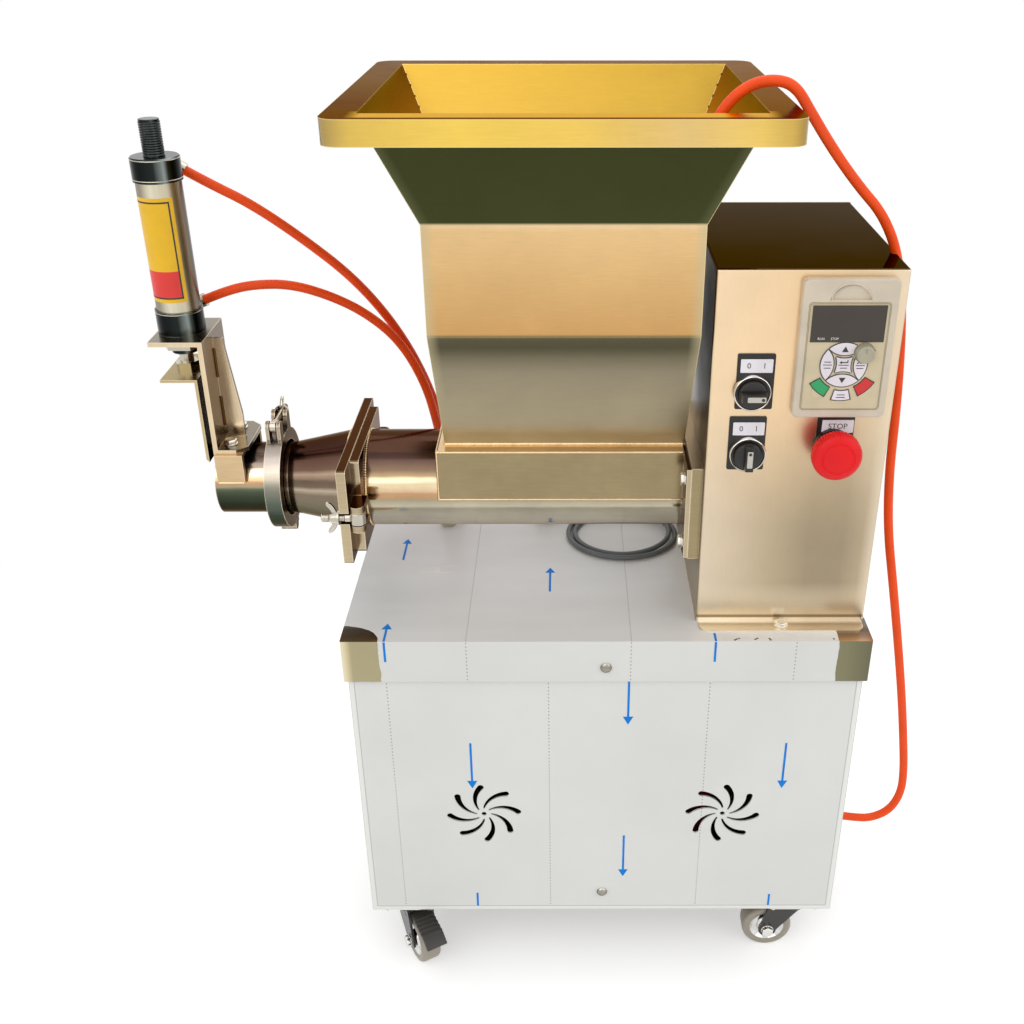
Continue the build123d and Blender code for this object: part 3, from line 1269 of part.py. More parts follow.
with BuildPart() as cutter_bracket:
    with BuildSketch(Plane(origin=(bracket_left, AXIS_Y, bracket_z), x_dir=(1, 0, 0), z_dir=(0, -1, 0))):
        with BuildLine():
            Polyline((0, 0), (BRACKET_FOOT, 0), (BRACKET_FOOT, BRACKET_T), (BRACKET_T, BRACKET_T),
                     (BRACKET_T, BRACKET_RISE), (BRACKET_T - SHELF_L, BRACKET_RISE),
                     (BRACKET_T - SHELF_L, BRACKET_RISE - BRACKET_T), (0, BRACKET_RISE - BRACKET_T),
                     close=True)
        make_face()
    extrude(amount=BRACKET_W / 2, both=True)
    with BuildSketch(Plane(origin=(bracket_left, AXIS_Y, bracket_z), x_dir=(1, 0, 0), z_dir=(0, -1, 0))):
        with BuildLine():
            Polyline((BRACKET_T, BRACKET_T), (BRACKET_T + GUSSET_FOOT, BRACKET_T),
                     (BRACKET_T + GUSSET_FOOT, BRACKET_T + GUSSET_FOOT_H),
                     (BRACKET_T + GUSSET_TOP, BRACKET_RISE - BRACKET_T - GUSSET_CLEAR),
                     (BRACKET_T, BRACKET_RISE - BRACKET_T - GUSSET_CLEAR), close=True)
        make_face()
    extrude(amount=BRACKET_T / 2, both=True)
    with BuildSketch(level(saddle_left + BRACKET_BOLT_X, AXIS_Y, bracket_z)):
        with Locations((0, -BRACKET_BOLT_Y), (0, BRACKET_BOLT_Y)):
            Circle(M6_R + HOLE_FIT)
    extrude(amount=BRACKET_T, mode=Mode.SUBTRACT)
    with BuildSketch(level(cylinder_x, AXIS_Y, shelf_top)):
        Circle(NOSE_R + HOLE_FIT)
    extrude(amount=-BRACKET_T, mode=Mode.SUBTRACT)
    chamfer(cutter_bracket.edges().filter_by(Axis.Z).sort_by(Axis.X)[-2:], BRACKET_CORNER)
keep(cutter_bracket, "cutter_bracket")

rod_bore = ROD_R + RUNNING_FIT
lower_port_z = shelf_top + LOWER_CAP_H / 2 + LOWER_PORT_LIFT
upper_port_z = top_cap_z + TOP_CAP_H / 2
with BuildPart() as cylinder_caps:
    with BuildSketch(level(cylinder_x, AXIS_Y, shelf_top)):
        Circle(CAP_R)
    extrude(amount=LOWER_CAP_H)
    with BuildSketch(level(cylinder_x, AXIS_Y, shelf_top)):
        Circle(NOSE_R)
    extrude(amount=-NOSE_L)
    with BuildSketch(level(cylinder_x, AXIS_Y, shelf_top - NOSE_L)):
        Circle(rod_bore)
    extrude(amount=NOSE_L + LOWER_CAP_H, mode=Mode.SUBTRACT)
    with BuildSketch(level(cylinder_x, AXIS_Y, top_cap_z)):
        Circle(CAP_R)
    extrude(amount=TOP_CAP_H)
    chamfer(cylinder_caps.edges().filter_by(GeomType.CIRCLE).sort_by(Axis.Z)[-1], BOLT_CHAMFER)
    with BuildSketch(level(cylinder_x, AXIS_Y, top_cap_z + TOP_CAP_H)):
        Circle(STUD_R)
    extrude(amount=STUD_L)
    chamfer(cylinder_caps.edges().filter_by(GeomType.CIRCLE).sort_by(Axis.Z)[-1], BOLT_CHAMFER)
    for port_z in (lower_port_z, upper_port_z):
        port = Plane(origin=(cylinder_x, AXIS_Y + CAP_R, port_z), x_dir=(1, 0, 0), z_dir=(0, 1, 0))
        with BuildSketch(port):
            Circle(PORT_R + RUNNING_FIT)
        extrude(amount=-ELBOW_REACH, mode=Mode.SUBTRACT)
keep(cylinder_caps, "cylinder_caps")

with BuildPart() as cylinder_tube:
    with BuildSketch(level(cylinder_x, AXIS_Y, tube_z)):
        Circle(CYLINDER_R)
        Circle(CYLINDER_BORE_R, mode=Mode.SUBTRACT)
    extrude(amount=cylinder_l)
keep(cylinder_tube, "cylinder_tube")

with BuildPart() as cylinder_nut:
    with BuildSketch(level(cylinder_x, AXIS_Y, shelf_top - BRACKET_T)):
        RegularPolygon(NOSE_NUT_AF / 2, 6, major_radius=False)
        Circle(NOSE_R + RUNNING_FIT, mode=Mode.SUBTRACT)
    extrude(amount=-NOSE_NUT_H)
keep(cylinder_nut, "cylinder_nut")

piston_top = top_cap_z - PISTON_TOP_GAP
rod_shoulder = blade_top + ROD_NUT_H
rod_tip = blade_top - BLADE_T - ROD_NUT_H - ROD_TIP
with BuildPart() as piston_rod:
    with BuildSketch(level(cylinder_x, AXIS_Y, piston_top)):
        Circle(CYLINDER_BORE_R - RUNNING_FIT)
    extrude(amount=-PISTON_H)
    with BuildSketch(level(cylinder_x, AXIS_Y, piston_top - PISTON_H)):
        Circle(ROD_R)
    extrude(amount=rod_shoulder - piston_top + PISTON_H)
    with BuildSketch(level(cylinder_x, AXIS_Y, rod_shoulder)):
        Circle(ROD_END_R)
    extrude(amount=rod_tip - rod_shoulder)
keep(piston_rod, "piston_rod")

with BuildPart() as cutter_blade:
    with BuildSketch(Plane(origin=(blade_right, AXIS_Y, blade_top), x_dir=(1, 0, 0), z_dir=(0, -1, 0))):
        with BuildLine():
            Polyline((0, 0), (0, -BLADE_H), (-BLADE_T, -BLADE_H + BLADE_T), (-BLADE_T, -BLADE_T),
                     (-BLADE_FLANGE, -BLADE_T), (-BLADE_FLANGE, 0), close=True)
        make_face()
    extrude(amount=BLADE_W / 2, both=True)
    with BuildSketch(level(cylinder_x, AXIS_Y, blade_top)):
        Circle(ROD_END_R + RUNNING_FIT)
    extrude(amount=-BLADE_T, mode=Mode.SUBTRACT)
keep(cutter_blade, "cutter_blade")

with BuildPart() as rod_nuts:
    for start in (blade_top, blade_top - BLADE_T - ROD_NUT_H):
        with BuildSketch(level(cylinder_x, AXIS_Y, start)):
            RegularPolygon(ROD_NUT_AF / 2, 6, major_radius=False)
            Circle(ROD_END_R + RUNNING_FIT, mode=Mode.SUBTRACT)
        extrude(amount=ROD_NUT_H)
keep(rod_nuts, "rod_nuts")


# Drive

def sprocket_outline(pitch_r, teeth):
    """Side view of a sprocket: a disc with a round gullet for each roller of the chain."""
    with BuildSketch(mode=Mode.PRIVATE) as outline:
        Circle(pitch_r + TOOTH_RISE)
        with PolarLocations(pitch_r, teeth):
            Circle(CHAIN_ROLLER_R, mode=Mode.SUBTRACT)
    return outline.sketch


with BuildPart() as auger_sprocket:
    with BuildSketch(across(sprocket_x)):
        add(sprocket_outline(auger_pitch_r, AUGER_TEETH))
    extrude(amount=SPROCKET_T)
    with BuildSketch(across(sprocket_x + SPROCKET_T)):
        Circle(SPROCKET_HUB_R)
    extrude(amount=SPROCKET_HUB_L)
    with BuildSketch(across(sprocket_x)):
        Circle(SHAFT_R + RUNNING_FIT)
    extrude(amount=SPROCKET_T + SPROCKET_HUB_L, mode=Mode.SUBTRACT)
keep(auger_sprocket, "auger_sprocket")

motor_place = Plane(origin=(sprocket_x, AXIS_Y, MOTOR_Z), x_dir=(0, 1, 0), z_dir=(1, 0, 0))
with BuildPart() as motor_sprocket:
    with BuildSketch(motor_place):
        add(sprocket_outline(motor_pitch_r, MOTOR_TEETH))
    extrude(amount=SPROCKET_T)
    with BuildSketch(motor_place):
        Circle(MOTOR_HUB_R)
    extrude(amount=-SPROCKET_HUB_L)
    with BuildSketch(motor_place):
        Circle(MOTOR_SHAFT_R)
    extrude(amount=gearbox_right - MOTOR_SHAFT_DEPTH - sprocket_x)
keep(motor_sprocket, "motor_sprocket")

chain_mid = sprocket_x + SPROCKET_T / 2
upper_wrap = auger_pitch_r + TOOTH_RISE + SIDE_GAP
lower_wrap = motor_pitch_r + TOOTH_RISE + SIDE_GAP


def wrap_outline(grow):
    """Outline of the chain loop round both sprockets, grown outwards."""
    with BuildSketch(mode=Mode.PRIVATE) as loop:
        with BuildLine(mode=Mode.PRIVATE):
            top = CenterArc((0, axis_z), upper_wrap + grow, 0, 360)
            bottom = CenterArc((0, MOTOR_Z), lower_wrap + grow, 0, 360)
        make_hull([top, bottom])
    return loop.sketch


with BuildPart() as drive_chain:
    with BuildSketch(Plane(origin=(chain_mid - CHAIN_W / 2, AXIS_Y, 0), x_dir=(0, 1, 0), z_dir=(1, 0, 0))):
        add(wrap_outline(CHAIN_T))
        add(wrap_outline(0), mode=Mode.SUBTRACT)
    extrude(amount=CHAIN_W)
keep(drive_chain, "drive_chain")

with BuildPart() as gear_motor:
    with BuildSketch(level(gearbox_left + GEARBOX_L / 2, AXIS_Y, floor_top)):
        Rectangle(GEARBOX_L, GEARBOX_FOOT_W)
    extrude(amount=GEARBOX_FOOT_T)
    with BuildSketch(level(gearbox_left + GEARBOX_L / 2, AXIS_Y, floor_top)):
        Rectangle(GEARBOX_L, GEARBOX_W)
    extrude(amount=MOTOR_Z + GEARBOX_RISE - floor_top)
    fillet(gear_motor.edges().filter_by(Axis.X).group_by(Axis.Z)[-1], GEARBOX_CORNER_R)
    with BuildSketch(Plane(origin=(gearbox_left, AXIS_Y, MOTOR_Z), x_dir=(0, 1, 0), z_dir=(-1, 0, 0))):
        Circle(MOTOR_R)
    extrude(amount=MOTOR_L)
    for fin in range(MOTOR_FINS):
        fin_x = gearbox_left - FIN_START - fin * FIN_PITCH
        with BuildSketch(Plane(origin=(fin_x, AXIS_Y, MOTOR_Z), x_dir=(0, 1, 0), z_dir=(-1, 0, 0))):
            Circle(MOTOR_R)
            Circle(MOTOR_R - FIN_DEPTH, mode=Mode.SUBTRACT)
        extrude(amount=FIN_DEPTH, mode=Mode.SUBTRACT)
    with BuildSketch(Plane(origin=(gearbox_right, AXIS_Y, MOTOR_Z), x_dir=(0, 1, 0), z_dir=(-1, 0, 0))):
        Circle(MOTOR_SHAFT_R + RUNNING_FIT)
    extrude(amount=MOTOR_SHAFT_DEPTH + SIDE_GAP, mode=Mode.SUBTRACT)
    with BuildSketch(level(0, 0, floor_top)):
        with Locations(*motor_bolt_places):
            Circle(M6_R + HOLE_FIT)
    extrude(amount=GEARBOX_FOOT_T, mode=Mode.SUBTRACT)
keep(gear_motor, "gear_motor")

valve_x = cabinet_right - VALVE_FROM_RIGHT
valve_rear = cabinet_rear - SHEET
with BuildPart() as solenoid_valve:
    with BuildSketch(upright(valve_rear)):
        with Locations((valve_x, VALVE_Z)):
            Rectangle(VALVE_W, VALVE_H)
    extrude(amount=VALVE_D)
    with BuildSketch(upright(valve_rear)):
        with Locations((valve_x + (VALVE_W + VALVE_COIL) / 2, VALVE_Z)):
            Rectangle(VALVE_COIL, VALVE_COIL)
    extrude(amount=VALVE_D)
    with BuildSketch(upright(valve_rear - VALVE_D)):
        with Locations(*[(valve_x + port * VALVE_PORT_SPREAD, VALVE_Z) for port in (-1, 0, 1)]):
            Circle(PORT_R)
    extrude(amount=-VALVE_D / 2, mode=Mode.SUBTRACT)
keep(solenoid_valve, "solenoid_valve")


# Fasteners

def hex_bolt(radius, af, head, length):
    """A bolt standing on its head's underside, with the shank below."""
    with BuildPart(mode=Mode.PRIVATE) as bolt:
        with BuildSketch():
            RegularPolygon(af / 2, 6, major_radius=False)
        extrude(amount=head)
        with BuildSketch():
            Circle(radius)
        extrude(amount=-length)
    return bolt.part


def pan_screw():
    """A low round-headed screw."""
    with BuildPart(mode=Mode.PRIVATE) as screw:
        with BuildSketch():
            Circle(PAN_R)
        extrude(amount=PAN_HEAD, taper=PAN_TAPER)
        with BuildSketch():
            Circle(M5_R)
        extrude(amount=-SCREW_L)
    return screw.part


def facing(x, y, z, way):
    """Plane at a place that faces along way."""
    return Plane(origin=(x, y, z), x_dir=(way[1], way[2], way[0]), z_dir=way)


front_way = (0, -1, 0)
screw_places = [facing(CABINET_X, lid_front, deck_z - SKIRT_SCREW_DROP, front_way),
                facing(CABINET_X, cabinet_front, PANEL_SCREW_Z, front_way)]
screw_places += [facing(x, box_rear, z, (0, 1, 0)) for x, z in cover_screws]
flange_bolt = hex_bolt(M6_R, M6_AF, M6_HEAD, FLANGE_T + HOUSING_T + SHEET + M6_HEAD)
bracket_bolt = hex_bolt(M6_R, M6_AF, M6_HEAD, BRACKET_T + SADDLE_T)
bracket_bolt_x = saddle_left + BRACKET_BOLT_X
castor_bolt = hex_bolt(M5_R, M5_AF, M5_HEAD, TOP_PLATE_T + SHEET + M5_HEAD)
motor_bolt = hex_bolt(M6_R, M6_AF, M6_HEAD, GEARBOX_FOOT_T + SHEET)
foot_bolt = hex_bolt(M6_R, M6_AF, M6_HEAD, SCREW_L)
panel_screw = pan_screw()
with BuildPart() as fasteners:
    with Locations(*screw_places):
        add(panel_screw)
    with Locations(*[level(x, y, deck_z + SHEET) for x, y in foot_bolt_places]):
        add(foot_bolt)
    with Locations(*[facing(flange_left, AXIS_Y + y, axis_z + z, (-1, 0, 0)) for y, z in flange_bolts]):
        add(flange_bolt)
    with BuildSketch(across(box_left + SHEET)):
        with Locations(*flange_bolts):
            RegularPolygon(M6_AF / 2, 6, major_radius=False)
    extrude(amount=M6_HEAD)
    with Locations(*[level(bracket_bolt_x, AXIS_Y + y, bracket_z + BRACKET_T)
                     for y in (-BRACKET_BOLT_Y, BRACKET_BOLT_Y)]):
        add(bracket_bolt)
    with Locations(*[facing(x, y, CASTOR_H - TOP_PLATE_T, (0, 0, -1)) for x, y in castor_bolt_places]):
        add(castor_bolt)
    with Locations(*[level(x, y, floor_top + GEARBOX_FOOT_T) for x, y in motor_bolt_places]):
        add(motor_bolt)
keep(fasteners, "fasteners")


# Hose fittings and cable glands

elbow_y = AXIS_Y + CAP_R + ELBOW_REACH
deck_gland_z = deck_z + DECK_GLAND_RISE


def straight_fitting(body_r, length):
    """A fitting through a sheet: hexagon and body above it, threaded tail below."""
    with BuildPart(mode=Mode.PRIVATE) as fitting:
        with BuildSketch():
            RegularPolygon(BULKHEAD_AF / 2, 6, major_radius=False)
        extrude(amount=length / 3)
        with BuildSketch():
            Circle(body_r)
        extrude(amount=length)
        with BuildSketch():
            Circle(PORT_R)
        extrude(amount=-SCREW_L)
    return fitting.part


bulkhead = straight_fitting(BULKHEAD_R, BULKHEAD_H)
inlet = straight_fitting(BULKHEAD_R, INLET_L)
gland = straight_fitting(GLAND_R, GLAND_L)
with BuildPart() as fittings:
    for port_z, tilt in ((upper_port_z, UPPER_ELBOW_TILT), (lower_port_z, LOWER_ELBOW_TILT)):
        with BuildSketch(facing(cylinder_x, elbow_y, port_z, front_way)):
            Circle(PORT_R)
        extrude(amount=2 * ELBOW_REACH - ELBOW_SEAT_GAP)
        with BuildSketch(facing(cylinder_x, elbow_y + ELBOW_R, port_z, front_way)):
            Circle(ELBOW_R)
        extrude(amount=ELBOW_R + ELBOW_REACH - ELBOW_SEAT_GAP)
        heading = (cos(radians(tilt)), 0, sin(radians(tilt)))
        with BuildSketch(Plane(origin=(cylinder_x, elbow_y, port_z), x_dir=(0, 1, 0), z_dir=heading)):
            Circle(ELBOW_TIP_R)
        extrude(amount=ELBOW_L)
    with Locations(*[level(x, y, deck_z) for x, y in (UPPER_BULKHEAD, LOWER_BULKHEAD)]):
        add(bulkhead)
    with Locations(facing(cabinet_right, INLET_Y, INLET_Z, (1, 0, 0))):
        add(inlet)
    with Locations(facing(box_left, BOX_GLAND_Y, box_gland_z, (-1, 0, 0))):
        add(gland)
    with BuildSketch(level(*DECK_GLAND, deck_z)):
        Circle(GLAND_R)
    extrude(amount=DECK_GLAND_RISE + GLAND_R)
    with BuildSketch(facing(*DECK_GLAND, deck_gland_z, (1, 0, 0))):
        Circle(GLAND_TIP_R)
    extrude(amount=GLAND_L)
    with BuildSketch(level(*DECK_GLAND, deck_z)):
        Circle(PORT_R)
    extrude(amount=-SCREW_L)
keep(fittings, "fittings")


# Hoses and cable: straight runs joined by the largest tangent arcs that they allow

def corner_radii(points):
    """Radius at each corner of a route: a share of the shorter run over the tangent of half the turn."""
    radii = []
    for before, here, after in zip(points, points[1:], points[2:]):
        run_in = Vector(*here) - Vector(*before)
        run_out = Vector(*after) - Vector(*here)
        half_turn = radians(run_in.get_angle(run_out)) / 2
        radii.append(ARC_SHARE * min(run_in.length, run_out.length) / tan(half_turn))
    return radii


def cord(name, points, radius):
    """A hose or cable along a route, with its length, tightest arc and least gap to itself printed."""
    radii = corner_radii(points)
    with BuildPart() as tube:
        with BuildLine() as route:
            FilletPolyline(*points, radius=radii)
        line = route.wire()
        with BuildSketch(Plane(origin=line @ 0, z_dir=line % 0)):
            Circle(radius)
        sweep()
    length = line.length
    share = tube.part.volume / (pi * radius ** 2 * length)
    print(f"{name}: length {length:.0f}, volume share {share:.4f}, own gap {self_gap(line, radius):.2f}")
    print(f"{name}: radii", *[round(corner) for corner in radii])
    keep(tube, name)


def self_gap(line, radius):
    """Least clear distance between stretches of a route that are more than six diameters apart along it."""
    count = int(line.length / radius)
    spots = [line @ (step / count) for step in range(count + 1)]
    apart = int(12 * radius / (line.length / count)) + 1
    gaps = [(spots[i] - spots[j]).length for i in range(len(spots)) for j in range(i + apart, len(spots))]
    return min(gaps) - 2 * radius


def elbow_lead(port_z, tilt):
    """The end of a cylinder elbow and the next point straight out of it, where its hose starts."""
    return [(cylinder_x + reach * cos(radians(tilt)), elbow_y, port_z + reach * sin(radians(tilt)))
            for reach in (ELBOW_L, ELBOW_L + HOSE_LEAD)]


def deck_lead(x, y):
    """The last two points of a hose that comes straight down into a fitting on the deck."""
    return [(x, y, deck_z + BULKHEAD_H + HOSE_LEAD), (x, y, deck_z + BULKHEAD_H)]


upper_route = elbow_lead(upper_port_z, UPPER_ELBOW_TILT)
upper_route += [(-231, 27, 729), (-195, 42, 697), (-158, 59, 656), (-130, 75, 609), (-109, 91, 559),
                (-95, 105, 508), (-86, 114, 469), *deck_lead(*UPPER_BULKHEAD)]
cord("upper_hose", upper_route, HOSE_R)

lower_route = elbow_lead(lower_port_z, LOWER_ELBOW_TILT)
lower_route += [(-234, 24, 663), (-206, 32, 657), (-176, 42, 643), (-149, 53, 622), (-125, 65, 588),
                (-108, 76, 545), (-97, 86, 500), (-90, 91, 466), *deck_lead(*LOWER_BULKHEAD)]
cord("lower_hose", lower_route, HOSE_R)

supply_route = [
    (128, -96, 785), (133, -99, 807), (144, -101, 829), (159, -100, 842), (178, -96, 845.5), (196, -90, 839),
    (211, -79, 819), (232, -66, 791), (256, -56, 763), (278, -49, 741), (296, -45, 712), (304, -42, 672),
    (308, -41, 625), (311.5, -40.5, 570), (314, -39, 515), (320, -39, 458), (332, -40, 400), (345, -41, 335),
    (357, -41, 272), (367, -40, 215), (370, -40, 168), (361, -40, 132), (338, -40, INLET_Z),
    (cabinet_right + INLET_L, INLET_Y, INLET_Z),
]
cord("supply_hose", supply_route, HOSE_R)


def coil_point(step):
    """A point of the cable's coil, anticlockwise from its rear, drawn in at a steady rate."""
    turns = step / COIL_POINTS
    angle = pi / 2 + 2 * pi * turns
    rest_z = deck_z + CABLE_R + COIL_LIFT
    climb = max(0, turns - COIL_TURNS + 0.5) / 0.5
    return (COIL_X + (COIL_HALF_X - COIL_STEP * turns) * cos(angle),
            COIL_Y + (COIL_HALF_Y - COIL_STEP * turns) * sin(angle), rest_z + COIL_HUMP * climb)


cable_route = [(box_left - GLAND_L - reach, BOX_GLAND_Y, box_gland_z) for reach in (0, CABLE_LEAD)]
cable_route += [(103, BOX_GLAND_Y + 2, deck_z + 6)]
cable_route += [coil_point(step) for step in range(COIL_TURNS * COIL_POINTS + 1)]
cable_route += [(62, 102.5, deck_gland_z + 0.2)]
cable_route += [(DECK_GLAND[0] + GLAND_L + reach, DECK_GLAND[1], deck_gland_z) for reach in (CABLE_LEAD, 0)]
cord("sensor_cable", cable_route, CABLE_R)
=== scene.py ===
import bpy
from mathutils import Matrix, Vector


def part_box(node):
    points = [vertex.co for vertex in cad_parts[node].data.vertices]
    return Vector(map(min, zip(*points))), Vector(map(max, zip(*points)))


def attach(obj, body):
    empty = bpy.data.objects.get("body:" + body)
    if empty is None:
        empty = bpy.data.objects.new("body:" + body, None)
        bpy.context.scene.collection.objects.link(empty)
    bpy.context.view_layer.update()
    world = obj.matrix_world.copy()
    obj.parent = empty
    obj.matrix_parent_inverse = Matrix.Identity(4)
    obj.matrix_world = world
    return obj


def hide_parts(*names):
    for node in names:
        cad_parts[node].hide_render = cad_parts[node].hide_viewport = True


bl_info = {
    "name": "Dough divider dressing",
    "version": (1, 0, 0),
    "blender": (4, 5, 0),
    "location": "View3D > Sidebar > Divider",
    "description": "Dresses the packed dough divider with finishes, hoses, welds, keys and film print",
    "category": "Object",
}

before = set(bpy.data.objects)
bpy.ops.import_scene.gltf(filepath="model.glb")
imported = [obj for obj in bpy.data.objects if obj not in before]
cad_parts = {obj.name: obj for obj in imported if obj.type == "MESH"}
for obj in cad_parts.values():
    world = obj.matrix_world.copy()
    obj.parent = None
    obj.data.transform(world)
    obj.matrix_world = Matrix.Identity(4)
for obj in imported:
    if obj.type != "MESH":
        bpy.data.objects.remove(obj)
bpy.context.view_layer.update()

from math import atan2, cos, hypot, pi, radians, sin

import bpy
from bpy.props import FloatProperty, FloatVectorProperty, PointerProperty
from mathutils import Vector

MM = 0.001
ROOT = "frame"

# Turns, in degrees, that face a piece built along Z to each side of the machine
FRONT, REAR = (90, 0, 0), (-90, 0, 0)
UP, DOWN = (0, 0, 0), (180, 0, 0)
LEFT, RIGHT = (0, -90, 0), (0, 90, 0)
# Turns that lay a piece built along X along each axis
ALONG_X, ALONG_Y, ALONG_Z = (0, 0, 0), (0, 0, 90), (0, 90, 0)
ORIGIN = (0, 0, 0)
SIDES = (-1, 1)
QUARTERS = (0, 90, 180, 270)

# Places on the machine, in mm in the frame of the CAD
AXIS_Y, AXIS_Z = -7.3, 494.4
PANEL_FACE, SKIRT_FACE, DECK_Z = -117.0, -120.5, 392.0
LID_LEFT, FILM_RIGHT, FILM_TORN_Y = -163.5, 266.5, -84.0
PANEL_LEFT, PANEL_RIGHT, PANEL_FOOT = -160.0, 292.0, 71.0
HOPPER_X, HOPPER_SHOULDER, HOPPER_TOP = 30.05, 745.0, 829.0
HOPPER_HALF, FLARE = {"X": 105.25, "Y": 93.0}, 36.0
RIM_INNER, RIM_HALF_X = {"X": 148.0, "Y": 135.5}, 164.0
BOX_LEFT, BOX_RIGHT = 145.55, 293.05
BOX_X = (BOX_LEFT + BOX_RIGHT) / 2
CYLINDER_X, ELBOW_Y, TUBE_R = -293.0, 20.2, 18.0
LEGEND_FACE, BEZEL_FACE, KNOB_BACK = -90.5, -95.0, -93.15
SELECTOR_X, SELECTOR_ZS = 179.0, {"upper": 610.0, "lower": 556.5}
STOP_X, STOP_Z = 247.05, 563.5
KEYPAD_FACE, KEYS_X, KEYS_Z = -96.9, 247.8, 635.0
POT_X, POT_Z = 262.7, 645.2
# Castors: the middle of each wheel and its turn in degrees
WHEELS = {"front_left": ((-115.0, -107.05, 25.0), -60), "front_right": ((236.0, -88.0, 25.0), 180),
          "rear_left": ((-145.05, 136.0, 25.0), 150), "rear_right": ((276.02, 137.62, 25.0), 35)}
SWIVELS = ((-126, -88), (258, -88), (-126, 125), (258, 125))
FORK_HALF = 13.5
SWING_PINS = {"front": (-144.0, -85.3, AXIS_Z), "rear": (-144.0, 70.7, AXIS_Z)}
SWING_SEAT_X = -159.5
CLAMP_PIN, CLAMP_SEAT_Y = (-223.0, -20.3, 549.4), 11.2


# Helpers for modelling

def linear(colour):
    """Turn an sRGB hex colour into linear red, green, blue and alpha."""
    parts = [int(colour[i:i + 2], 16) / 255 for i in (1, 3, 5)]
    return [c / 12.92 if c <= 0.04045 else ((c + 0.055) / 1.055) ** 2.4 for c in parts] + [1.0]


def fresh():
    """Go to object mode with nothing selected and vertices as what is picked, ready for a new primitive."""
    if bpy.context.object and bpy.context.object.mode != "OBJECT":
        bpy.ops.object.mode_set(mode="OBJECT")
    bpy.context.tool_settings.mesh_select_mode = (True, False, False)
    bpy.ops.object.select_all(action="DESELECT")


def hold(obj):
    """Select one object alone and make it active."""
    fresh()
    obj.select_set(True)
    bpy.context.view_layer.objects.active = obj
    return obj


def bake():
    """Move the active object's place, turn and scale into its mesh."""
    bpy.ops.object.transform_apply(location=True, rotation=True, scale=True)
    return bpy.context.object


def pick(obj, kind, test):
    """Select in edit mode the vertices or faces whose middle, in mm, passes a test."""
    hold(obj)
    bpy.ops.object.mode_set(mode="EDIT")
    bpy.ops.mesh.select_mode(type=kind)
    bpy.ops.mesh.select_all(action="DESELECT")
    bpy.ops.object.mode_set(mode="OBJECT")
    if kind == "VERT":
        for corner in obj.data.vertices:
            corner.select = test(corner.co / MM)
    else:
        for face in obj.data.polygons:
            face.select = test(face.center / MM, face.normal)
    bpy.ops.object.mode_set(mode="EDIT")


def mend(obj, angle=40):
    """Merge doubles, turn the faces outwards and shade smooth up to an angle in degrees."""
    hold(obj)
    bpy.ops.object.mode_set(mode="EDIT")
    bpy.ops.mesh.select_all(action="SELECT")
    bpy.ops.mesh.remove_doubles(threshold=0.002 * MM)
    bpy.ops.mesh.normals_make_consistent(inside=False)
    bpy.ops.object.mode_set(mode="OBJECT")
    bpy.ops.object.shade_smooth_by_angle(angle=radians(angle))
    return obj


def put(obj, place, turn=UP):
    """Turn a piece by degrees about X, Y and Z, move it to its place in mm, and bake both into its mesh."""
    hold(obj)
    obj.rotation_euler = [radians(angle) for angle in turn]
    obj.location = [value * MM for value in place]
    return bake()


def twin(obj):
    """A copy with its own mesh."""
    hold(obj)
    bpy.ops.object.duplicate(linked=False)
    return bpy.context.object


def join(parts):
    """Join pieces into the first of them."""
    fresh()
    for part in parts:
        part.select_set(True)
    bpy.context.view_layer.objects.active = parts[0]
    bpy.ops.object.join()
    return parts[0]


def scatter(obj, places):
    """Copies of a piece at places with turns, joined into one, without the first."""
    copies = [put(twin(obj), place, turn) for place, turn in places]
    bpy.data.objects.remove(obj)
    return join(copies)


def lathe(profile, segments=48, closed=False, angle=40):
    """Turn a profile of radius and height, in mm, about Z: a circle is extruded and scaled step by step."""
    fresh()
    radius, level = profile[0]
    bpy.ops.mesh.primitive_circle_add(vertices=segments, radius=radius * MM, location=ORIGIN)
    obj = bpy.context.object
    bpy.ops.object.mode_set(mode="EDIT")
    bpy.ops.mesh.select_all(action="SELECT")
    bpy.ops.transform.translate(value=(0, 0, level * MM))
    for wide, high in profile[1:] + profile[:1] * closed:
        bpy.ops.mesh.extrude_region_move(TRANSFORM_OT_translate={"value": (0, 0, (high - level) * MM)})
        bpy.ops.transform.resize(value=(wide / radius, wide / radius, 1), center_override=(0, 0, high * MM))
        radius, level = wide, high
    if not closed:
        bpy.ops.mesh.select_all(action="SELECT")
        bpy.ops.mesh.fill_holes(sides=0)
    return mend(obj, angle)


def plate(rings, thickness, bevel=0.0):
    """A flat plate from closed outlines in mm, standing on Z 0. A ring inside another is a hole."""
    curve = bpy.data.curves.new("plate", "CURVE")
    curve.dimensions = "2D"
    curve.fill_mode = "BOTH"
    curve.extrude = (thickness / 2 - bevel) * MM
    curve.bevel_depth = bevel * MM
    curve.bevel_resolution = 2
    curve.offset = -bevel * MM
    for ring in rings:
        spline = curve.splines.new("POLY")
        spline.points.add(len(ring) - 1)
        for knot, (across, along) in zip(spline.points, ring):
            knot.co = (across * MM, along * MM, 0, 1)
        spline.use_cyclic_u = True
    obj = bpy.data.objects.new("plate", curve)
    bpy.context.collection.objects.link(obj)
    hold(obj)
    bpy.ops.object.convert(target="MESH")
    return mend(put(bpy.context.object, (0, 0, thickness / 2)))


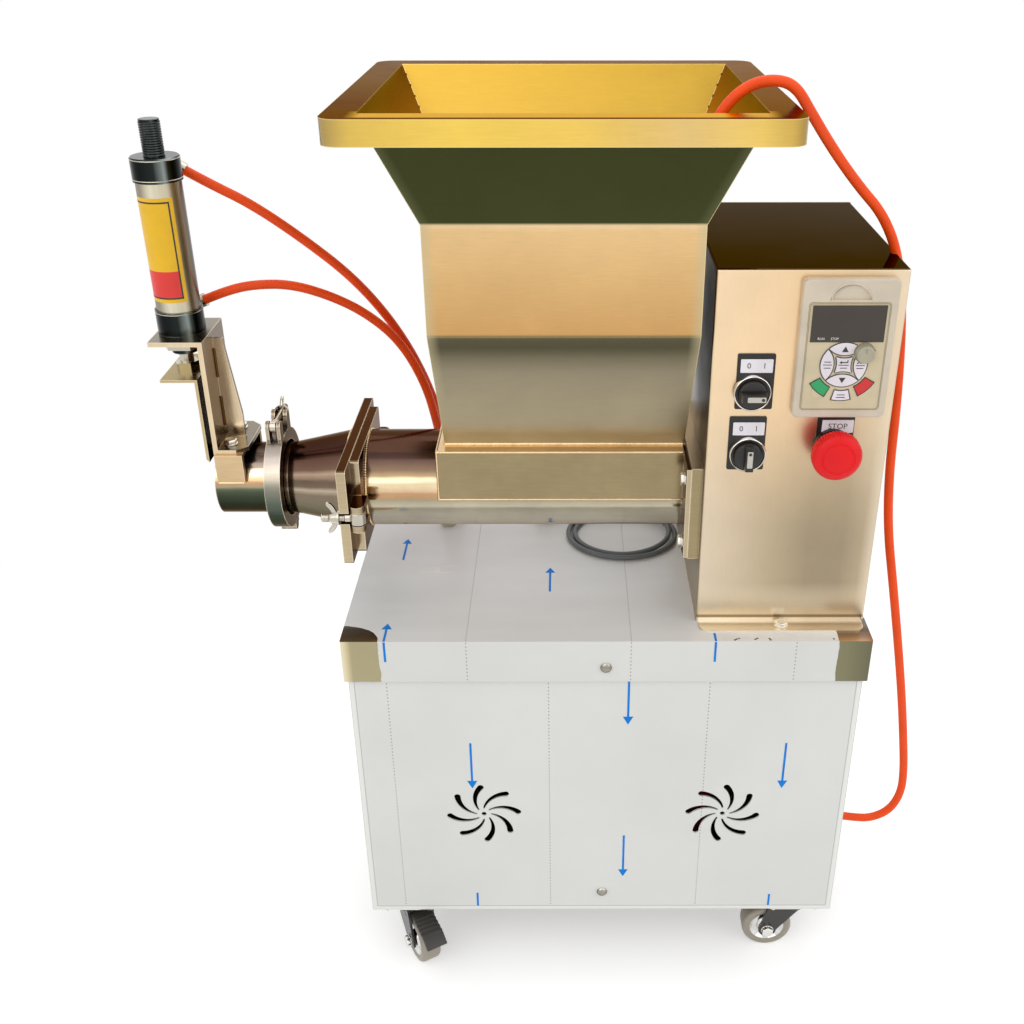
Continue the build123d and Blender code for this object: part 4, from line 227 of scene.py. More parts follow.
def lettering(words, height, thickness=0.1):
    """Plain letters, centred on the origin and standing on Z 0."""
    fresh()
    bpy.ops.object.text_add(location=ORIGIN)
    text = bpy.context.object.data
    text.body = words
    text.size = height * MM
    text.align_x = "CENTER"
    text.align_y = "CENTER"
    text.extrude = thickness / 2 * MM
    text.resolution_u = 3
    bpy.ops.object.convert(target="MESH")
    return mend(put(bpy.context.object, (0, 0, thickness / 2)))


def block(size, bevel, segments=3):
    """A box of a size in mm, standing on Z 0, with rounded edges."""
    fresh()
    bpy.ops.mesh.primitive_cube_add(size=MM, location=(0, 0, size[2] / 2 * MM), scale=size)
    obj = bake()
    bpy.ops.object.mode_set(mode="EDIT")
    bpy.ops.mesh.select_all(action="SELECT")
    bpy.ops.mesh.bevel(offset=bevel * MM, segments=segments, affect="EDGES")
    return mend(obj)


def hex_head(across, tall, washer=0.0):
    """Hexagon head on its seat, turned off at the top and crowned, with a washer of a radius under it."""
    fresh()
    bpy.ops.mesh.primitive_cylinder_add(vertices=6, radius=across / 2 / cos(pi / 6) * MM, depth=tall * MM,
                                        location=(0, 0, tall / 2 * MM))
    obj = bake()
    pick(obj, "FACE", lambda spot, way: way.z > 0.9)
    bpy.ops.mesh.inset(thickness=0.1 * across * MM)
    bpy.ops.transform.translate(value=(0, 0, 0.06 * across * MM))
    bpy.ops.mesh.inset(thickness=0.03 * across * MM)
    bpy.ops.transform.translate(value=(0, 0, -0.02 * across * MM))
    bpy.ops.mesh.select_all(action="SELECT")
    bpy.ops.mesh.bevel(offset=0.02 * across * MM, segments=2, affect="EDGES")
    mend(obj, 30)
    if washer:
        obj = join([obj, lathe([(washer - 0.2, 0), (washer, 0.2), (washer, 0.9), (washer - 0.3, 1.1)], 32)])
    return obj


def cut(obj, tool):
    """Cut one solid out of another and throw the tool away."""
    hold(obj)
    bpy.ops.object.modifier_add(type="BOOLEAN")
    change = obj.modifiers[-1]
    change.operation = "DIFFERENCE"
    change.solver = "EXACT"
    change.object = tool
    bpy.ops.object.modifier_apply(modifier=change.name)
    bpy.data.objects.remove(tool)
    return mend(obj)


def flute(obj, radius, segments, every, share):
    """Press flutes into a turned rim: of its points beyond a radius, one in so many moves in to a share."""
    pick(obj, "VERT", lambda spot: hypot(spot.x, spot.y) > radius
         and round(atan2(spot.y, spot.x) * segments / (2 * pi)) % every == 0)
    bpy.ops.transform.resize(value=(share, share, 1), center_override=ORIGIN)
    return mend(obj)


def sleeve(radius, thickness, low, high, start, end):
    """Part of a tube's wall about Z: a turned ring trimmed by two planes to the angles start to end."""
    outer = radius + thickness
    ring = lathe([(radius, low), (outer, low), (outer, high), (radius, high)], 96, True)
    hold(ring)
    bpy.ops.object.mode_set(mode="EDIT")
    for angle, way in ((radians(start), 1), (radians(end), -1)):
        bpy.ops.mesh.select_all(action="SELECT")
        bpy.ops.mesh.bisect(plane_co=ORIGIN, plane_no=(way * sin(angle), -way * cos(angle), 0), use_fill=True,
                            clear_outer=True)
    return mend(ring)


def threaded(radius, depth, low, high, pitch):
    """Profile of a screw thread from one height to another, with turned-off ends."""
    turns = int((high - low) / pitch)
    crests = [point for turn in range(turns) for point in
              ((radius, low + (turn + 0.25) * pitch), (radius - depth, low + (turn + 0.75) * pitch))]
    return [(radius - depth, low)] + crests + [(radius - depth, high - 0.4), (radius - depth - 0.6, high)]


def arc(radius, start, end, steps=12, centre=(0.0, 0.0)):
    """Points on an arc between two angles in degrees."""
    angles = [radians(start + (end - start) * step / steps) for step in range(steps + 1)]
    return [(centre[0] + radius * cos(angle), centre[1] + radius * sin(angle)) for angle in angles]


def rounded(width, height, radius):
    """Outline of a rectangle with round corners."""
    across, along = width / 2 - radius, height / 2 - radius
    corners = ((across, along, 0), (-across, along, 90), (-across, -along, 180), (across, -along, 270))
    return [point for x, y, start in corners for point in arc(radius, start, start + 90, 5, (x, y))]


def settle(obj, name, made, body, slot, *nodes):
    """Name a finished piece, give it its finish and body, and let it stand for CAD nodes."""
    obj.name = name
    obj.data.name = name
    obj.data.materials.clear()
    obj.data.materials.append(made)
    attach(obj, body)
    if nodes:
        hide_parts(*nodes)
    return obj


def dress(made, *nodes):
    """Give CAD nodes a finish."""
    for node in nodes:
        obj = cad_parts[node]
        if not obj.material_slots:
            obj.data.materials.append(made)
        for slot in obj.material_slots:
            slot.material = made


# Finishes

# Most of a noise lies between these values.
NOISE_SPAN = {"From Min": 0.3, "From Max": 0.7}
# Scales of polish lines that run along X or along Z
GRAIN_X, GRAIN_Z = (60, 700, 700), (700, 700, 60)
# Print on the film, in mm: the gap between its dotted lines, half their width, and the same for their dots
LINE_GAP, LINE_HALF, DOT_GAP, DOT_HALF = 142.5, 0.5, 3.8, 0.7
# Where tones end, in mm: half widths between the seams of the hopper, along which a highlight is painted,
# and the right of the lid's skirt
SEAM_HALF, SKIRT_END = {"X": 105.3, "Y": 93.0}, 296.0


def add_node(tree, kind, inputs=None, stops=None, **settings):
    """Add one node with its settings, its inputs and the stops of a ramp. An input is a value, a socket, or a
    node that stands for its first output in use. A Mix node mixes colours unless told otherwise."""
    node = tree.nodes.new("ShaderNode" + kind)
    if kind == "Mix":
        settings.setdefault("data_type", "RGBA")
    for key, value in settings.items():
        setattr(node, key, value)
    for socket, source in (inputs or {}).items():
        if isinstance(source, bpy.types.Node):
            source = next(out for out in source.outputs if out.enabled)
        if isinstance(source, bpy.types.NodeSocket):
            tree.links.new(source, node.inputs[socket])
        else:
            node.inputs[socket].default_value = source
    if stops:
        ramp = node.color_ramp
        while len(ramp.elements) < len(stops):
            ramp.elements.new(1.0)
        for element, (spot, colour) in zip(ramp.elements, stops):
            element.position = spot
            element.color = linear(colour)
    return node


def new_finish(name, **sockets):
    """A material, its nodes, its shader with its constant sockets set, and its texture coordinates."""
    made = bpy.data.materials.new(name)
    made.use_nodes = True
    tree = made.node_tree
    shader = tree.nodes["Principled BSDF"]
    for socket, value in sockets.items():
        shader.inputs[socket.replace("_", " ")].default_value = value
    return made, tree, shader, add_node(tree, "TexCoord").outputs


def feed(tree, shader, **sources):
    """Link nodes to sockets of the shader."""
    for socket, source in sources.items():
        output = next(out for out in source.outputs if out.enabled)
        tree.links.new(output, shader.inputs[socket.replace("_", " ")])


def finish(name, make, *values, **settings):
    """The finish of this name, made on its first use."""
    return bpy.data.materials.get(name) or make(name, *values, **settings)


def polish(tree, shader, place, tone, grain, rough, cloud=0.1, depth=0.05, edge="#F6E6CC", streaks=0.04):
    """Finish a metal: polish lines along the grain and hand smears over its tone, gloss and relief, and a
    painted highlight along its edges in the colour edge."""
    # Real polish lines are about 0.3 mm apart and are drawn several times as coarse, so that they show.
    lines_map = add_node(tree, "Mapping", {0: place["Object"], "Scale": grain})
    lines = add_node(tree, "TexNoise", {0: lines_map, "Scale": 1.0, "Detail": 3.0})
    # Hand smears are about 60 mm across.
    smears = add_node(tree, "TexNoise", {0: place["Object"], "Scale": 1 / 0.06, "Detail": 4.0,
                                         "Roughness": 0.6})
    streak = add_node(tree, "MapRange", {0: lines, **NOISE_SPAN, "To Min": 1 - streaks,
                                         "To Max": 1 + streaks})
    haze = add_node(tree, "MapRange", {0: smears, **NOISE_SPAN, "To Min": 1 - cloud, "To Max": 1 + cloud})
    both = add_node(tree, "Math", {0: streak, 1: haze}, operation="MULTIPLY")
    worked = add_node(tree, "VectorMath", {0: tone, 1: both}, operation="MULTIPLY")
    # Cut and folded edges get a painted highlight over about 1.4 mm.
    softened = add_node(tree, "Bevel", {"Radius": 0.0014}, samples=4)
    sharp = add_node(tree, "NewGeometry").outputs["Normal"]
    turned = add_node(tree, "VectorMath", {0: softened, 1: sharp}, operation="DOT_PRODUCT")
    edge_highlight = add_node(tree, "MapRange", {0: turned, "From Min": 0.99, "From Max": 0.8, "To Max": 0.85})
    colour = add_node(tree, "Mix", {0: edge_highlight, 6: worked, 7: linear(edge)})
    swing = add_node(tree, "MapRange", {0: smears, **NOISE_SPAN, "To Min": -0.05, "To Max": 0.05})
    gloss = add_node(tree, "Math", {0: swing, 1: rough}, operation="ADD")
    relief = add_node(tree, "Bump", {"Height": lines, "Strength": depth, "Distance": 0.0004})
    feed(tree, shader, Base_Color=colour, Roughness=gloss, Normal=relief)


def painted_facing_reflection(tree, place, front, side, top, under):
    """Painted reflection on a metal by where its faces look: what it mirrors at the front, the sides, above
    and below.
    """
    facing = add_node(tree, "SeparateXYZ", {0: place["Normal"]}).outputs
    raised = add_node(tree, "Math", {0: facing["Z"], 1: 0.0}, operation="GREATER_THAN")
    level = add_node(tree, "Mix", {0: raised, 6: linear(under), 7: linear(top)})
    frontal = add_node(tree, "Math", {0: facing["Y"], 1: facing["Y"]}, operation="MULTIPLY")
    flat = add_node(tree, "Math", {0: facing["Z"], 1: facing["Z"]}, operation="MULTIPLY")
    walls = add_node(tree, "Mix", {0: frontal, 6: linear(side), 7: linear(front)})
    return add_node(tree, "Mix", {0: flat, 6: walls, 7: level})


def folded_stainless(name, front, side, top, under, grain=GRAIN_X, rough=0.23):
    """Satin stainless sheet, cut and folded: even, with fine polish lines, a painted reflection by where its
    faces look and a painted highlight along its edges.
    """
    made, tree, shader, place = new_finish(name, Metallic=1.0)
    polish(tree, shader, place, painted_facing_reflection(tree, place, front, side, top, under), grain, rough)
    return made


def tube_stainless(name, stops, radius, front, side, top, under, rough=0.15):
    """Polished stainless tube about the barrel's axis with sheet plates beyond its radius. The tube's tone is
    a painted reflection of the room in bands, so the stops give it by its tilt: 0 looks down, 0.5 is upright,
    1 looks up. The plates carry a painted reflection by where their faces look."""
    made, tree, shader, place = new_finish(name, Metallic=1.0, Specular_Tint=linear("#CFC2B8"))
    facing = add_node(tree, "SeparateXYZ", {0: place["Normal"]}).outputs
    tilt = add_node(tree, "MapRange", {0: facing["Z"], "From Min": -1.0})
    # The painted bands waver a little, as the tube isn't perfectly true.
    waver = add_node(tree, "TexNoise", {0: place["Object"], "Scale": 30.0, "Detail": 2.0})
    swing = add_node(tree, "MapRange", {0: waver, "To Min": -0.02, "To Max": 0.02})
    band = add_node(tree, "Math", {0: tilt, 1: swing}, operation="ADD")
    tube = add_node(tree, "ValToRGB", {0: band}, stops)
    axis = (0, AXIS_Y * MM, AXIS_Z * MM)
    away = add_node(tree, "VectorMath", {0: place["Object"], 1: axis}, operation="SUBTRACT")
    across = add_node(tree, "VectorMath", {0: away, 1: (0, 1, 1)}, operation="MULTIPLY")
    reach = add_node(tree, "VectorMath", {0: across}, operation="LENGTH")
    far = add_node(tree, "Math", {0: reach, 1: radius * MM}, operation="GREATER_THAN")
    sideways = add_node(tree, "Math", {0: facing["X"]}, operation="ABSOLUTE")
    end = add_node(tree, "Math", {0: sideways, 1: 0.8}, operation="GREATER_THAN")
    beyond = add_node(tree, "Math", {0: far, 1: end}, operation="MAXIMUM")
    sheet = painted_facing_reflection(tree, place, front, side, top, under)
    tone = add_node(tree, "Mix", {0: beyond, 6: tube, 7: sheet})
    polish(tree, shader, place, tone, GRAIN_X, rough, 0.12)
    return made


def round_metal(name, stops, rough, edge):
    """Metal of an upright round piece, its tone a painted reflection of the room in upright bands: the stops
    give its tone from the side that looks left to the side that looks right. Its edges get a painted
    highlight."""
    made, tree, shader, place = new_finish(name, Metallic=1.0)
    facing = add_node(tree, "SeparateXYZ", {0: place["Normal"]}).outputs
    turn = add_node(tree, "MapRange", {0: facing["X"], "From Min": -1.0})
    tone = add_node(tree, "ValToRGB", {0: turn}, stops)
    polish(tree, shader, place, tone, GRAIN_Z, rough, 0.06, 0.03, edge)
    return made


def hopper_stainless(name):
    """Polished stainless of the hopper, its tone a painted reflection of a warm room: gold inside the mouth,
    dark brown on the flat of the rim, dark green under the flare, peach on the straight wall and grey on the
    neck, with a painted shadow at the neck's top under the wall."""
    made, tree, shader, place = new_finish(name, Metallic=1.0)
    middle = add_node(tree, "VectorMath", {0: place["Object"], 1: (HOPPER_X * MM, AXIS_Y * MM, 0)},
                      operation="SUBTRACT")
    spot = add_node(tree, "SeparateXYZ", {0: middle}).outputs
    widths = {axis: add_node(tree, "Math", {0: spot[axis]}, operation="ABSOLUTE") for axis in ("X", "Y")}
    facing = add_node(tree, "SeparateXYZ", {0: place["Normal"]}).outputs
    frontal = add_node(tree, "Math", {0: facing["Y"], 1: facing["Y"]}, operation="MULTIPLY")
    # The stops run from the foot of the neck to the rim.
    level = add_node(tree, "MapRange", {0: spot["Z"], "From Min": 0.530, "From Max": 0.830})
    front = add_node(tree, "ValToRGB", {0: level}, [
        (0.0, "#DCD4C0"), (0.06, "#DCDCD0"), (0.085, "#D6CCB0"), (0.2, "#C2B79A"), (0.31, "#A49B84"),
        (0.365, "#746F59"), (0.395, "#343825"), (0.425, "#181C10"), (0.43, "#6E6440"), (0.4367, "#D2A468"),
        (0.567, "#DDB47A"), (0.70, "#EAC48C"), (0.715, "#EFD0A0"), (0.722, "#2B3016"), (0.833, "#292E14"),
        (0.93, "#272C13")])
    side = add_node(tree, "ValToRGB", {0: level}, [
        (0.0, "#8A7C62"), (0.35, "#8A7C62"), (0.42, "#6E6450"), (0.44, "#A88A5E"), (0.71, "#BFA070"),
        (0.722, "#66663E"), (0.93, "#606038")])
    outside = add_node(tree, "Mix", {0: frontal, 6: side, 7: front})
    # Along the seams at the corners a paler band about 7 mm wide is a painted highlight of the rounded
    # corners.
    spread = add_node(tree, "MapRange", {0: spot["Z"], "From Min": HOPPER_SHOULDER * MM,
                                         "From Max": HOPPER_TOP * MM, "To Max": FLARE * MM})
    bands = {}
    for axis, half in SEAM_HALF.items():
        inset = add_node(tree, "Math", {0: widths[axis], 1: spread}, operation="SUBTRACT")
        bands[axis] = add_node(tree, "MapRange", {0: inset, "From Min": (half - 9) * MM,
                                                  "From Max": (half - 2) * MM, "To Max": 0.55})
    band = add_node(tree, "Mix", {0: frontal, 2: bands["Y"], 3: bands["X"]}, data_type="FLOAT")
    corner_highlight = add_node(tree, "ValToRGB", {0: level}, [
        (0.0, "#C9BE98"), (0.715, "#C9BE98"), (0.722, "#5C5E42"), (1.0, "#5C5E42")])
    seamed = add_node(tree, "Mix", {0: band, 6: outside, 7: corner_highlight})
    deep = add_node(tree, "ValToRGB", {0: level}, [
        (0.0, "#6A5834"), (0.45, "#A08644"), (0.75, "#C49C44"), (1.0, "#D4AA42")])
    # Inside, the mouth has a painted gold reflection, which on the side walls darkens towards the rim.
    brink = add_node(tree, "MapRange", {0: level, "From Min": 0.86, "To Min": 0.9, "To Max": 0.16})
    shaded = add_node(tree, "MapRange", {0: frontal, "To Min": brink})
    inside = add_node(tree, "VectorMath", {0: deep, 1: shaded}, operation="MULTIPLY")
    outward = add_node(tree, "VectorMath", {0: middle, 1: (1, 1, 0)}, operation="MULTIPLY")
    turned = add_node(tree, "VectorMath", {0: outward, 1: place["Normal"]}, operation="DOT_PRODUCT")
    inner = add_node(tree, "Math", {0: turned, 1: -0.004}, operation="LESS_THAN")
    shell = add_node(tree, "Mix", {0: inner, 6: seamed, 7: inside})
    # The folded rim has a painted reflection: gold on its skirt, paling to the right, and dark on its flat.
    along = add_node(tree, "MapRange", {0: spot["X"], "From Min": -RIM_HALF_X * MM,
                                        "From Max": RIM_HALF_X * MM})
    skirt = add_node(tree, "ValToRGB", {0: along}, [
        (0.0, "#A08A5E"), (0.07, "#E6C260"), (0.3, "#FAD562"), (0.55, "#F4CD66"), (0.75, "#E6C47E"),
        (0.9, "#F0CC6C"), (0.96, "#DCB85E"), (1.0, "#9C7E48")])
    brown = add_node(tree, "ValToRGB", {0: along}, [
        (0.0, "#5E4719"), (0.25, "#6E5220"), (0.6, "#8A6C30"), (1.0, "#93763C")])
    past = [add_node(tree, "Math", {0: widths[axis], 1: half * MM}, operation="SUBTRACT")
            for axis, half in RIM_INNER.items()]
    outer = add_node(tree, "Math", {0: past[0], 1: past[1]}, operation="MAXIMUM")
    on_rim = add_node(tree, "Math", {0: outer, 1: 0.0}, operation="GREATER_THAN")
    rimmed = add_node(tree, "Mix", {0: on_rim, 6: shell, 7: skirt})
    up = add_node(tree, "Math", {0: facing["Z"], 1: 0.85}, operation="GREATER_THAN")
    # Along the front, the inner part of the flat has a painted reflection of the gold back wall.
    front_edge = add_node(tree, "MapRange", {0: spot["Y"], "From Min": -0.146, "From Max": -0.143})
    ahead = add_node(tree, "Math", {0: spot["Y"], 1: -0.120}, operation="LESS_THAN")
    between = add_node(tree, "MapRange", {0: widths["X"], "From Min": 0.146, "From Max": 0.136})
    strip = add_node(tree, "Math", {0: ahead, 1: between}, operation="MULTIPLY")
    lit = add_node(tree, "Math", {0: strip, 1: front_edge}, operation="MULTIPLY")
    flat = add_node(tree, "Mix", {0: lit, 6: brown, 7: linear("#EFC24A")})
    tone = add_node(tree, "Mix", {0: up, 6: rimmed, 7: flat})
    # The flat of the rim and the mouth's walls are seen along their faces: their reflections are tinted down,
    # a painted reflection of a dark room.
    mouth = add_node(tree, "Mix", {0: inner, 6: (1, 1, 1, 1), 7: linear("#CDB488")})
    brim = add_node(tree, "Mix", {0: lit, 6: linear("#A87C3E"), 7: linear("#EBC97A")})
    dim = add_node(tree, "Mix", {0: up, 6: mouth, 7: brim})
    feed(tree, shader, Specular_Tint=dim)
    # The neck and the inside are duller than the straight wall.
    dull = add_node(tree, "MapRange", {0: level, "From Min": 0.44, "From Max": 0.42, "To Min": 0.16,
                                       "To Max": 0.42})
    matt = add_node(tree, "Math", {0: inner, 1: 0.3}, operation="MULTIPLY")
    rough = add_node(tree, "Math", {0: dull, 1: matt}, operation="MAXIMUM")
    polish(tree, shader, place, tone, (60, 60, 900), rough, 0.06, 0.03, "#FBE7B0", 0.025)
    return made


def box_stainless(name):
    """Bright stainless of the control box, its tone a painted reflection: the front takes the lit room, paler
    at its top and left, and the top and the left side take the dark under the hopper."""
    made, tree, shader, place = new_finish(name, Metallic=1.0)
    spot = add_node(tree, "SeparateXYZ", {0: place["Object"]}).outputs
    facing = add_node(tree, "SeparateXYZ", {0: place["Normal"]}).outputs
    across = add_node(tree, "MapRange", {0: spot["X"], "From Min": BOX_LEFT * MM, "From Max": BOX_RIGHT * MM})
    low = add_node(tree, "ValToRGB", {0: across}, [
        (0.0, "#DCCBB2"), (0.2, "#CFBDA2"), (0.42, "#BBA98C"), (0.62, "#A4947A"), (0.82, "#A4947A"),
        (0.93, "#B8A68A"), (1.0, "#E2D2B8")])
    high = add_node(tree, "ValToRGB", {0: across}, [
        (0.0, "#F9DDB6"), (0.4, "#F6D5AA"), (0.8, "#E4C8A2"), (1.0, "#F0DCBE")])
    rise = add_node(tree, "MapRange", {0: spot["Z"], "From Min": 0.47, "From Max": 0.63},
                    interpolation_type="SMOOTHSTEP")
    wall = add_node(tree, "Mix", {0: rise, 6: low, 7: high})
    # Over 40 mm above the deck the front has a painted reflection of the pale film, above a painted highlight
    # on the fold with a dark line.
    foot = add_node(tree, "MapRange", {0: spot["Z"], "From Min": DECK_Z * MM, "From Max": (DECK_Z + 40) * MM})
    fold = add_node(tree, "ValToRGB", {0: foot}, [
        (0.0, "#FFF6E6"), (0.1, "#FFF4E2"), (0.12, "#A08C70"), (0.17, "#A08C70"), (0.2, "#E6D4B6")])
    pale = add_node(tree, "MapRange", {0: foot, "From Min": 0.18, "To Min": 1.0, "To Max": 0.0})
    front = add_node(tree, "Mix", {0: pale, 6: wall, 7: fold})
    left = add_node(tree, "MapRange", {0: spot["Z"], "From Min": 0.43, "From Max": 0.60})
    shade = add_node(tree, "ValToRGB", {0: left}, [(0.0, "#A8977A"), (0.5, "#6E5F4A"), (1.0, "#2C241A")])
    to_left = add_node(tree, "Math", {0: facing["X"], 1: 0.0}, operation="LESS_THAN")
    flank = add_node(tree, "Mix", {0: to_left, 6: linear("#C4B294"), 7: shade})
    frontal = add_node(tree, "Math", {0: facing["Y"], 1: facing["Y"]}, operation="MULTIPLY")
    walls = add_node(tree, "Mix", {0: frontal, 6: flank, 7: front})
    # The lid of the box has a painted dark reflection, its reflections tinted down, and the foot's flange a
    # painted warm one.
    lid = add_node(tree, "MapRange", {0: spot["Z"], "From Min": 0.50, "From Max": 0.55})
    flange = add_node(tree, "ValToRGB", {0: across}, [
        (0.0, "#FBF0DC"), (0.4, "#F0E2CA"), (0.7, "#DCCCB4"), (1.0, "#CFBEA6")])
    level = add_node(tree, "Mix", {0: lid, 6: flange, 7: linear("#41331F")})
    up = add_node(tree, "Math", {0: facing["Z"], 1: 0.6}, operation="GREATER_THAN")
    tone = add_node(tree, "Mix", {0: up, 6: walls, 7: level})
    dark = add_node(tree, "Math", {0: up, 1: lid}, operation="MULTIPLY")
    dim = add_node(tree, "Mix", {0: dark, 6: (1, 1, 1, 1), 7: linear("#ACA6A0")})
    feed(tree, shader, Specular_Tint=dim)
    rough = add_node(tree, "MapRange", {0: dark, "To Min": 0.32, "To Max": 0.1})
    polish(tree, shader, place, tone, (900, 900, 60), rough, 0.05, 0.0, "#FFF2DC", 0.012)
    return made


def film_tone(tree, place, spot, facing, first_line, upright, level):
    """Tone of a pale milky film on sheet steel, with dotted print lines, and the relief of its ripples."""
    # Upright and level faces get their own colours: painted light and shade on the film.
    up = add_node(tree, "Math", {0: facing["Z"], 1: 0.5}, operation="GREATER_THAN")
    sheet = add_node(tree, "Mix", {0: up, 6: linear(upright), 7: linear(level)})
    # Long soft ripples, about 120 mm by 30 mm, where the film has lifted.
    ripple_map = add_node(tree, "Mapping", {0: place["Object"], "Scale": (8, 30, 8)})
    ripple = add_node(tree, "TexNoise", {0: ripple_map, "Scale": 1.0, "Detail": 3.0})
    haze = add_node(tree, "MapRange", {0: ripple, **NOISE_SPAN, "To Min": 0.96, "To Max": 1.03})
    film = add_node(tree, "VectorMath", {0: sheet, 1: haze}, operation="MULTIPLY")
    start = add_node(tree, "Math", {0: spot["X"], 1: first_line * MM}, operation="SUBTRACT")
    off = add_node(tree, "Math", {0: start, 1: LINE_GAP / 2 * MM}, operation="PINGPONG")
    line = add_node(tree, "Math", {0: off, 1: LINE_HALF * MM}, operation="LESS_THAN")
    along = add_node(tree, "Math", {0: spot["Y"], 1: spot["Z"]}, operation="ADD")
    beat = add_node(tree, "Math", {0: along, 1: DOT_GAP / 2 * MM}, operation="PINGPONG")
    dot = add_node(tree, "Math", {0: beat, 1: DOT_HALF * MM}, operation="LESS_THAN")
    dots = add_node(tree, "Math", {0: line, 1: dot}, operation="MULTIPLY")
    printed = add_node(tree, "Mix", {0: dots, 6: film, 7: linear("#9C9D9B")})
    relief = add_node(tree, "Bump", {"Height": ripple, "Strength": 0.1, "Distance": 0.002})
    return printed, relief


def filmed_deck(name, first_line, upright, level):
    """Stainless lid under film, soft in its gloss, with the film torn back from the front corners."""
    made, tree, shader, place = new_finish(name)
    spot = add_node(tree, "SeparateXYZ", {0: place["Object"]}).outputs
    facing = add_node(tree, "SeparateXYZ", {0: place["Normal"]}).outputs
    printed, relief = film_tone(tree, place, spot, facing, first_line, upright, level)
    # The film stops about 33 mm short of the left corner, in a rough curve.
    corner = add_node(tree, "VectorMath", {0: place["Object"], 1: (LID_LEFT * MM, SKIRT_FACE * MM, 0)},
                      operation="SUBTRACT")
    corner_flat = add_node(tree, "VectorMath", {0: corner, 1: (1, 1.35, 0)}, operation="MULTIPLY")
    reach = add_node(tree, "VectorMath", {0: corner_flat}, operation="LENGTH")
    ragged = add_node(tree, "TexNoise", {0: place["Object"], "Scale": 60.0, "Detail": 3.0})
    edge = add_node(tree, "MapRange", {0: ragged, "To Min": 0.030, "To Max": 0.036})
    left = add_node(tree, "Math", {0: reach, 1: edge}, operation="LESS_THAN")
    # At the right it stops short of the side, as far back as the box.
    right_edge = add_node(tree, "MapRange", {0: ragged, "To Min": (FILM_RIGHT - 2) * MM,
                                             "To Max": (FILM_RIGHT + 2) * MM})
    right = add_node(tree, "Math", {0: spot["X"], 1: right_edge}, operation="GREATER_THAN")
    near = add_node(tree, "Math", {0: spot["Y"], 1: FILM_TORN_Y * MM}, operation="LESS_THAN")
    right_front = add_node(tree, "Math", {0: right, 1: near}, operation="MULTIPLY")
    bare = add_node(tree, "Math", {0: left, 1: right_front}, operation="MAXIMUM")
    # Where the film is torn back, the bare steel has a painted reflection: by the place across on its upright
    # faces and by the distance back on its level face.
    across = add_node(tree, "MapRange", {0: spot["X"], "From Min": LID_LEFT * MM, "From Max": SKIRT_END * MM})
    wall = add_node(tree, "ValToRGB", {0: across}, [
        (0.0, "#E8DCC0"), (0.012, "#C9BC98"), (0.02, "#A79E7E"), (0.5, "#9A9274"), (0.95, "#827E63"),
        (1.0, "#6E6B55")])
    back = add_node(tree, "MapRange", {0: spot["Y"], "From Min": SKIRT_FACE * MM, "From Max": -0.095})
    flat = add_node(tree, "ValToRGB", {0: back}, [
        (0.0, "#C9A582"), (0.3, "#94795E"), (0.7, "#6B5B4C"), (1.0, "#7F766C")])
    up = add_node(tree, "Math", {0: facing["Z"], 1: 0.5}, operation="GREATER_THAN")
    steel = add_node(tree, "Mix", {0: up, 6: wall, 7: flat})
    whole = add_node(tree, "Mix", {0: bare, 6: printed, 7: steel})
    gloss = add_node(tree, "MapRange", {0: bare, "To Min": 0.36, "To Max": 0.2})
    feed(tree, shader, Base_Color=whole, Metallic=bare, Roughness=gloss, Normal=relief)
    return made


def filmed_panel(name, first_line, upright, level):
    """Stainless panel under film, soft in its gloss. The film ends 5.5 mm inside the panel's edges, where a
    grey line of glue borders the bright steel."""
    made, tree, shader, place = new_finish(name)
    spot = add_node(tree, "SeparateXYZ", {0: place["Object"]}).outputs
    facing = add_node(tree, "SeparateXYZ", {0: place["Normal"]}).outputs
    printed, relief = film_tone(tree, place, spot, facing, first_line, upright, level)
    left, right, low = [add_node(tree, "Math", ends, operation="SUBTRACT")
                        for ends in ({0: spot["X"], 1: PANEL_LEFT * MM}, {0: PANEL_RIGHT * MM, 1: spot["X"]},
                                     {0: spot["Z"], 1: PANEL_FOOT * MM})]
    sides = add_node(tree, "Math", {0: left, 1: right}, operation="MINIMUM")
    margin = add_node(tree, "Math", {0: sides, 1: low}, operation="MINIMUM")
    border = add_node(tree, "MapRange", {0: margin, "From Max": 0.008})
    strip = add_node(tree, "ValToRGB", {0: border}, [
        (0.0, "#C9CABF"), (0.1, "#F4F4F0"), (0.52, "#F1F1ED"), (0.6, "#BDBEB8"), (0.68, "#DADBD6")])
    edge = add_node(tree, "Math", {0: margin, 1: 0.0055}, operation="LESS_THAN")
    frontal = add_node(tree, "Math", {0: facing["Y"], 1: -0.5}, operation="LESS_THAN")
    trimmed = add_node(tree, "Math", {0: edge, 1: frontal}, operation="MULTIPLY")
    whole = add_node(tree, "Mix", {0: trimmed, 6: printed, 7: strip})
    gloss = add_node(tree, "MapRange", {0: trimmed, "To Min": 0.36, "To Max": 0.24})
    feed(tree, shader, Base_Color=whole, Roughness=gloss, Normal=relief)
    return made


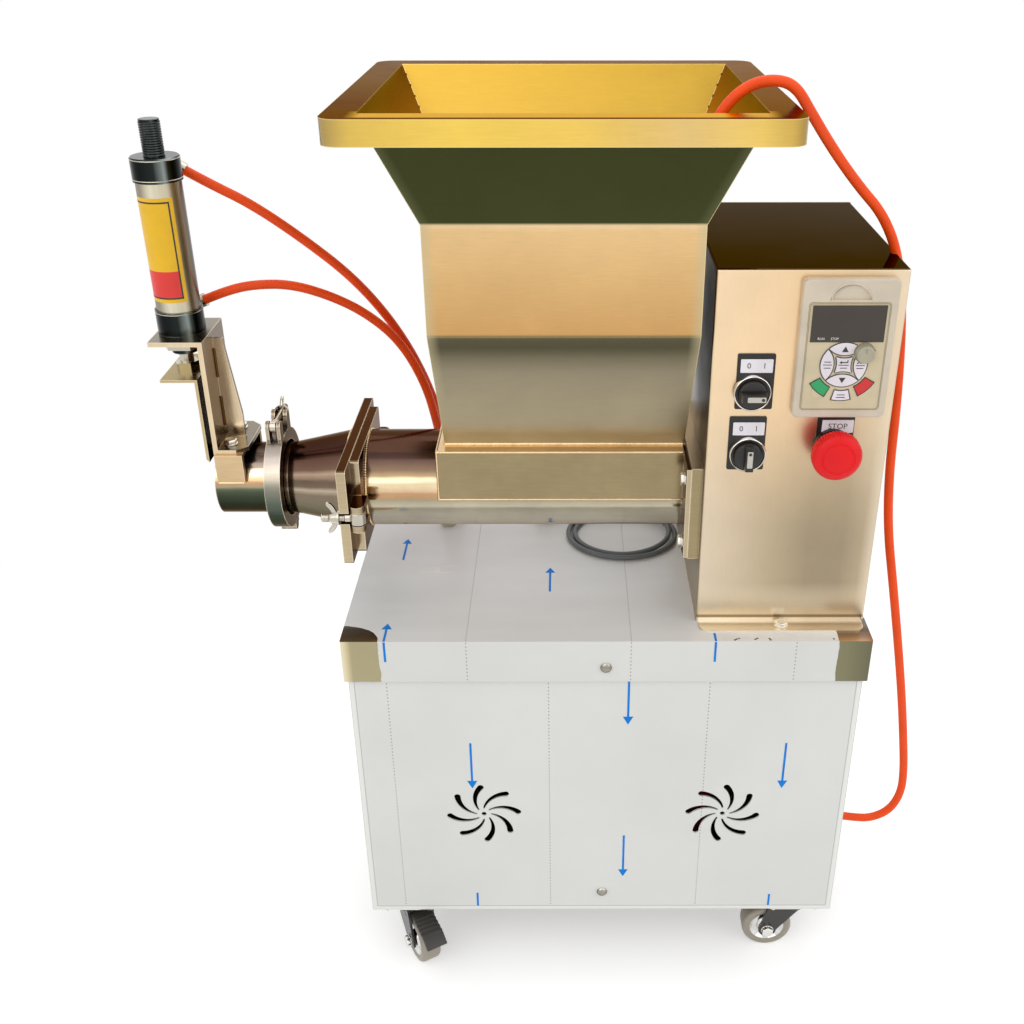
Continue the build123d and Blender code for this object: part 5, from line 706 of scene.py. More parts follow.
def skin(name, colour, rough=0.45, grit=0.0012, depth=0.08, metallic=0.0, coat=0.0, shine=0.5):
    """Moulded, painted or plated skin: faint clouds in colour, and a grit, in metres, in gloss and relief."""
    made, tree, shader, place = new_finish(name, Metallic=metallic, Coat_Weight=coat,
                                           Specular_IOR_Level=shine)
    # The clouds are about 25 mm across.
    cloud = add_node(tree, "TexNoise", {0: place["Object"], "Scale": 1 / 0.025, "Detail": 3.0})
    shade = add_node(tree, "MapRange", {0: cloud, **NOISE_SPAN, "To Min": 0.92, "To Max": 1.06})
    tint = linear(colour)[:3] if isinstance(colour, str) else list(colour)
    tone = add_node(tree, "VectorMath", {0: tint, 1: shade}, operation="MULTIPLY")
    grain = add_node(tree, "TexNoise", {0: place["Object"], "Scale": 1 / grit, "Detail": 2.0})
    gloss = add_node(tree, "MapRange", {0: grain, "To Min": max(0.02, rough - 0.08), "To Max": rough + 0.08})
    relief = add_node(tree, "Bump", {"Height": grain, "Strength": depth, "Distance": 0.0003})
    feed(tree, shader, Base_Color=tone, Roughness=gloss, Normal=relief)
    return made


def directly_seen(tree):
    """Whether a ray comes from the eye, a mirror or clear plastic, which see the room as white."""
    ray = add_node(tree, "LightPath").outputs
    mirrored = add_node(tree, "Math", {0: ray["Is Camera Ray"], 1: ray["Is Glossy Ray"]}, operation="ADD")
    return add_node(tree, "Math", {0: mirrored, 1: ray["Is Transmission Ray"]}, operation="ADD",
                    use_clamp=True)


def studio_floor(name):
    """Matt white floor. To the eye and in mirrors it is lifted to white and fades into the white room, and it
    keeps the shadow round the machine."""
    made, tree, shader, place = new_finish(name, Roughness=0.9, Emission_Color=(1, 1, 1, 1),
                                           Specular_IOR_Level=0.0)
    seen = directly_seen(tree)
    reach = add_node(tree, "VectorMath", {0: place["Object"]}, operation="LENGTH")
    fade = add_node(tree, "MapRange", {0: reach, "From Min": 0.45, "From Max": 1.1},
                    interpolation_type="SMOOTHSTEP")
    hidden = add_node(tree, "Math", {0: fade, 1: seen}, operation="MULTIPLY")
    mottle = add_node(tree, "TexNoise", {0: place["Object"], "Scale": 3.0, "Detail": 2.0})
    matt = add_node(tree, "ValToRGB", {0: mottle}, [(0.0, "#EFEFEE"), (1.0, "#F6F6F6")])
    tone = add_node(tree, "Mix", {0: hidden, 6: matt, 7: (0, 0, 0, 1)})
    lift = add_node(tree, "MapRange", {0: fade, "To Min": 0.4, "To Max": 1.0})
    glow = add_node(tree, "Math", {0: lift, 1: seen}, operation="MULTIPLY")
    feed(tree, shader, Base_Color=tone, Emission_Strength=glow)
    return made


# Painted reflections on tubes about the barrel's axis, from the side that looks down to the side that looks
# up
BARREL_TONES = [(0.0, "#B8B4A6"), (0.12, "#F2ECDE"), (0.30, "#D8D2C0"), (0.40, "#B8B09A"), (0.47, "#A89F86"),
                (0.50, "#C79E74"), (0.545, "#CFA57C"), (0.57, "#E9C9A0"), (0.62, "#F6DFB6"),
                (0.69, "#F4DCB4"), (0.72, "#A08868"), (0.77, "#76614E"), (0.86, "#55403A"), (0.93, "#4A3328"),
                (1.0, "#4A3228")]
NOZZLE_TONES = [(0.05, "#181F18"), (0.30, "#282E24"), (0.43, "#3C4436"), (0.51, "#525A48"), (0.55, "#6A7058"),
                (0.585, "#ABA58C"), (0.615, "#C69E78"), (0.705, "#DDB68A"), (0.74, "#F6E4C8"),
                (0.80, "#F6E4C8"), (0.825, "#9A8A7C"), (0.93, "#75675C"), (1.0, "#3A2C26")]
CLAMP_TONES = [(0.05, "#1E2A20"), (0.30, "#38443A"), (0.45, "#5E665A"), (0.58, "#8C8C7E"), (0.68, "#B4AA98"),
               (0.76, "#CFC4B4"), (0.82, "#B6AAA0"), (0.93, "#A59A92"), (1.0, "#6A5E56")]
CONE_TONES = [(0.0, "#2A342A"), (0.30, "#6A6654"), (0.42, "#7A705E"), (0.5, "#8A7868"), (0.56, "#BCAD97"),
              (0.60, "#7A6858"), (0.68, "#6A584A"), (0.74, "#8A7664"), (0.78, "#5A463A"), (0.9, "#4A322A"),
              (1.0, "#42281F")]
# Painted reflections on upright round pieces, from the side that looks left to the side that looks right
TUBE_TONES = [(0.0, "#585346"), (0.1, "#8A8270"), (0.21, "#9B9380"), (0.35, "#CCC3AD"), (0.45, "#E4DBC2"),
              (0.6, "#DBD3B8"), (0.8, "#C9BFA5"), (0.91, "#A89E88"), (0.978, "#8A816E"), (1.0, "#5C5347")]
CAP_TONES = [(0.0, "#0E1110"), (0.3, "#1A1E1D"), (0.6, "#2A2F2D"), (0.72, "#6E7672"), (0.78, "#8A928E"),
             (0.84, "#3A403E"), (0.92, "#161A19"), (1.0, "#0A0C0B")]
STUD_TONES = [(0.0, "#0A0C0B"), (0.6, "#1A1D1C"), (0.76, "#464C49"), (0.86, "#181B1A"), (1.0, "#080A09")]


def turned_steel():
    """Turned stainless: bright and even, with fine turning marks."""
    return finish("turned_stainless", skin, "#C9C2B4", rough=0.18, grit=0.0008, depth=0.04, metallic=1.0)


def zinc_steel():
    """Bright zinc plate: nearly white, a little cloudy."""
    return finish("bright_zinc_plate", skin, "#E4E2DC", rough=0.24, grit=0.002, depth=0.05, metallic=1.0)


def black_moulding():
    """Black ABS from the mould: fine even grain."""
    return finish("black_abs", skin, "#201E1C", rough=0.38, grit=0.0009, depth=0.1)


def white_print():
    """Thin white polyester tag."""
    return finish("white_polyester", skin, "#F3EFF4", rough=0.4, grit=0.002, depth=0.02)


def dark_print():
    """Screen-printed ink, flat and dark."""
    return finish("dark_ink", skin, "#37332F", rough=0.5, grit=0.002, depth=0.02)


class DividerLights(bpy.types.PropertyGroup):
    key: FloatProperty(name="Key lamp", description="Power of the large lamp at the front left", default=33.0,
                       min=0.0, subtype="POWER")
    fill: FloatProperty(name="Fill lamp", description="Power of the lamp at the right", default=15.0, min=0.0,
                        subtype="POWER")
    top: FloatProperty(name="Top lamp", description="Power of the lamp over the rear", default=17.0, min=0.0,
                       subtype="POWER")
    room: FloatProperty(name="Room", description="Strength of the room's even light", default=0.6, min=0.0)


class DividerColours(bpy.types.PropertyGroup):
    hose: FloatVectorProperty(name="Hoses", description="Colour of the air hoses", subtype="COLOR",
                              min=0, max=1, default=linear("#FF520E")[:3])
    cable: FloatVectorProperty(name="Cable", description="Colour of the cable on the deck", subtype="COLOR",
                               min=0, max=1, default=linear("#66696A")[:3])
    film_print: FloatVectorProperty(name="Film print", description="Colour of the arrows on the film",
                                    subtype="COLOR", min=0, max=1, default=linear("#0A84E2")[:3])
    stop: FloatVectorProperty(name="Stop button", description="Colour of the stop button", subtype="COLOR",
                              min=0, max=1, default=linear("#F0141A")[:3])
    run_key: FloatVectorProperty(name="Run key", description="Colour of the run key", subtype="COLOR",
                                 min=0, max=1, default=linear("#2FA866")[:3])
    halt_key: FloatVectorProperty(name="Halt key", description="Colour of the halt key", subtype="COLOR",
                                  min=0, max=1, default=linear("#D6302F")[:3])
    label: FloatVectorProperty(name="Cylinder label", description="Colour of the label's field",
                               subtype="COLOR", min=0, max=1, default=linear("#F7C21A")[:3])
    label_foot: FloatVectorProperty(name="Label foot", description="Colour of the label's lower field",
                                    subtype="COLOR", min=0, max=1, default=linear("#EE3A34")[:3])


class DividerSizes(bpy.types.PropertyGroup):
    hose: FloatProperty(name="Hose", description="Outer diameter of the hoses", default=8 * MM, unit="LENGTH")
    cable: FloatProperty(name="Cable", description="Outer diameter of the cable", default=5 * MM,
                         unit="LENGTH")
    weld: FloatProperty(name="Weld", description="Width of the weld beads", default=4 * MM, unit="LENGTH")
    arrow: FloatProperty(name="Arrow", description="Width of the arrows' stems", default=2 * MM,
                         unit="LENGTH")
    key: FloatProperty(name="Key", description="How far the keys stand up", default=0.35 * MM, unit="LENGTH")
    pitch: FloatProperty(name="Thread", description="Pitch of the stud's thread", default=1.9 * MM,
                         unit="LENGTH")


# The camera, worked out from the machine's straight edges: its place in m, its tilt and turn in degrees
CAMERA_PLACE, CAMERA_TILT, CAMERA_TURN = (0.0316, -0.9522, 0.9601), 27.99, -0.16
CAMERA_SENSOR, CAMERA_LENS, CAMERA_SHIFT = 36, 41.0, -0.0558
# Lamps: place and width in m
LAMPS = {"key": ((-1.5, -2.2, 2.6), 3.5), "fill": ((2.3, -1.4, 1.7), 2.6), "top": ((0.2, 0.9, 2.9), 2.6)}
LAMPS_AIM, FLOOR_W = (0, 0, 0.42), 10.0


class DIVIDER_OT_stage(bpy.types.Operator):
    """Pale floor, soft lamps, white surroundings and the camera"""
    bl_idname = "divider.stage"
    bl_label = "Stage"

    def execute(self, context):
        lights = context.scene.divider_lights
        context.scene.view_settings.view_transform = "Standard"
        fresh()
        bpy.ops.mesh.primitive_plane_add(size=FLOOR_W, location=ORIGIN)
        floor = context.object
        floor.name = "floor"
        floor.data.materials.append(finish("matt_studio_floor", studio_floor))
        for name, (spot, width) in LAMPS.items():
            bpy.ops.object.light_add(type="AREA", location=spot)
            lamp = context.object
            lamp.name = name + "_lamp"
            lamp.data.energy = getattr(lights, name)
            lamp.data.size = width
            aim = Vector(LAMPS_AIM) - Vector(spot)
            lamp.rotation_euler = aim.to_track_quat("-Z", "Y").to_euler()
        world = bpy.data.worlds.new("white_room")
        context.scene.world = world
        world.use_nodes = True
        tree = world.node_tree
        back = tree.nodes["Background"]
        back.inputs["Color"].default_value = (1, 1, 1, 1)
        strength = add_node(tree, "MapRange", {0: directly_seen(tree), "To Min": lights.room, "To Max": 1.0})
        feed(tree, back, Strength=strength)
        bpy.ops.object.camera_add(location=CAMERA_PLACE,
                                  rotation=(radians(90 - CAMERA_TILT), 0, radians(CAMERA_TURN)))
        camera = context.object
        camera.data.sensor_width = CAMERA_SENSOR
        camera.data.lens = CAMERA_LENS
        camera.data.shift_x = CAMERA_SHIFT
        context.scene.camera = camera
        return {"FINISHED"}


# Routes of the cords: the control points of their lines in mm, from the end where each leaves the machine
UPPER_ROUTE = [(-231, 27, 731), (-195, 42, 698.5), (-157, 59, 658.5), (-127.5, 75, 612), (-106.5, 91, 561.5),
               (-93, 105, 509), (-85, 114, 469), (-84, 116, 438), (-84, 116, 416)]
LOWER_ROUTE = [(-234, 24, 663), (-206, 32, 660.5), (-175, 41, 647.5), (-146, 51, 628), (-119.5, 62, 598),
               (-100.5, 72, 553), (-92.5, 82, 506), (-89, 89, 469), (-88, 93, 438), (-88, 93, 416)]
SUPPLY_ROUTE = [(310, -40, 122), (326, -40, 119), (345, -40, 118), (363, -40, 129), (371.5, -40, 152),
                (370.5, -40, 180), (365.5, -40, 215), (356, -41, 272), (344, -41, 335), (331, -40, 400),
                (319, -39, 458), (313, -39, 515), (311, -40.5, 570), (307.5, -41, 625), (302, -42, 672),
                (292, -45, 712), (276, -49, 741), (254, -56, 763), (230, -66, 791), (208, -79, 820),
                (193, -90, 840.5), (176, -96, 845.5), (158, -100, 842), (143, -101, 829), (132, -99, 807),
                (128, -96, 785)]
CABLE_START = [(129.55, 113.5, 403), (116.55, 113.5, 403), (103, 115.5, 398)]
CABLE_END = [(62, 102.5, 402.2), (37, 104, 402), (24, 104, 402)]
# Elbows on the cylinder: height and tilt of each port, and the reach of the hose's straight start
UPPER_PORT, LOWER_PORT, ELBOW_LEAD = (767.5, -30), (645, 22), (16.0, 38.0)
# The cable's turns: their middle, half widths, how much a turn shrinks, height, rise and points a turn
COIL_X, COIL_Y, COIL_HALF_X, COIL_HALF_Y, COIL_SHRINK = 88.5, 66.5, 57.5, 53, 6.5
COIL_Z, COIL_RISE, COIL_TURNS, COIL_STEPS = 394.7, 7, 2, 14


def elbow_lead(port_z, tilt):
    """The straight start of a hose out of a tilted elbow on the cylinder."""
    return [(CYLINDER_X + reach * cos(radians(tilt)), ELBOW_Y, port_z + reach * sin(radians(tilt)))
            for reach in ELBOW_LEAD]


def coil_point(step):
    """One point of the cable's loose turns on the deck, which rise over the last half turn."""
    turns = step / COIL_STEPS
    angle = pi / 2 + 2 * pi * turns
    return (COIL_X + (COIL_HALF_X - COIL_SHRINK * turns) * cos(angle),
            COIL_Y + (COIL_HALF_Y - COIL_SHRINK * turns) * sin(angle),
            COIL_Z + COIL_RISE * max(0, turns - COIL_TURNS + 0.5) / 0.5)


def lay_cord(name, points, width, made, slot):
    curve = bpy.data.curves.new(name, "CURVE")
    curve.dimensions = "3D"
    curve.bevel_depth = width / 2
    curve.bevel_resolution = 5
    curve.resolution_u = 10
    curve.use_fill_caps = True
    spline = curve.splines.new("NURBS")
    spline.points.add(len(points) - 1)
    for knot, point in zip(spline.points, points):
        knot.co = [value * MM for value in point] + [1.0]
    spline.order_u = 3
    spline.use_endpoint_u = True
    cord = bpy.data.objects.new(name, curve)
    bpy.context.collection.objects.link(cord)
    settle(cord, name + "_line", made, ROOT, slot, name)


class DIVIDER_OT_hoses(bpy.types.Operator):
    """Three air hoses and the cable coiled on the deck"""
    bl_idname = "divider.hoses"
    bl_label = "Hoses and cable"

    def execute(self, context):
        colours, sizes = context.scene.divider_colours, context.scene.divider_sizes
        # Polyurethane tube: extruded, so smooth, with a soft gloss.
        orange = finish("polyurethane_hose", skin, colours.hose, rough=0.45, grit=0.006, depth=0.0, shine=0.3)
        # Extruded PVC jacket: even, with a dull gloss.
        grey = finish("cable_jacket", skin, colours.cable, rough=0.5, grit=0.002, depth=0.05)
        for name, route, length, far_end in (
                ("upper_hose", elbow_lead(*UPPER_PORT) + UPPER_ROUTE, 429, "object"),
                ("lower_hose", elbow_lead(*LOWER_PORT) + LOWER_ROUTE, 376, "object"),
                ("supply_hose", SUPPLY_ROUTE, 918, "bare")):
            lay_cord(name, route, sizes.hose, orange, "orange_hose")
        turns = [coil_point(step) for step in range(COIL_TURNS * COIL_STEPS + 1)]
        lay_cord("sensor_cable", CABLE_START + turns + CABLE_END, sizes.cable, grey, "grey_cable")
        return {"FINISHED"}


# Where the first print line of the film runs on the panel and on the deck, in mm
PANEL_LINE, DECK_LINE = -126.8, -55.0
# Radius of each tube, beyond which its piece is a plate, in mm
BARREL_R, NOZZLE_R, CLAMP_R = 43.4, 32.2, 48.0


class DIVIDER_OT_steelwork(bpy.types.Operator):
    """Finishes of the steel, the mouldings and the drive that the CAD already shapes"""
    bl_idname = "divider.steelwork"
    bl_label = "Steelwork"

    def execute(self, context):
        dress(finish("filmed_stainless_panel", filmed_panel, PANEL_LINE, "#E6E7E3", "#D8D8D5"),
              "front_panel", "cabinet_body")
        dress(finish("filmed_stainless_lid", filmed_deck, DECK_LINE, "#E3E3DF", "#E9E8E7"), "deck_lid")
        # The sheet, tube, hopper and box stainless below carry painted reflections, by where their faces look
        # or by their tilt, and painted highlights along their edges.
        dress(finish("plain_stainless_sheet", folded_stainless, "#B8A78E", "#8E8270", "#CDB89A", "#5A5042"),
              "base_floor", "box_rear_cover")
        dress(finish("barrel_stainless", tube_stainless, BARREL_TONES, BARREL_R, "#BBAA8A", "#5A4034",
                     "#4A2E20", "#3A2E26"), "barrel")
        dress(finish("cone_stainless", tube_stainless, CONE_TONES, BARREL_R, "#C2B08E", "#4A342C", "#4A2E20",
                     "#3A2E26"), "outlet_cone")
        dress(finish("nozzle_stainless", tube_stainless, NOZZLE_TONES, NOZZLE_R, "#D9BC92", "#8E7658",
                     "#B49C7C", "#5A4C3C"), "nozzle_tube")
        dress(finish("clamp_stainless", tube_stainless, CLAMP_TONES, CLAMP_R, "#B5A48C", "#4E463C", "#8E7E6C",
                     "#4A4038", rough=0.28), "clamp_front", "clamp_rear")
        dress(finish("trough_stainless", folded_stainless, "#A08F6C", "#8A7A5C", "#E0C296", "#8F8878"),
              "trough", "bearing_housing")
        dress(finish("bracket_stainless", folded_stainless, "#E4CEAA", "#6A543E", "#8C8272", "#3E3428",
                     grain=GRAIN_Z), "cutter_bracket")
        dress(finish("blade_stainless", folded_stainless, "#C8B183", "#7A6A4A", "#A8935E", "#5A4E38"),
              "cutter_blade")
        dress(finish("polished_hopper_stainless", hopper_stainless), "hopper")
        dress(finish("polished_box_stainless", box_stainless), "control_box")
        dress(turned_steel(), "piston_rod", "auger", "rod_nuts", "cylinder_nut", "auger_bearings", "fittings")
        # Drawn aluminium of the cylinder's tube, with a painted warm reflection of the room.
        dress(finish("drawn_aluminium", round_metal, TUBE_TONES, 0.3, "#EADFC6"), "cylinder_tube")
        # Black anodised aluminium: dark and glossy, with a painted grey gleam.
        dress(finish("black_anodised_aluminium", round_metal, CAP_TONES, 0.2, "#7E8682"), "cylinder_caps")
        # Enamelled pressed steel: black and glossy over small ripples.
        dress(finish("black_enamelled_steel", skin, "#1F1E1C", rough=0.3, grit=0.003, depth=0.06, coat=0.3),
              *("castor_fork_" + name for name in WHEELS))
        dress(zinc_steel(), "castor_plates")
        # Oiled steel: dark, with a greasy gleam.
        dress(finish("oiled_steel", skin, "#3A3A3A", rough=0.4, grit=0.002, depth=0.1, metallic=0.9),
              "auger_sprocket", "motor_sprocket", "drive_chain")
        # Warm grey ABS of the keypad, with a fine spark-eroded grain.
        dress(finish("warm_grey_abs", skin, "#DACDB8", rough=0.42, grit=0.0009, depth=0.1), "keypad_housing")
        # Printed polyester overlay: a little yellower and glossier than the housing.
        dress(finish("keypad_polyester", skin, "#DACBA8", rough=0.38, grit=0.0008, depth=0.06),
              "keypad_overlay")
        dress(black_moulding(), "legend_plates", "switch_bodies", "inverter", "solenoid_valve")
        # Sprayed machine enamel: red, with a slight orange peel.
        dress(finish("red_enamel", skin, "#B3261E", rough=0.32, grit=0.003, depth=0.08, coat=0.2),
              "gear_motor")
        return {"FINISHED"}


# Arrows printed on the film: place across, tail and tip along, in mm; a stem alone runs under an edge
PANEL_ARROWS = ((-55.7, 279, 226), (86.7, 349, 299.8), (86, 167.7, 115.1), (231, 278.7, 225.7))
PANEL_STEMS = ((-56, 93.4, 76), (230.4, 90.9, 76))
DECK_ARROWS = ((-125.5, 18.7, 59.4), (16.4, -39.2, 3.4), (-125.4, -120, -92.2))
DECK_STEMS = ((160.1, -120, -107.7),)
SKIRT_STEMS = ((-125.4, 371, 391.5), (160.1, 370.8, 391.5))
ARROW_HEAD_L, ARROW_HEAD_HALF, PRINT_T = 9.0, 4.7, 0.12
# Scraps on the deck: tape behind the left corner, and loose film with its scuffs before the foot of the box
SCRAPS = ([(-107.2, -5.6), (-98, -5.2), (-88.2, -5.7), (-88.8, 4.6), (-97, 5.2), (-107.6, 4.4)],
          [(-87.6, -5.6), (-74, -5.2), (-74, -3.8), (-87.6, -4.2)],
          [(-85, 6.2), (-73, 6.6), (-73, 8.2), (-85, 7.6)],
          [(166.2, -120.2), (265, -120.2), (266.6, -106.4), (240, -106.2), (166.2, -106.4)])
SCUFFS = ((176.5, -118.4), (178.2, -117.2), (180.4, -116), (194.4, -117.4), (196.2, -116), (206.6, -116.6),
          (207.4, -118.4), (262.0, -117.0))
SCRAP_T, SCUFF_R, SCUFF_T = 0.1, 1, 0.05


class DIVIDER_OT_film(bpy.types.Operator):
    """Arrows printed on the protective film, and loose scraps of it"""
    bl_idname = "divider.film"
    bl_label = "Film print"

    def arrow(self, across, tail, tip, half):
        """Outline of an arrow from its tail to its tip."""
        way = 1 if tip > tail else -1
        neck = tip - way * ARROW_HEAD_L
        return [(across - half, tail), (across + half, tail), (across + half, neck),
                (across + ARROW_HEAD_HALF, neck), (across, tip), (across - ARROW_HEAD_HALF, neck),
                (across - half, neck)]

    def stem(self, across, tail, tip, half):
        """Outline of an arrow's stem alone."""
        return [(across - half, tail), (across + half, tail), (across + half, tip), (across - half, tip)]

    def execute(self, context):
        # Gravure ink on the film: clear blue and nearly matt.
        ink = finish("blue_film_ink", skin, context.scene.divider_colours.film_print, rough=0.6, grit=0.002,
                     depth=0.02, shine=0.2)
        half = context.scene.divider_sizes.arrow / 2 / MM
        # Scraps of tape and loose film: milky white and dull.
        milky = finish("milky_polythene", skin, "#EFEDE8", rough=0.55, grit=0.003, depth=0.05)
        scraps = [plate([ring], SCRAP_T) for ring in SCRAPS]
        settle(put(join(scraps), (0, 0, DECK_Z)), "film_scraps", milky, ROOT, "film_covered_steel")
        scuffs = [put(plate([arc(SCUFF_R, 0, 340, 17)], SCUFF_T), (x, y, DECK_Z + SCRAP_T))
                  for x, y in SCUFFS]
        settle(join(scuffs), "film_scuffs", dark_print(), ROOT, "film_covered_steel")
        for name, arrows, stems, place, turn in (
                ("panel_arrows", PANEL_ARROWS, PANEL_STEMS, (0, PANEL_FACE, 0), FRONT),
                ("deck_arrows", DECK_ARROWS, DECK_STEMS, (0, 0, DECK_Z), UP),
                ("skirt_arrows", (), SKIRT_STEMS, (0, SKIRT_FACE, 0), FRONT)):
            rings = [self.arrow(*spot, half) for spot in arrows] + [self.stem(*spot, half) for spot in stems]
            settle(put(plate(rings, PRINT_T), place, turn), name, ink, ROOT, "film_covered_steel")
        return {"FINISHED"}


# Lines that are welded, in mm: the neck's foot, the trough's edges and front lip, the flanges, the saddle
NECK_HALF_X, NECK_HALF_Y, NECK_Z = 103.05, 30.0, 540.2
TROUGH_X, TROUGH_END, TROUGH_HALF, TROUGH_MIDDLE, TROUGH_TOP = 26.5, -79.0, 45.3, 516.9, 539.5
LIP_HALF, LIP_Z = 45.2, 539.3
FLANGE_XS, FLANGE_R = (-142.6, -159.4), 43.2
SADDLE_X, SADDLE_HALF, SADDLE_Z = -260.0, 34.5, 505.4
# The gusset's two seams, low and high
GUSSET_X, GUSSET_HALF, GUSSET_SEAMS = -268.3, 2.0, ((591.2, 617.2), (546.2, 573.4))
STITCHES, STITCH_RISE, STITCH_INSET = 10, 8.4, 1.2


class DIVIDER_OT_welds(bpy.types.Operator):
    """Weld beads round the hopper's neck, the trough, the end plates, the saddle and the gusset"""
    bl_idname = "divider.welds"
    bl_label = "Welds"

    def bead(self, length, width, seed):
        """A bead along X: a round bar cut into rings, every second one drawn in, and shaken a little."""
        rings = max(4, int(length / (0.45 * width)))
        fresh()
        bpy.ops.mesh.primitive_cylinder_add(vertices=8, radius=width / 2 * MM, depth=length * MM,
                                            rotation=(0, pi / 2, 0))
        obj = bake()
        bpy.ops.object.mode_set(mode="EDIT")
        for ring in range(1, rings):
            bpy.ops.mesh.select_all(action="SELECT")
            bpy.ops.mesh.bisect(plane_co=((ring / rings - 0.5) * length * MM, 0, 0), plane_no=(1, 0, 0))
        pick(obj, "VERT", lambda spot: round((spot.x / length + 0.5) * rings) % 2 == 0)
        bpy.ops.transform.resize(value=(1, 0.78, 0.78), center_override=ORIGIN)
        bpy.ops.mesh.select_all(action="SELECT")
        bpy.ops.transform.vertex_random(offset=0.06 * width * MM, seed=seed)
        return mend(obj, 60)

    def drop(self, radius, rings, stretch):
        """A drop of weld metal: a small ball, stretched."""
        fresh()
        bpy.ops.mesh.primitive_uv_sphere_add(segments=8, ring_count=rings, radius=radius * MM)
        bpy.ops.transform.resize(value=stretch)
        return bake()

    def ring(self, radius, width):
        """A bead round X: drops in a row about a circle."""
        count = int(2 * pi * radius / (0.8 * width))
        drops = []
        for step in range(count):
            angle = 2 * pi * step / count
            drops.append(((0, radius * cos(angle), radius * sin(angle)), (360 * step / count, 0, 0)))
        return scatter(self.drop(width / 2, 5, (1, 0.75, 0.9)), drops)

    def execute(self, context):
        width = context.scene.divider_sizes.weld / MM
        # Weld metal: rippled and bright, straw-coloured from the heat.
        straw = finish("weld_bead_stainless", skin, "#EBCFA4", rough=0.22, grit=0.0015, depth=0.15,
                       metallic=1.0)
        # Straight beads: length, share of the full width, seed, middle and turn
        beads = [(206.0, 1, 1, (HOPPER_X, AXIS_Y + side * NECK_HALF_Y, NECK_Z), ALONG_X) for side in SIDES]
        beads += [(60.0, 1, 2, (HOPPER_X + side * NECK_HALF_X, AXIS_Y, NECK_Z), ALONG_Y) for side in SIDES]
        for side in SIDES:
            edge_y = AXIS_Y + side * TROUGH_HALF
            beads.append((211.0, 0.5, 3, (TROUGH_X, edge_y, AXIS_Z), ALONG_X))
            beads.append((45.0, 0.6, 4, (TROUGH_END, edge_y, TROUGH_MIDDLE), ALONG_Z))
        beads.append((88.0, 0.6, 5, (TROUGH_END, AXIS_Y, TROUGH_TOP), ALONG_Y))
        beads.append((210.0, 0.6, 8, (TROUGH_X, AXIS_Y - LIP_HALF, LIP_Z), ALONG_X))
        runs = [put(self.bead(length, share * width, seed), place, turn)
                for length, share, seed, place, turn in beads]
        runs += [put(self.ring(FLANGE_R, 0.7 * width), (x, AXIS_Y, AXIS_Z)) for x in FLANGE_XS]
        runs += [put(self.bead(22.0, 0.5 * width, 6), (SADDLE_X, AXIS_Y + side * SADDLE_HALF, SADDLE_Z))
                 for side in SIDES]
        settle(join(runs), "weld_beads", straw, ROOT, "stainless_sheet")
        burnt = [put(self.bead(high - low, 0.7 * width, 7),
                     (GUSSET_X, AXIS_Y + side * GUSSET_HALF, (low + high) / 2), ALONG_Z)
                 for low, high in GUSSET_SEAMS for side in SIDES]
        # Stitches down the four seams inside the mouth
        spots = []
        for step in range(1, STITCHES):
            spread = FLARE * step / STITCHES - STITCH_INSET
            spots += [((HOPPER_X + x * (HOPPER_HALF["X"] + spread), AXIS_Y + y * (HOPPER_HALF["Y"] + spread),
                        HOPPER_SHOULDER + STITCH_RISE * step), UP) for x in SIDES for y in SIDES]
        stitches = scatter(self.drop(0.9, 6, (1, 1, 1.6)), spots)
        # Burnt stitches: brown heat marks.
        brown = finish("burnt_weld_stitch", skin, "#6A4A20", rough=0.4, grit=0.001, depth=0.1, metallic=1.0)
        settle(mend(join(burnt + [stitches]), 60), "seam_stitches", brown, ROOT, "hopper_steel")
        return {"FINISHED"}


# Seats of bolts and screws, in mm: on both faces of the end plate, the box's foot, the saddle, the motor's
# foot, the castors' plates, the panel and the rear cover
END_BOLT_XS, END_BOLT_Y, END_BOLT_Z = ((132.05, LEFT), (147.05, RIGHT)), 66, 30
FOOT_BOLT_YS, FOOT_SEAT = (-97.7, 134.7), 393.5
SADDLE_BOLT_X, SADDLE_BOLT_Y, SADDLE_SEAT = -260.5, 18, 535.4
MOTOR_X, MOTOR_BOLT_X, MOTOR_BOLT_Y, MOTOR_SEAT = 138.55, 23, 60, 84.5
CASTOR_BOLT, CASTOR_SEAT = 20.5, 68.0
PANEL_SCREWS = ((66, SKIRT_FACE, 365), (66, PANEL_FACE, 95))
COVER_FACE, COVER_Z, COVER_SCREW_X, COVER_SCREW_Z = 126.5, 550.5, 59.75, 138.5
PAN_HEAD = [(2.4, -2), (2.4, 0), (5.0, 0), (5.0, 0.7), (4.6, 1.6), (3.6, 2.4), (2.2, 2.85), (0.05, 3.0)]
# Cross recess of the screws: length and width of its slots, and the height of its floor
CROSS_L, CROSS_W, CROSS_FLOOR = 4.6, 1.1, 1.5


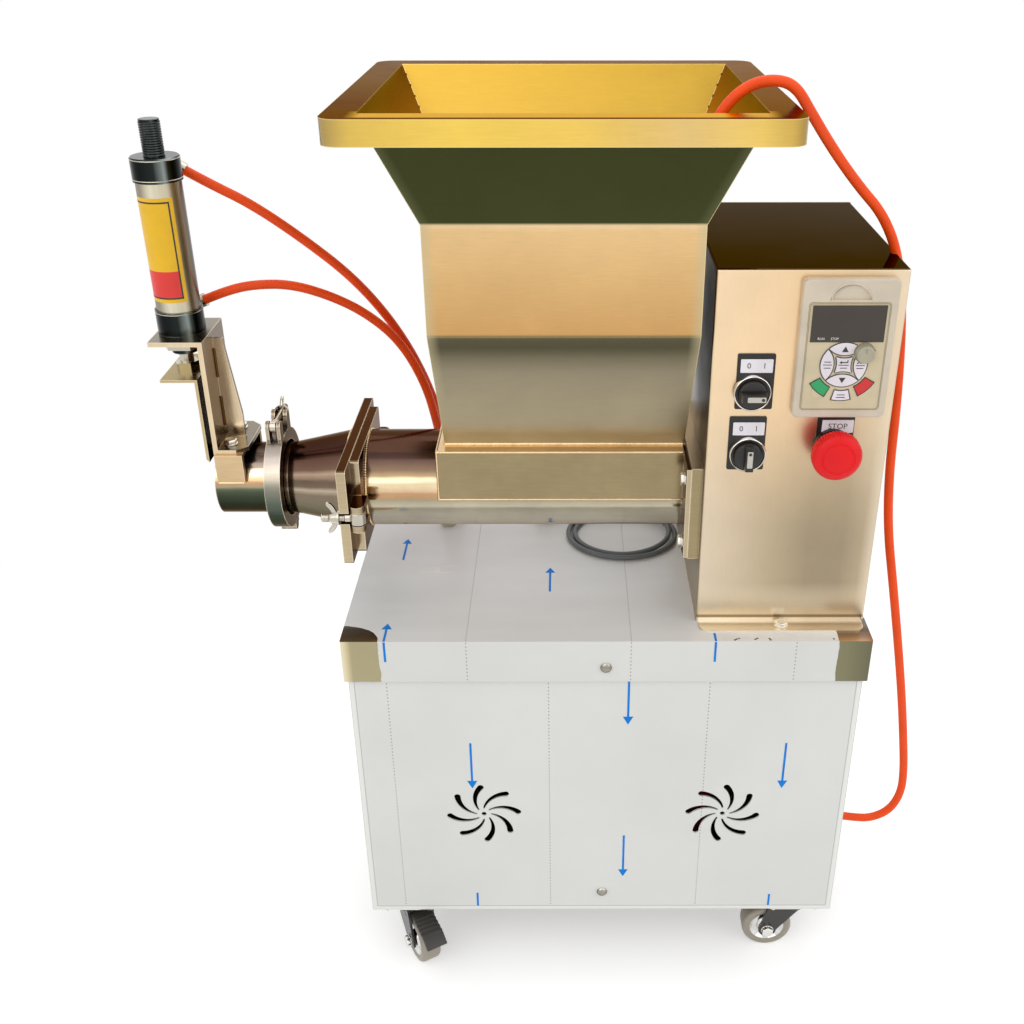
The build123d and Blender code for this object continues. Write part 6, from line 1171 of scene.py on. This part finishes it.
class DIVIDER_OT_fastenings(bpy.types.Operator):
    """Hexagon bolts with their washers in one piece, and pan screws in another"""
    bl_idname = "divider.fastenings"
    bl_label = "Fastenings"

    def execute(self, context):
        seats = [((x, AXIS_Y + y * END_BOLT_Y, AXIS_Z + z * END_BOLT_Z), turn)
                 for x, turn in END_BOLT_XS for y in SIDES for z in SIDES]
        seats += [((BOX_X, y, FOOT_SEAT), UP) for y in FOOT_BOLT_YS]
        seats += [((SADDLE_BOLT_X, AXIS_Y + y * SADDLE_BOLT_Y, SADDLE_SEAT), UP) for y in SIDES]
        seats += [((MOTOR_X + x * MOTOR_BOLT_X, AXIS_Y + y * MOTOR_BOLT_Y, MOTOR_SEAT), UP)
                  for x in SIDES for y in SIDES]
        under = [((x + dx * CASTOR_BOLT, y + dy * CASTOR_BOLT, CASTOR_SEAT), DOWN)
                 for x, y in SWIVELS for dx in SIDES for dy in SIDES]
        bolts = [scatter(hex_head(10.0, 4.0, 6.0), seats), scatter(hex_head(8.0, 3.5), under)]
        cross = join([put(block(size, 0.2, 1), (0, 0, CROSS_FLOOR))
                      for size in ((CROSS_L, CROSS_W, 3), (CROSS_W, CROSS_L, 3))])
        screw = cut(lathe(PAN_HEAD, 32), cross)
        heads = [(place, FRONT) for place in PANEL_SCREWS]
        heads += [((BOX_X + x * COVER_SCREW_X, COVER_FACE, COVER_Z + z * COVER_SCREW_Z), REAR)
                  for x in SIDES for z in SIDES]
        # Stainless screw heads: grey, with painted shade on the faces that look down.
        grey = finish("stainless_screw", folded_stainless, "#9A958A", "#5A554C", "#E4E0D6", "#38342C",
                      rough=0.22)
        settle(scatter(screw, heads), "pan_screws", grey, ROOT, "zinc_steel")
        # Zinc-plated heads with a painted reflection: nearly white on the flats that look at the light, dark
        # below.
        plated = finish("zinc_plated_heads", folded_stainless, "#CDC9C0", "#F0EEE8", "#F4F2EC", "#5A564E",
                        rough=0.25)
        settle(join(bolts), "fastenings", plated, ROOT, "zinc_steel", "fasteners")
        return {"FINISHED"}


# Eye bolts, in mm: radius, length, radius and height of the eye, radius of the pin
SWING_BOLT, CLAMP_BOLT = (4.0, 31.0, 6.5, 11.0, 3.1), (3.0, 47.0, 5.0, 6.0, 2.6)
THREAD_DEPTH, THREAD_PITCH = 0.45, 1.25
# Wing nuts, in mm: bore, radius of the hub, reach of an ear, and the outline of an ear that reaches 15
SWING_NUT, CLAMP_NUT = (4.1, 6.5, 15.0), (3.1, 6.5, 12.0)
EAR = ((3.6, 1.4), (7, 2.4), (10.5, 4.1), (13.4, 6.6), (14.8, 9.0), (14.6, 10.1), (13.4, 10.6), (11.6, 10.2),
       (9.4, 8.6), (7.2, 7.2), (5.4, 6.6), (4.6, 6.0))
EAR_REACH, EAR_T, EAR_BEVEL = 15.0, 3.0, 0.9


class DIVIDER_OT_outlet_hardware(bpy.types.Operator):
    """Swing bolts and wing nuts at the outlet plate and the bolt and wing nut of the pipe clamp"""
    bl_idname = "divider.outlet_hardware"
    bl_label = "Outlet hardware"

    def eye_bolt(self, radius, length, eye_r, eye_h, pin_r):
        """An eye bolt: its pin along Z, its threaded shank along X."""
        half = eye_h / 2
        eye = lathe([(pin_r, -half), (eye_r - 0.6, -half), (eye_r, 0.6 - half), (eye_r, half - 0.6),
                     (eye_r - 0.6, half), (pin_r, half)], 40, True)
        start = eye_r - 1
        shank = lathe([(radius * 0.8, start), (radius, start + 1), (radius, start + 5)]
                      + threaded(radius, THREAD_DEPTH, start + 5, length, THREAD_PITCH), 32, angle=20)
        return join([eye, put(shank, ORIGIN, RIGHT)])

    def wing_nut(self, bore, hub_r, reach):
        """A wing nut on its seat: a turned hub along Z with two ears along X."""
        hub = lathe([(bore, 0), (hub_r, 0), (hub_r, 1.2), (hub_r - 0.5, 2.0), (hub_r - 1.2, 6.4),
                     (hub_r - 1.9, 7.6), (bore + 0.4, 7.6)], 40, True)
        share = reach / EAR_REACH
        ears = [put(plate([[(way * x * share, z) for x, z in EAR]], EAR_T, EAR_BEVEL), (0, EAR_T / 2, 0),
                    FRONT) for way in (1, -1)]
        return cut(join([hub] + ears), lathe([(bore, -1), (bore, 12)], 32))

    def execute(self, context):
        steel = turned_steel()
        for side, pin in SWING_PINS.items():
            bolt = put(self.eye_bolt(*SWING_BOLT), pin, (0, 0, 180))
            settle(bolt, "eye_bolt_" + side, steel, "bolt_" + side, "bright_steel", "swing_bolt_" + side)
            nut = put(self.wing_nut(*SWING_NUT), (SWING_SEAT_X, pin[1], pin[2]), LEFT)
            settle(nut, "butterfly_nut_" + side, steel, "nut_" + side, "bright_steel", "wing_nut_" + side)
        bolt = put(self.eye_bolt(*CLAMP_BOLT), CLAMP_PIN, (90, 0, 90))
        settle(bolt, "clamp_eye_bolt", steel, "bolt_clamp", "bright_steel", "clamp_bolt")
        nut = put(self.wing_nut(*CLAMP_NUT), (CLAMP_PIN[0], CLAMP_SEAT_Y, CLAMP_PIN[2]), (-90, -90, 0))
        settle(nut, "clamp_butterfly_nut", steel, "nut_clamp", "bright_steel", "clamp_nut")
        return {"FINISHED"}


# The label's angles in degrees and heights in mm, the inset of its border and the border's width
LABEL_START, LABEL_END, LABEL_LOW, LABEL_HIGH = -200.0, -44.0, 662.0, 747.0
BORDER_TURN, BORDER_INSET, BORDER_W, BORDER_W_TURN, LABEL_FOOT_H = 10, 3, 1.3, 4, 23
STUD_R, STUD_DEPTH, STUD_LOW, STUD_HIGH = 8.6, 0.55, 777.2, 805.0
CAP_EDGE_R, CAP_EDGES = 19.45, (760.0, 775.5, 651.5)


class DIVIDER_OT_cylinder(bpy.types.Operator):
    """The bare label and the stud's thread on the air cylinder"""
    bl_idname = "divider.cylinder"
    bl_label = "Cylinder"

    def execute(self, context):
        colours = context.scene.divider_colours
        # Vinyl label: clear flat colours with a soft gloss.
        yellow = finish("yellow_vinyl", skin, colours.label, rough=0.35, grit=0.004, depth=0.02)
        red = finish("red_vinyl", skin, colours.label_foot, rough=0.35, grit=0.004, depth=0.02)
        place = (CYLINDER_X, AXIS_Y, 0)
        start, end = LABEL_START + BORDER_TURN, LABEL_END - BORDER_TURN
        low, high = LABEL_LOW + BORDER_INSET, LABEL_HIGH - BORDER_INSET
        field = sleeve(TUBE_R - 0.05, 0.15, LABEL_LOW, LABEL_HIGH, LABEL_START, LABEL_END)
        settle(put(field, place), "label_field", yellow, ROOT, "film_covered_steel")
        foot = sleeve(TUBE_R, 0.14, low, low + LABEL_FOOT_H, start, end)
        settle(put(foot, place), "label_foot", red, ROOT, "film_covered_steel")
        lines = [sleeve(TUBE_R, 0.18, *edges) for edges in (
            (low, low + BORDER_W, start, end), (high - BORDER_W, high, start, end),
            (low, high, start, start + BORDER_W_TURN), (low, high, end - BORDER_W_TURN, end))]
        settle(put(join(lines), place), "label_border", dark_print(), ROOT, "film_covered_steel")
        pitch = context.scene.divider_sizes.pitch / MM
        thread = lathe(threaded(STUD_R, STUD_DEPTH, STUD_LOW, STUD_HIGH, pitch), 48, angle=20)
        # Blackened steel: dark, with a painted gleam and bright crests, a painted highlight on its edges.
        black = finish("blackened_steel", round_metal, STUD_TONES, 0.25, "#5A605D")
        settle(put(thread, place), "stud_thread", black, ROOT, "black_aluminium")
        rings = [lathe([(CAP_EDGE_R, z - 0.4), (CAP_EDGE_R + 0.25, z), (CAP_EDGE_R, z + 0.4)], 64)
                 for z in CAP_EDGES]
        settle(put(join(rings), place), "cap_edges", turned_steel(), ROOT, "black_aluminium")
        return {"FINISHED"}


# Tags on the legend plates: place across and up, in mm, and words
TAGS = ((181.4, 631.7, "0     1"), (178.9, 577.9, "0     1"), (250.4, 580.0, "STOP"))
TAG_W, TAG_H, TAG_T, TAG_LETTER = 25.5, 11.3, 0.4, 6.5
# Profiles of turned pieces: radius and height, in mm. The stop button's head starts at its neck.
BEZEL = [(13.5, -1.5), (13.5, 0.3), (13.7, 0.8), (14.2, 1.0), (14.7, 0.6), (14.9, -0.4), (14.9, -4.4),
         (14.0, -4.4)]
KNOB_BASE = [(11.4, 0), (11.4, 4.6), (10.9, 5.6), (10.2, 6.0), (0.05, 6.0)]
STOP_HEAD = ((12.0, -5.5), (12.0, 0), (18.8, 0), (20.0, 1.2), (20.0, 8.0), (19.4, 9.8), (18.2, 11.4),
             (16.2, 12.6), (13.6, 13.3), (13.1, 12.8), (12.3, 12.8), (11.8, 13.4), (6.0, 13.8), (0.05, 14.0))
STOP_STEM_R, STOP_HEAD_H, STOP_SEGMENTS = 5.0, 14.0, 144
KNOB_BAR, INLAY_X, DOT_X = (22.3, 8, 15), 1.6, 6.6


class DIVIDER_OT_switches(bpy.types.Operator):
    """Selector knobs, their bezels, the stop button and the tags on the legend plates"""
    bl_idname = "divider.switches"
    bl_label = "Switches"

    def knob(self):
        """A selector knob along Z: a turned base and a bar across it with sloping ends."""
        base = lathe(KNOB_BASE, 56)
        bar = block(KNOB_BAR, 0.6, 2)
        pick(bar, "VERT", lambda spot: spot.z > 10)
        bpy.ops.transform.resize(value=(0.84, 0.8, 1), center_override=ORIGIN)
        return join([base, mend(bar)])

    def fit(self, obj, turn, place):
        """Turn a piece about its own axis and set it in its place on the front."""
        return put(put(obj, ORIGIN, (0, 0, turn)), place, FRONT)

    def execute(self, context):
        tags, words, chrome = [], [], []
        for x, z, word in TAGS:
            tags.append(put(plate([rounded(TAG_W, TAG_H, 0.7)], TAG_T, 0.1), (x, LEGEND_FACE, z), FRONT))
            words.append(put(lettering(word, TAG_LETTER), (x, LEGEND_FACE - TAG_T, z), FRONT))
        settle(join(tags), "legend_tags", white_print(), ROOT, "grey_plastic")
        settle(join(words), "legend_words", dark_print(), ROOT, "black_plastic")
        # Chromed bezel: a painted reflection, white above and dark below where it looks at the deck.
        mirror = finish("chromed_bezel", folded_stainless, "#E0DCD4", "#A09A90", "#FFFFFF", "#4A4640",
                        rough=0.2)
        # Inlay of the knobs: pale grey, moulded in.
        grey = finish("pale_grey_abs", skin, "#CFCAC0", rough=0.4, grit=0.0009, depth=0.08)
        for which, turn in (("upper", 0), ("lower", 90)):
            body, place = "selector_" + which, (SELECTOR_X, KNOB_BACK, SELECTOR_ZS[which])
            chrome.append(put(lathe(BEZEL, 72, True), (SELECTOR_X, BEZEL_FACE, SELECTOR_ZS[which]), FRONT))
            settle(self.fit(self.knob(), turn, place), "turn_knob_" + which, black_moulding(), body,
                   "black_plastic", "selector_knob_" + which)
            inlay = put(plate([rounded(14.5, 4.4, 0.8)], 0.3, 0.08), (INLAY_X, 0, KNOB_BAR[2]))
            settle(self.fit(inlay, turn, place), "knob_inlay_" + which, grey, body, "grey_plastic")
            dot = put(plate([arc(1.3, 0, 345, 23)], 0.2), (DOT_X, 0, KNOB_BAR[2] + 0.3))
            settle(self.fit(dot, turn, place), "knob_dot_" + which, dark_print(), body, "black_plastic")
        settle(join(chrome), "bezel_rings", mirror, ROOT, "bright_steel")
        low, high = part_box("estop_head")
        back, tall = high[1] / MM, (high[1] - low[1]) / MM
        neck = tall - STOP_HEAD_H
        stem = [(STOP_STEM_R, 0), (STOP_STEM_R, neck - 5.5)]
        head = lathe(stem + [(radius, neck + rise) for radius, rise in STOP_HEAD], STOP_SEGMENTS)
        flute(head, 19.8, STOP_SEGMENTS, 3, 0.955)
        # Stop button: clear red polycarbonate, glossy.
        red = finish("red_polycarbonate", skin, context.scene.divider_colours.stop, rough=0.4, grit=0.0015,
                     depth=0.04, shine=0.3)
        settle(put(head, (STOP_X, back, STOP_Z), FRONT), "stop_button", red, "estop", "red_plastic",
               "estop_head")
        return {"FINISHED"}


# Keys, in mm: how far an outline stands out, its thickness, the keys' bevel, and the room for the speed knob
OUTLINE_W, OUTLINE_T, KEY_BEVEL, KNOB_ROOM_R = 0.8, 0.14, 0.05, 8.3
# Keys that are part of a ring: inner and outer radius, and start and end in degrees
FOOT_KEY, RUN_KEY, HALT_KEY = (21.8, 29.6, 257, 285), (21.0, 29.0, 213, 243), (21.0, 29.0, 299, 329)
# Signs on the keys, from the middle of the enter key: triangles, a chevron, a return arrow and plain bars,
# which have a place and a width
TRIANGLES = [[(-2.6, 10.6), (2.6, 10.6), (0, 15.2)], [(-2.6, -10.6), (0, -15.2), (2.6, -10.6)]]
CHEVRON, CHEVRON_STEP = ((10.6, 4.6), (12.8, 2.6), (10.6, 0.6), (10.0, 1.1), (11.6, 2.6), (10.0, 4.1)), 2.4
RETURN_ARROW = [(-3.6, 2.0), (-1.6, 3.4), (-1.6, 2.4), (2.6, 2.4), (2.6, 4.0), (3.3, 4.0), (3.3, 1.6),
                (-1.6, 1.6), (-1.6, 0.6)]
BARS = ((-12.7, 2.4, 5.4), (-12.7, 0.0, 7.0), (-12.7, -2.6, 5.4), (12.9, -0.6, 7.0), (12.9, -2.9, 5.4),
        (0, -0.2, 8.0), (0, -2.6, 5.4), (0.4, -25.0, 6.0), (0.2, -27.2, 7.0))
BAR_HALF, SIGN_T = 0.3, 0.1
# The minus and the plus by the speed knob: place, width and height
DIAL_SIGNS = ((23.6, 19.2, 2.2, 0.5), (22.6, 11.6, 2.2, 0.5), (22.6, 11.6, 0.5, 2.2))
DISPLAY_X, DISPLAY_Z, DISPLAY_W, DISPLAY_H, DISPLAY_T = 248.0, 668.25, 57.0, 29.5, 0.3
MARKS, MARKS_Z, MARK_LETTER, MARK_T = {"RUN": 228.0, "STOP": 238.5}, 656.3, 2.6, 0.06
RECESS_X, RECESS_Z, RECESS_R, LIP_W = 249.0, 686.0, 15.2, 1.0
OVERLAY_X, OVERLAY_Z, OVERLAY_W, OVERLAY_H, LINE_T = 248.05, 641.0, 61.5, 87.0, 0.06
DIAL_RING_R, DIAL_RING_W, DIAL_SEGMENTS = 8.0, 0.6, 60


class DIVIDER_OT_keypad(bpy.types.Operator):
    """Display, keys, finger recess and speed knob of the keypad"""
    bl_idname = "divider.keypad"
    bl_label = "Keypad"

    def petal(self, grow):
        """Outline of the key above the enter key: a lens between two arcs."""
        spare = 2.4 * grow
        return arc(18.0 + grow, 49 - spare, 131 + spare, 20) + arc(17.3 + grow, 224, 316, 20, (0, 25.3))

    def enter(self, grow):
        """Outline of the enter key: a square with sides that curve in."""
        sides = []
        for turn in QUARTERS:
            angle = radians(turn)
            for x, y in arc(18.6 - grow, 250.5, 289.5, 8, (0, 23.9)):
                sides.append((x * cos(angle) + y * sin(angle), y * cos(angle) - x * sin(angle)))
        return [(-x, -y) for x, y in sides[::-1]]

    def sector(self, inner, outer, start, end, grow):
        """Outline of a key that is part of a ring."""
        first, last = start - 2.3 * grow, end + 2.3 * grow
        return arc(outer + grow, first, last, 8) + arc(inner - grow, last, first, 8)

    def bar(self, x, y, wide):
        """Outline of a plain bar on a key."""
        left, right = x - wide / 2, x + wide / 2
        return [(left, y - BAR_HALF), (right, y - BAR_HALF), (right, y + BAR_HALF), (left, y + BAR_HALF)]

    def keys(self, context):
        """The key tops, their outlines and the signs on them"""
        colours = context.scene.divider_colours
        rise = context.scene.divider_sizes.key / MM
        place = (KEYS_X, KEYPAD_FACE, KEYS_Z)
        # Polyester key tops, pale, green and red, with a soft gloss.
        pale = finish("pale_key_polyester", skin, "#EFE7EE", rough=0.4, grit=0.001, depth=0.04)
        green = finish("green_key_polyester", skin, colours.run_key, rough=0.4, grit=0.001, depth=0.04)
        red = finish("red_key_polyester", skin, colours.halt_key, rough=0.4, grit=0.001, depth=0.04)
        tops, outlines = [], []
        layers = ((0.0, rise, tops), (OUTLINE_W, OUTLINE_T, outlines))
        for turn in QUARTERS:
            for grow, thick, pile in layers:
                key = put(plate([self.petal(grow)], thick, KEY_BEVEL), ORIGIN, (0, 0, turn))
                knob_room = lathe([(KNOB_ROOM_R, -2), (KNOB_ROOM_R, 3)], 40)
                pile.append(cut(key, put(knob_room, (POT_X - KEYS_X, POT_Z - KEYS_Z, 0))))
        for grow, thick, pile in layers:
            pile.append(plate([self.enter(grow)], thick, KEY_BEVEL))
            pile.append(plate([self.sector(*FOOT_KEY, grow)], thick, KEY_BEVEL))
            for name, made, ring in (("run_key", green, RUN_KEY), ("halt_key", red, HALT_KEY)):
                key = plate([self.sector(*ring, grow)], thick, KEY_BEVEL)
                if grow:
                    pile.append(key)
                else:
                    settle(put(key, place, FRONT), name, made, ROOT, "grey_plastic")
        settle(put(join(tops), place, FRONT), "key_tops", pale, ROOT, "grey_plastic")
        chevrons = [[(x + shift, y) for x, y in CHEVRON] for shift in (0.0, CHEVRON_STEP)]
        signs = TRIANGLES + chevrons + [RETURN_ARROW] + [self.bar(*spot) for spot in BARS]
        outlines.append(put(plate(signs, SIGN_T), (0, 0, rise)))
        outlines += [put(plate([rounded(wide, tall, 0.1)], SIGN_T), (x, y, 0))
                     for x, y, wide, tall in DIAL_SIGNS]
        settle(put(join(outlines), place, FRONT), "key_outlines", dark_print(), ROOT, "black_plastic")

    def display(self):
        """The display's window and the marks on it"""
        # Display window: smoked acrylic, dark and glossy.
        smoked = finish("smoked_acrylic", skin, "#3B3129", rough=0.16, grit=0.004, depth=0.01, coat=0.2)
        window = plate([rounded(DISPLAY_W, DISPLAY_H, 0.6)], DISPLAY_T, 0.08)
        settle(put(window, (DISPLAY_X, KEYPAD_FACE, DISPLAY_Z), FRONT), "display_window", smoked, ROOT,
               "black_plastic")
        marks = [put(lettering(word, MARK_LETTER, MARK_T), (x, KEYPAD_FACE - DISPLAY_T, MARKS_Z), FRONT)
                 for word, x in MARKS.items()]
        settle(join(marks), "display_marks", white_print(), ROOT, "grey_plastic")

    def recess(self, painted_shade):
        """The finger recess: a shallow half-moon with a raised lip and painted shade on its upper wall"""
        lip = plate([arc(RECESS_R + LIP_W, 0, 180, 28) + arc(RECESS_R, 180, 0, 28)], 0.7, 0.2)
        shade = plate([arc(RECESS_R, 14, 166, 28) + arc(17.0, 150, 30, 28, (0, -4.6))], 0.16)
        settle(put(lip, (RECESS_X, KEYPAD_FACE + 0.8, RECESS_Z), FRONT), "recess_lip",
               bpy.data.materials["warm_grey_abs"], ROOT, "grey_plastic")
        settle(put(shade, (RECESS_X, KEYPAD_FACE + 0.75, RECESS_Z), FRONT), "recess_shade", painted_shade, ROOT,
               "grey_plastic")

    def lines(self, painted_shade):
        """A fine line of painted shade round the overlay and a ring of painted shadow round the speed knob"""
        edges = [rounded(OVERLAY_W, OVERLAY_H, 2.6), rounded(OVERLAY_W - 1, OVERLAY_H - 1, 2.2)]
        border = plate(edges, LINE_T)
        ring = plate([arc(DIAL_RING_R, 0, 352, 44), arc(DIAL_RING_R - DIAL_RING_W, 0, 352, 44)], LINE_T)
        pair = [put(border, (OVERLAY_X, KEYPAD_FACE, OVERLAY_Z), FRONT),
                put(ring, (POT_X, KEYPAD_FACE, POT_Z), FRONT)]
        settle(join(pair), "overlay_lines", painted_shade, ROOT, "grey_plastic")

    def dial(self, painted_shade):
        """The fluted speed knob and its mark"""
        low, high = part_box("pot_knob")
        back, tall = high[1] / MM, (high[1] - low[1]) / MM
        knob = lathe([(3.0, 0), (3.0, tall - 7), (7.2, tall - 7), (7.2, tall - 1.2), (6.8, tall - 0.4),
                      (6.2, tall), (5.6, tall), (5.2, tall - 0.35), (0.05, tall - 0.35)], DIAL_SEGMENTS)
        flute(knob, 7.1, DIAL_SEGMENTS, 2, 0.97)
        # The speed knob's ABS is a darker, greener grey than the keypad's.
        olive = finish("olive_grey_abs", skin, "#B6B099", rough=0.42, grit=0.0009, depth=0.08)
        settle(put(knob, (POT_X, back, POT_Z), FRONT), "speed_dial", olive, "speed_knob", "grey_plastic",
               "pot_knob")
        # The knob's notch is drawn as a dark mark in painted shade.
        notch = put(plate([rounded(0.9, 3.6, 0.3)], 0.3), (0, 3.2, tall - 0.35))
        settle(put(notch, (POT_X, back, POT_Z), FRONT), "speed_mark", painted_shade, "speed_knob", "grey_plastic")

    def execute(self, context):
        self.keys(context)
        self.display()
        # ABS for painted shade and shadow: darker and dull.
        painted_shade = finish("shaded_grey_abs", skin, "#9E9684", rough=0.5, grit=0.0009, depth=0.1)
        self.recess(painted_shade)
        self.lines(painted_shade)
        self.dial(painted_shade)
        return {"FINISHED"}


# Profiles of a wheel: radius and height, in mm, of its tyre and its dished disc
TYRE = [(17.0, -8.6), (21.8, -10.0), (23.6, -9.4), (24.6, -8.0), (25.0, -6.0), (25.0, 6.0), (24.6, 8.0),
        (23.6, 9.4), (21.8, 10.0), (17.0, 8.6)]
DISC = [(4.1, -9.6), (8.0, -9.6), (9.2, -8.8), (10.4, -6.4), (14.0, -6.0), (15.6, -7.2), (17.3, -8.9),
        (17.3, 8.9), (15.6, 7.2), (14.0, 6.0), (10.4, 6.4), (9.2, 8.8), (8.0, 9.6), (4.1, 9.6)]
# The pedal's side view from its pin, in mm: its foot, one of its ribs, the step between ribs, and its heel
PEDAL_PIN, PEDAL_W = (15.0, 54.5), 21.0
PEDAL_FOOT = [(0, -1), (12, -0.5), (36, -5), (44, -11), (47, -9), (45.6, -7.4), (38, -2)]
PEDAL_RIB, RIBS, RIB_STEP, RIB_RISE = ((37, -1.8), (36.4, -0.4), (34.2, 0.1), (33.4, -1.1)), 5, 5, 0.96
PEDAL_HEEL = [(12, 3), (0, 3)]
BOSS_R, PIN_R, PIN_SPARE = 4.4, 2.4, 3.0


class DIVIDER_OT_castors(bpy.types.Operator):
    """Tyres, dished wheel discs, axle nuts and the brake pedal of the castors"""
    bl_idname = "divider.castors"
    bl_label = "Castors"

    def pedal(self):
        """The brake pedal on its pin, upright and square to X"""
        ribs = [(along - RIB_STEP * step, rise + RIB_RISE * step)
                for step in range(RIBS) for along, rise in PEDAL_RIB]
        edge = [(PEDAL_PIN[0] + along, PEDAL_PIN[1] + rise) for along, rise in PEDAL_FOOT + ribs + PEDAL_HEEL]
        tread = plate([edge], PEDAL_W, 0.5)
        barrel = [(BOSS_R - 0.5, 0), (BOSS_R, 0.5), (BOSS_R, PEDAL_W - 0.5), (BOSS_R - 0.5, PEDAL_W)]
        boss = put(lathe(barrel, 40), PEDAL_PIN + (0,))
        pin = put(lathe([(PIN_R, -PIN_SPARE), (PIN_R, PEDAL_W + PIN_SPARE)], 32), PEDAL_PIN + (0,))
        return put(join([tread, boss, pin]), (0, 0, -PEDAL_W / 2))

    def execute(self, context):
        # Polyurethane tyre: warm grey, with a soft gloss.
        rubber = finish("grey_polyurethane", skin, "#A79F90", rough=0.42, grit=0.001, depth=0.08)
        # Chromed disc: a bright mirror.
        chrome = finish("bright_chrome", skin, "#DAD9D6", rough=0.12, grit=0.002, depth=0.01, metallic=1.0)
        tyre, disc, nut = lathe(TYRE, 72, True), lathe(DISC, 72, True), hex_head(10.4, 4.2, 6.2)
        for name, (centre, turn) in WHEELS.items():
            upright, wheel = (90, 0, turn), "wheel_" + name
            settle(put(twin(tyre), centre, upright), "tyre_" + name, rubber, wheel, "grey_tyre",
                   "castor_wheel_" + name)
            settle(put(twin(disc), centre, upright), "wheel_disc_" + name, chrome, wheel, "zinc_steel")
            ends = [put(put(twin(nut), (0, 0, side), way), centre, upright)
                    for side, way in ((FORK_HALF, UP), (-FORK_HALF, DOWN))]
            settle(join(ends), "axle_nuts_" + name, zinc_steel(), "fork_" + name, "zinc_steel")
        for pattern in (tyre, disc, nut):
            bpy.data.objects.remove(pattern)
        # Moulded nylon: nearly black and dull.
        nylon = finish("dark_nylon", skin, "#3A3633", rough=0.42, grit=0.0012, depth=0.1)
        pedal = put(self.pedal(), SWIVELS[0] + (0,), (90, 0, WHEELS["front_left"][1]))
        settle(pedal, "ribbed_pedal", nylon, "pedal", "black_plastic", "brake_pedal")
        return {"FINISHED"}


class DIVIDER_PT_panel(bpy.types.Panel):
    """Buttons for each group of pieces and the values that they use"""
    bl_idname = "DIVIDER_PT_panel"
    bl_label = "Dough divider"
    bl_space_type = "VIEW_3D"
    bl_region_type = "UI"
    bl_category = "Divider"

    def draw(self, context):
        scene = context.scene
        for step in STEPS:
            self.layout.operator(step.bl_idname)
        for group in (scene.divider_sizes, scene.divider_colours, scene.divider_lights):
            for value in type(group).__annotations__:
                self.layout.prop(group, value)


STEPS = (DIVIDER_OT_stage, DIVIDER_OT_hoses, DIVIDER_OT_steelwork, DIVIDER_OT_film, DIVIDER_OT_welds,
         DIVIDER_OT_fastenings, DIVIDER_OT_outlet_hardware, DIVIDER_OT_cylinder, DIVIDER_OT_switches,
         DIVIDER_OT_keypad, DIVIDER_OT_castors)
CLASSES = (DividerLights, DividerColours, DividerSizes) + STEPS + (DIVIDER_PT_panel,)


def register():
    for item in CLASSES:
        bpy.utils.register_class(item)
    bpy.types.Scene.divider_lights = PointerProperty(type=DividerLights)
    bpy.types.Scene.divider_colours = PointerProperty(type=DividerColours)
    bpy.types.Scene.divider_sizes = PointerProperty(type=DividerSizes)


def unregister():
    del bpy.types.Scene.divider_sizes
    del bpy.types.Scene.divider_colours
    del bpy.types.Scene.divider_lights
    for item in reversed(CLASSES):
        bpy.utils.unregister_class(item)


def main():
    """Register the add-on and make every group of pieces in order."""
    register()
    bpy.ops.divider.stage()
    bpy.ops.divider.hoses()
    bpy.ops.divider.steelwork()
    bpy.ops.divider.film()
    bpy.ops.divider.welds()
    bpy.ops.divider.fastenings()
    bpy.ops.divider.outlet_hardware()
    bpy.ops.divider.cylinder()
    bpy.ops.divider.switches()
    bpy.ops.divider.keypad()
    bpy.ops.divider.castors()


if __name__ == "__main__":
    main()
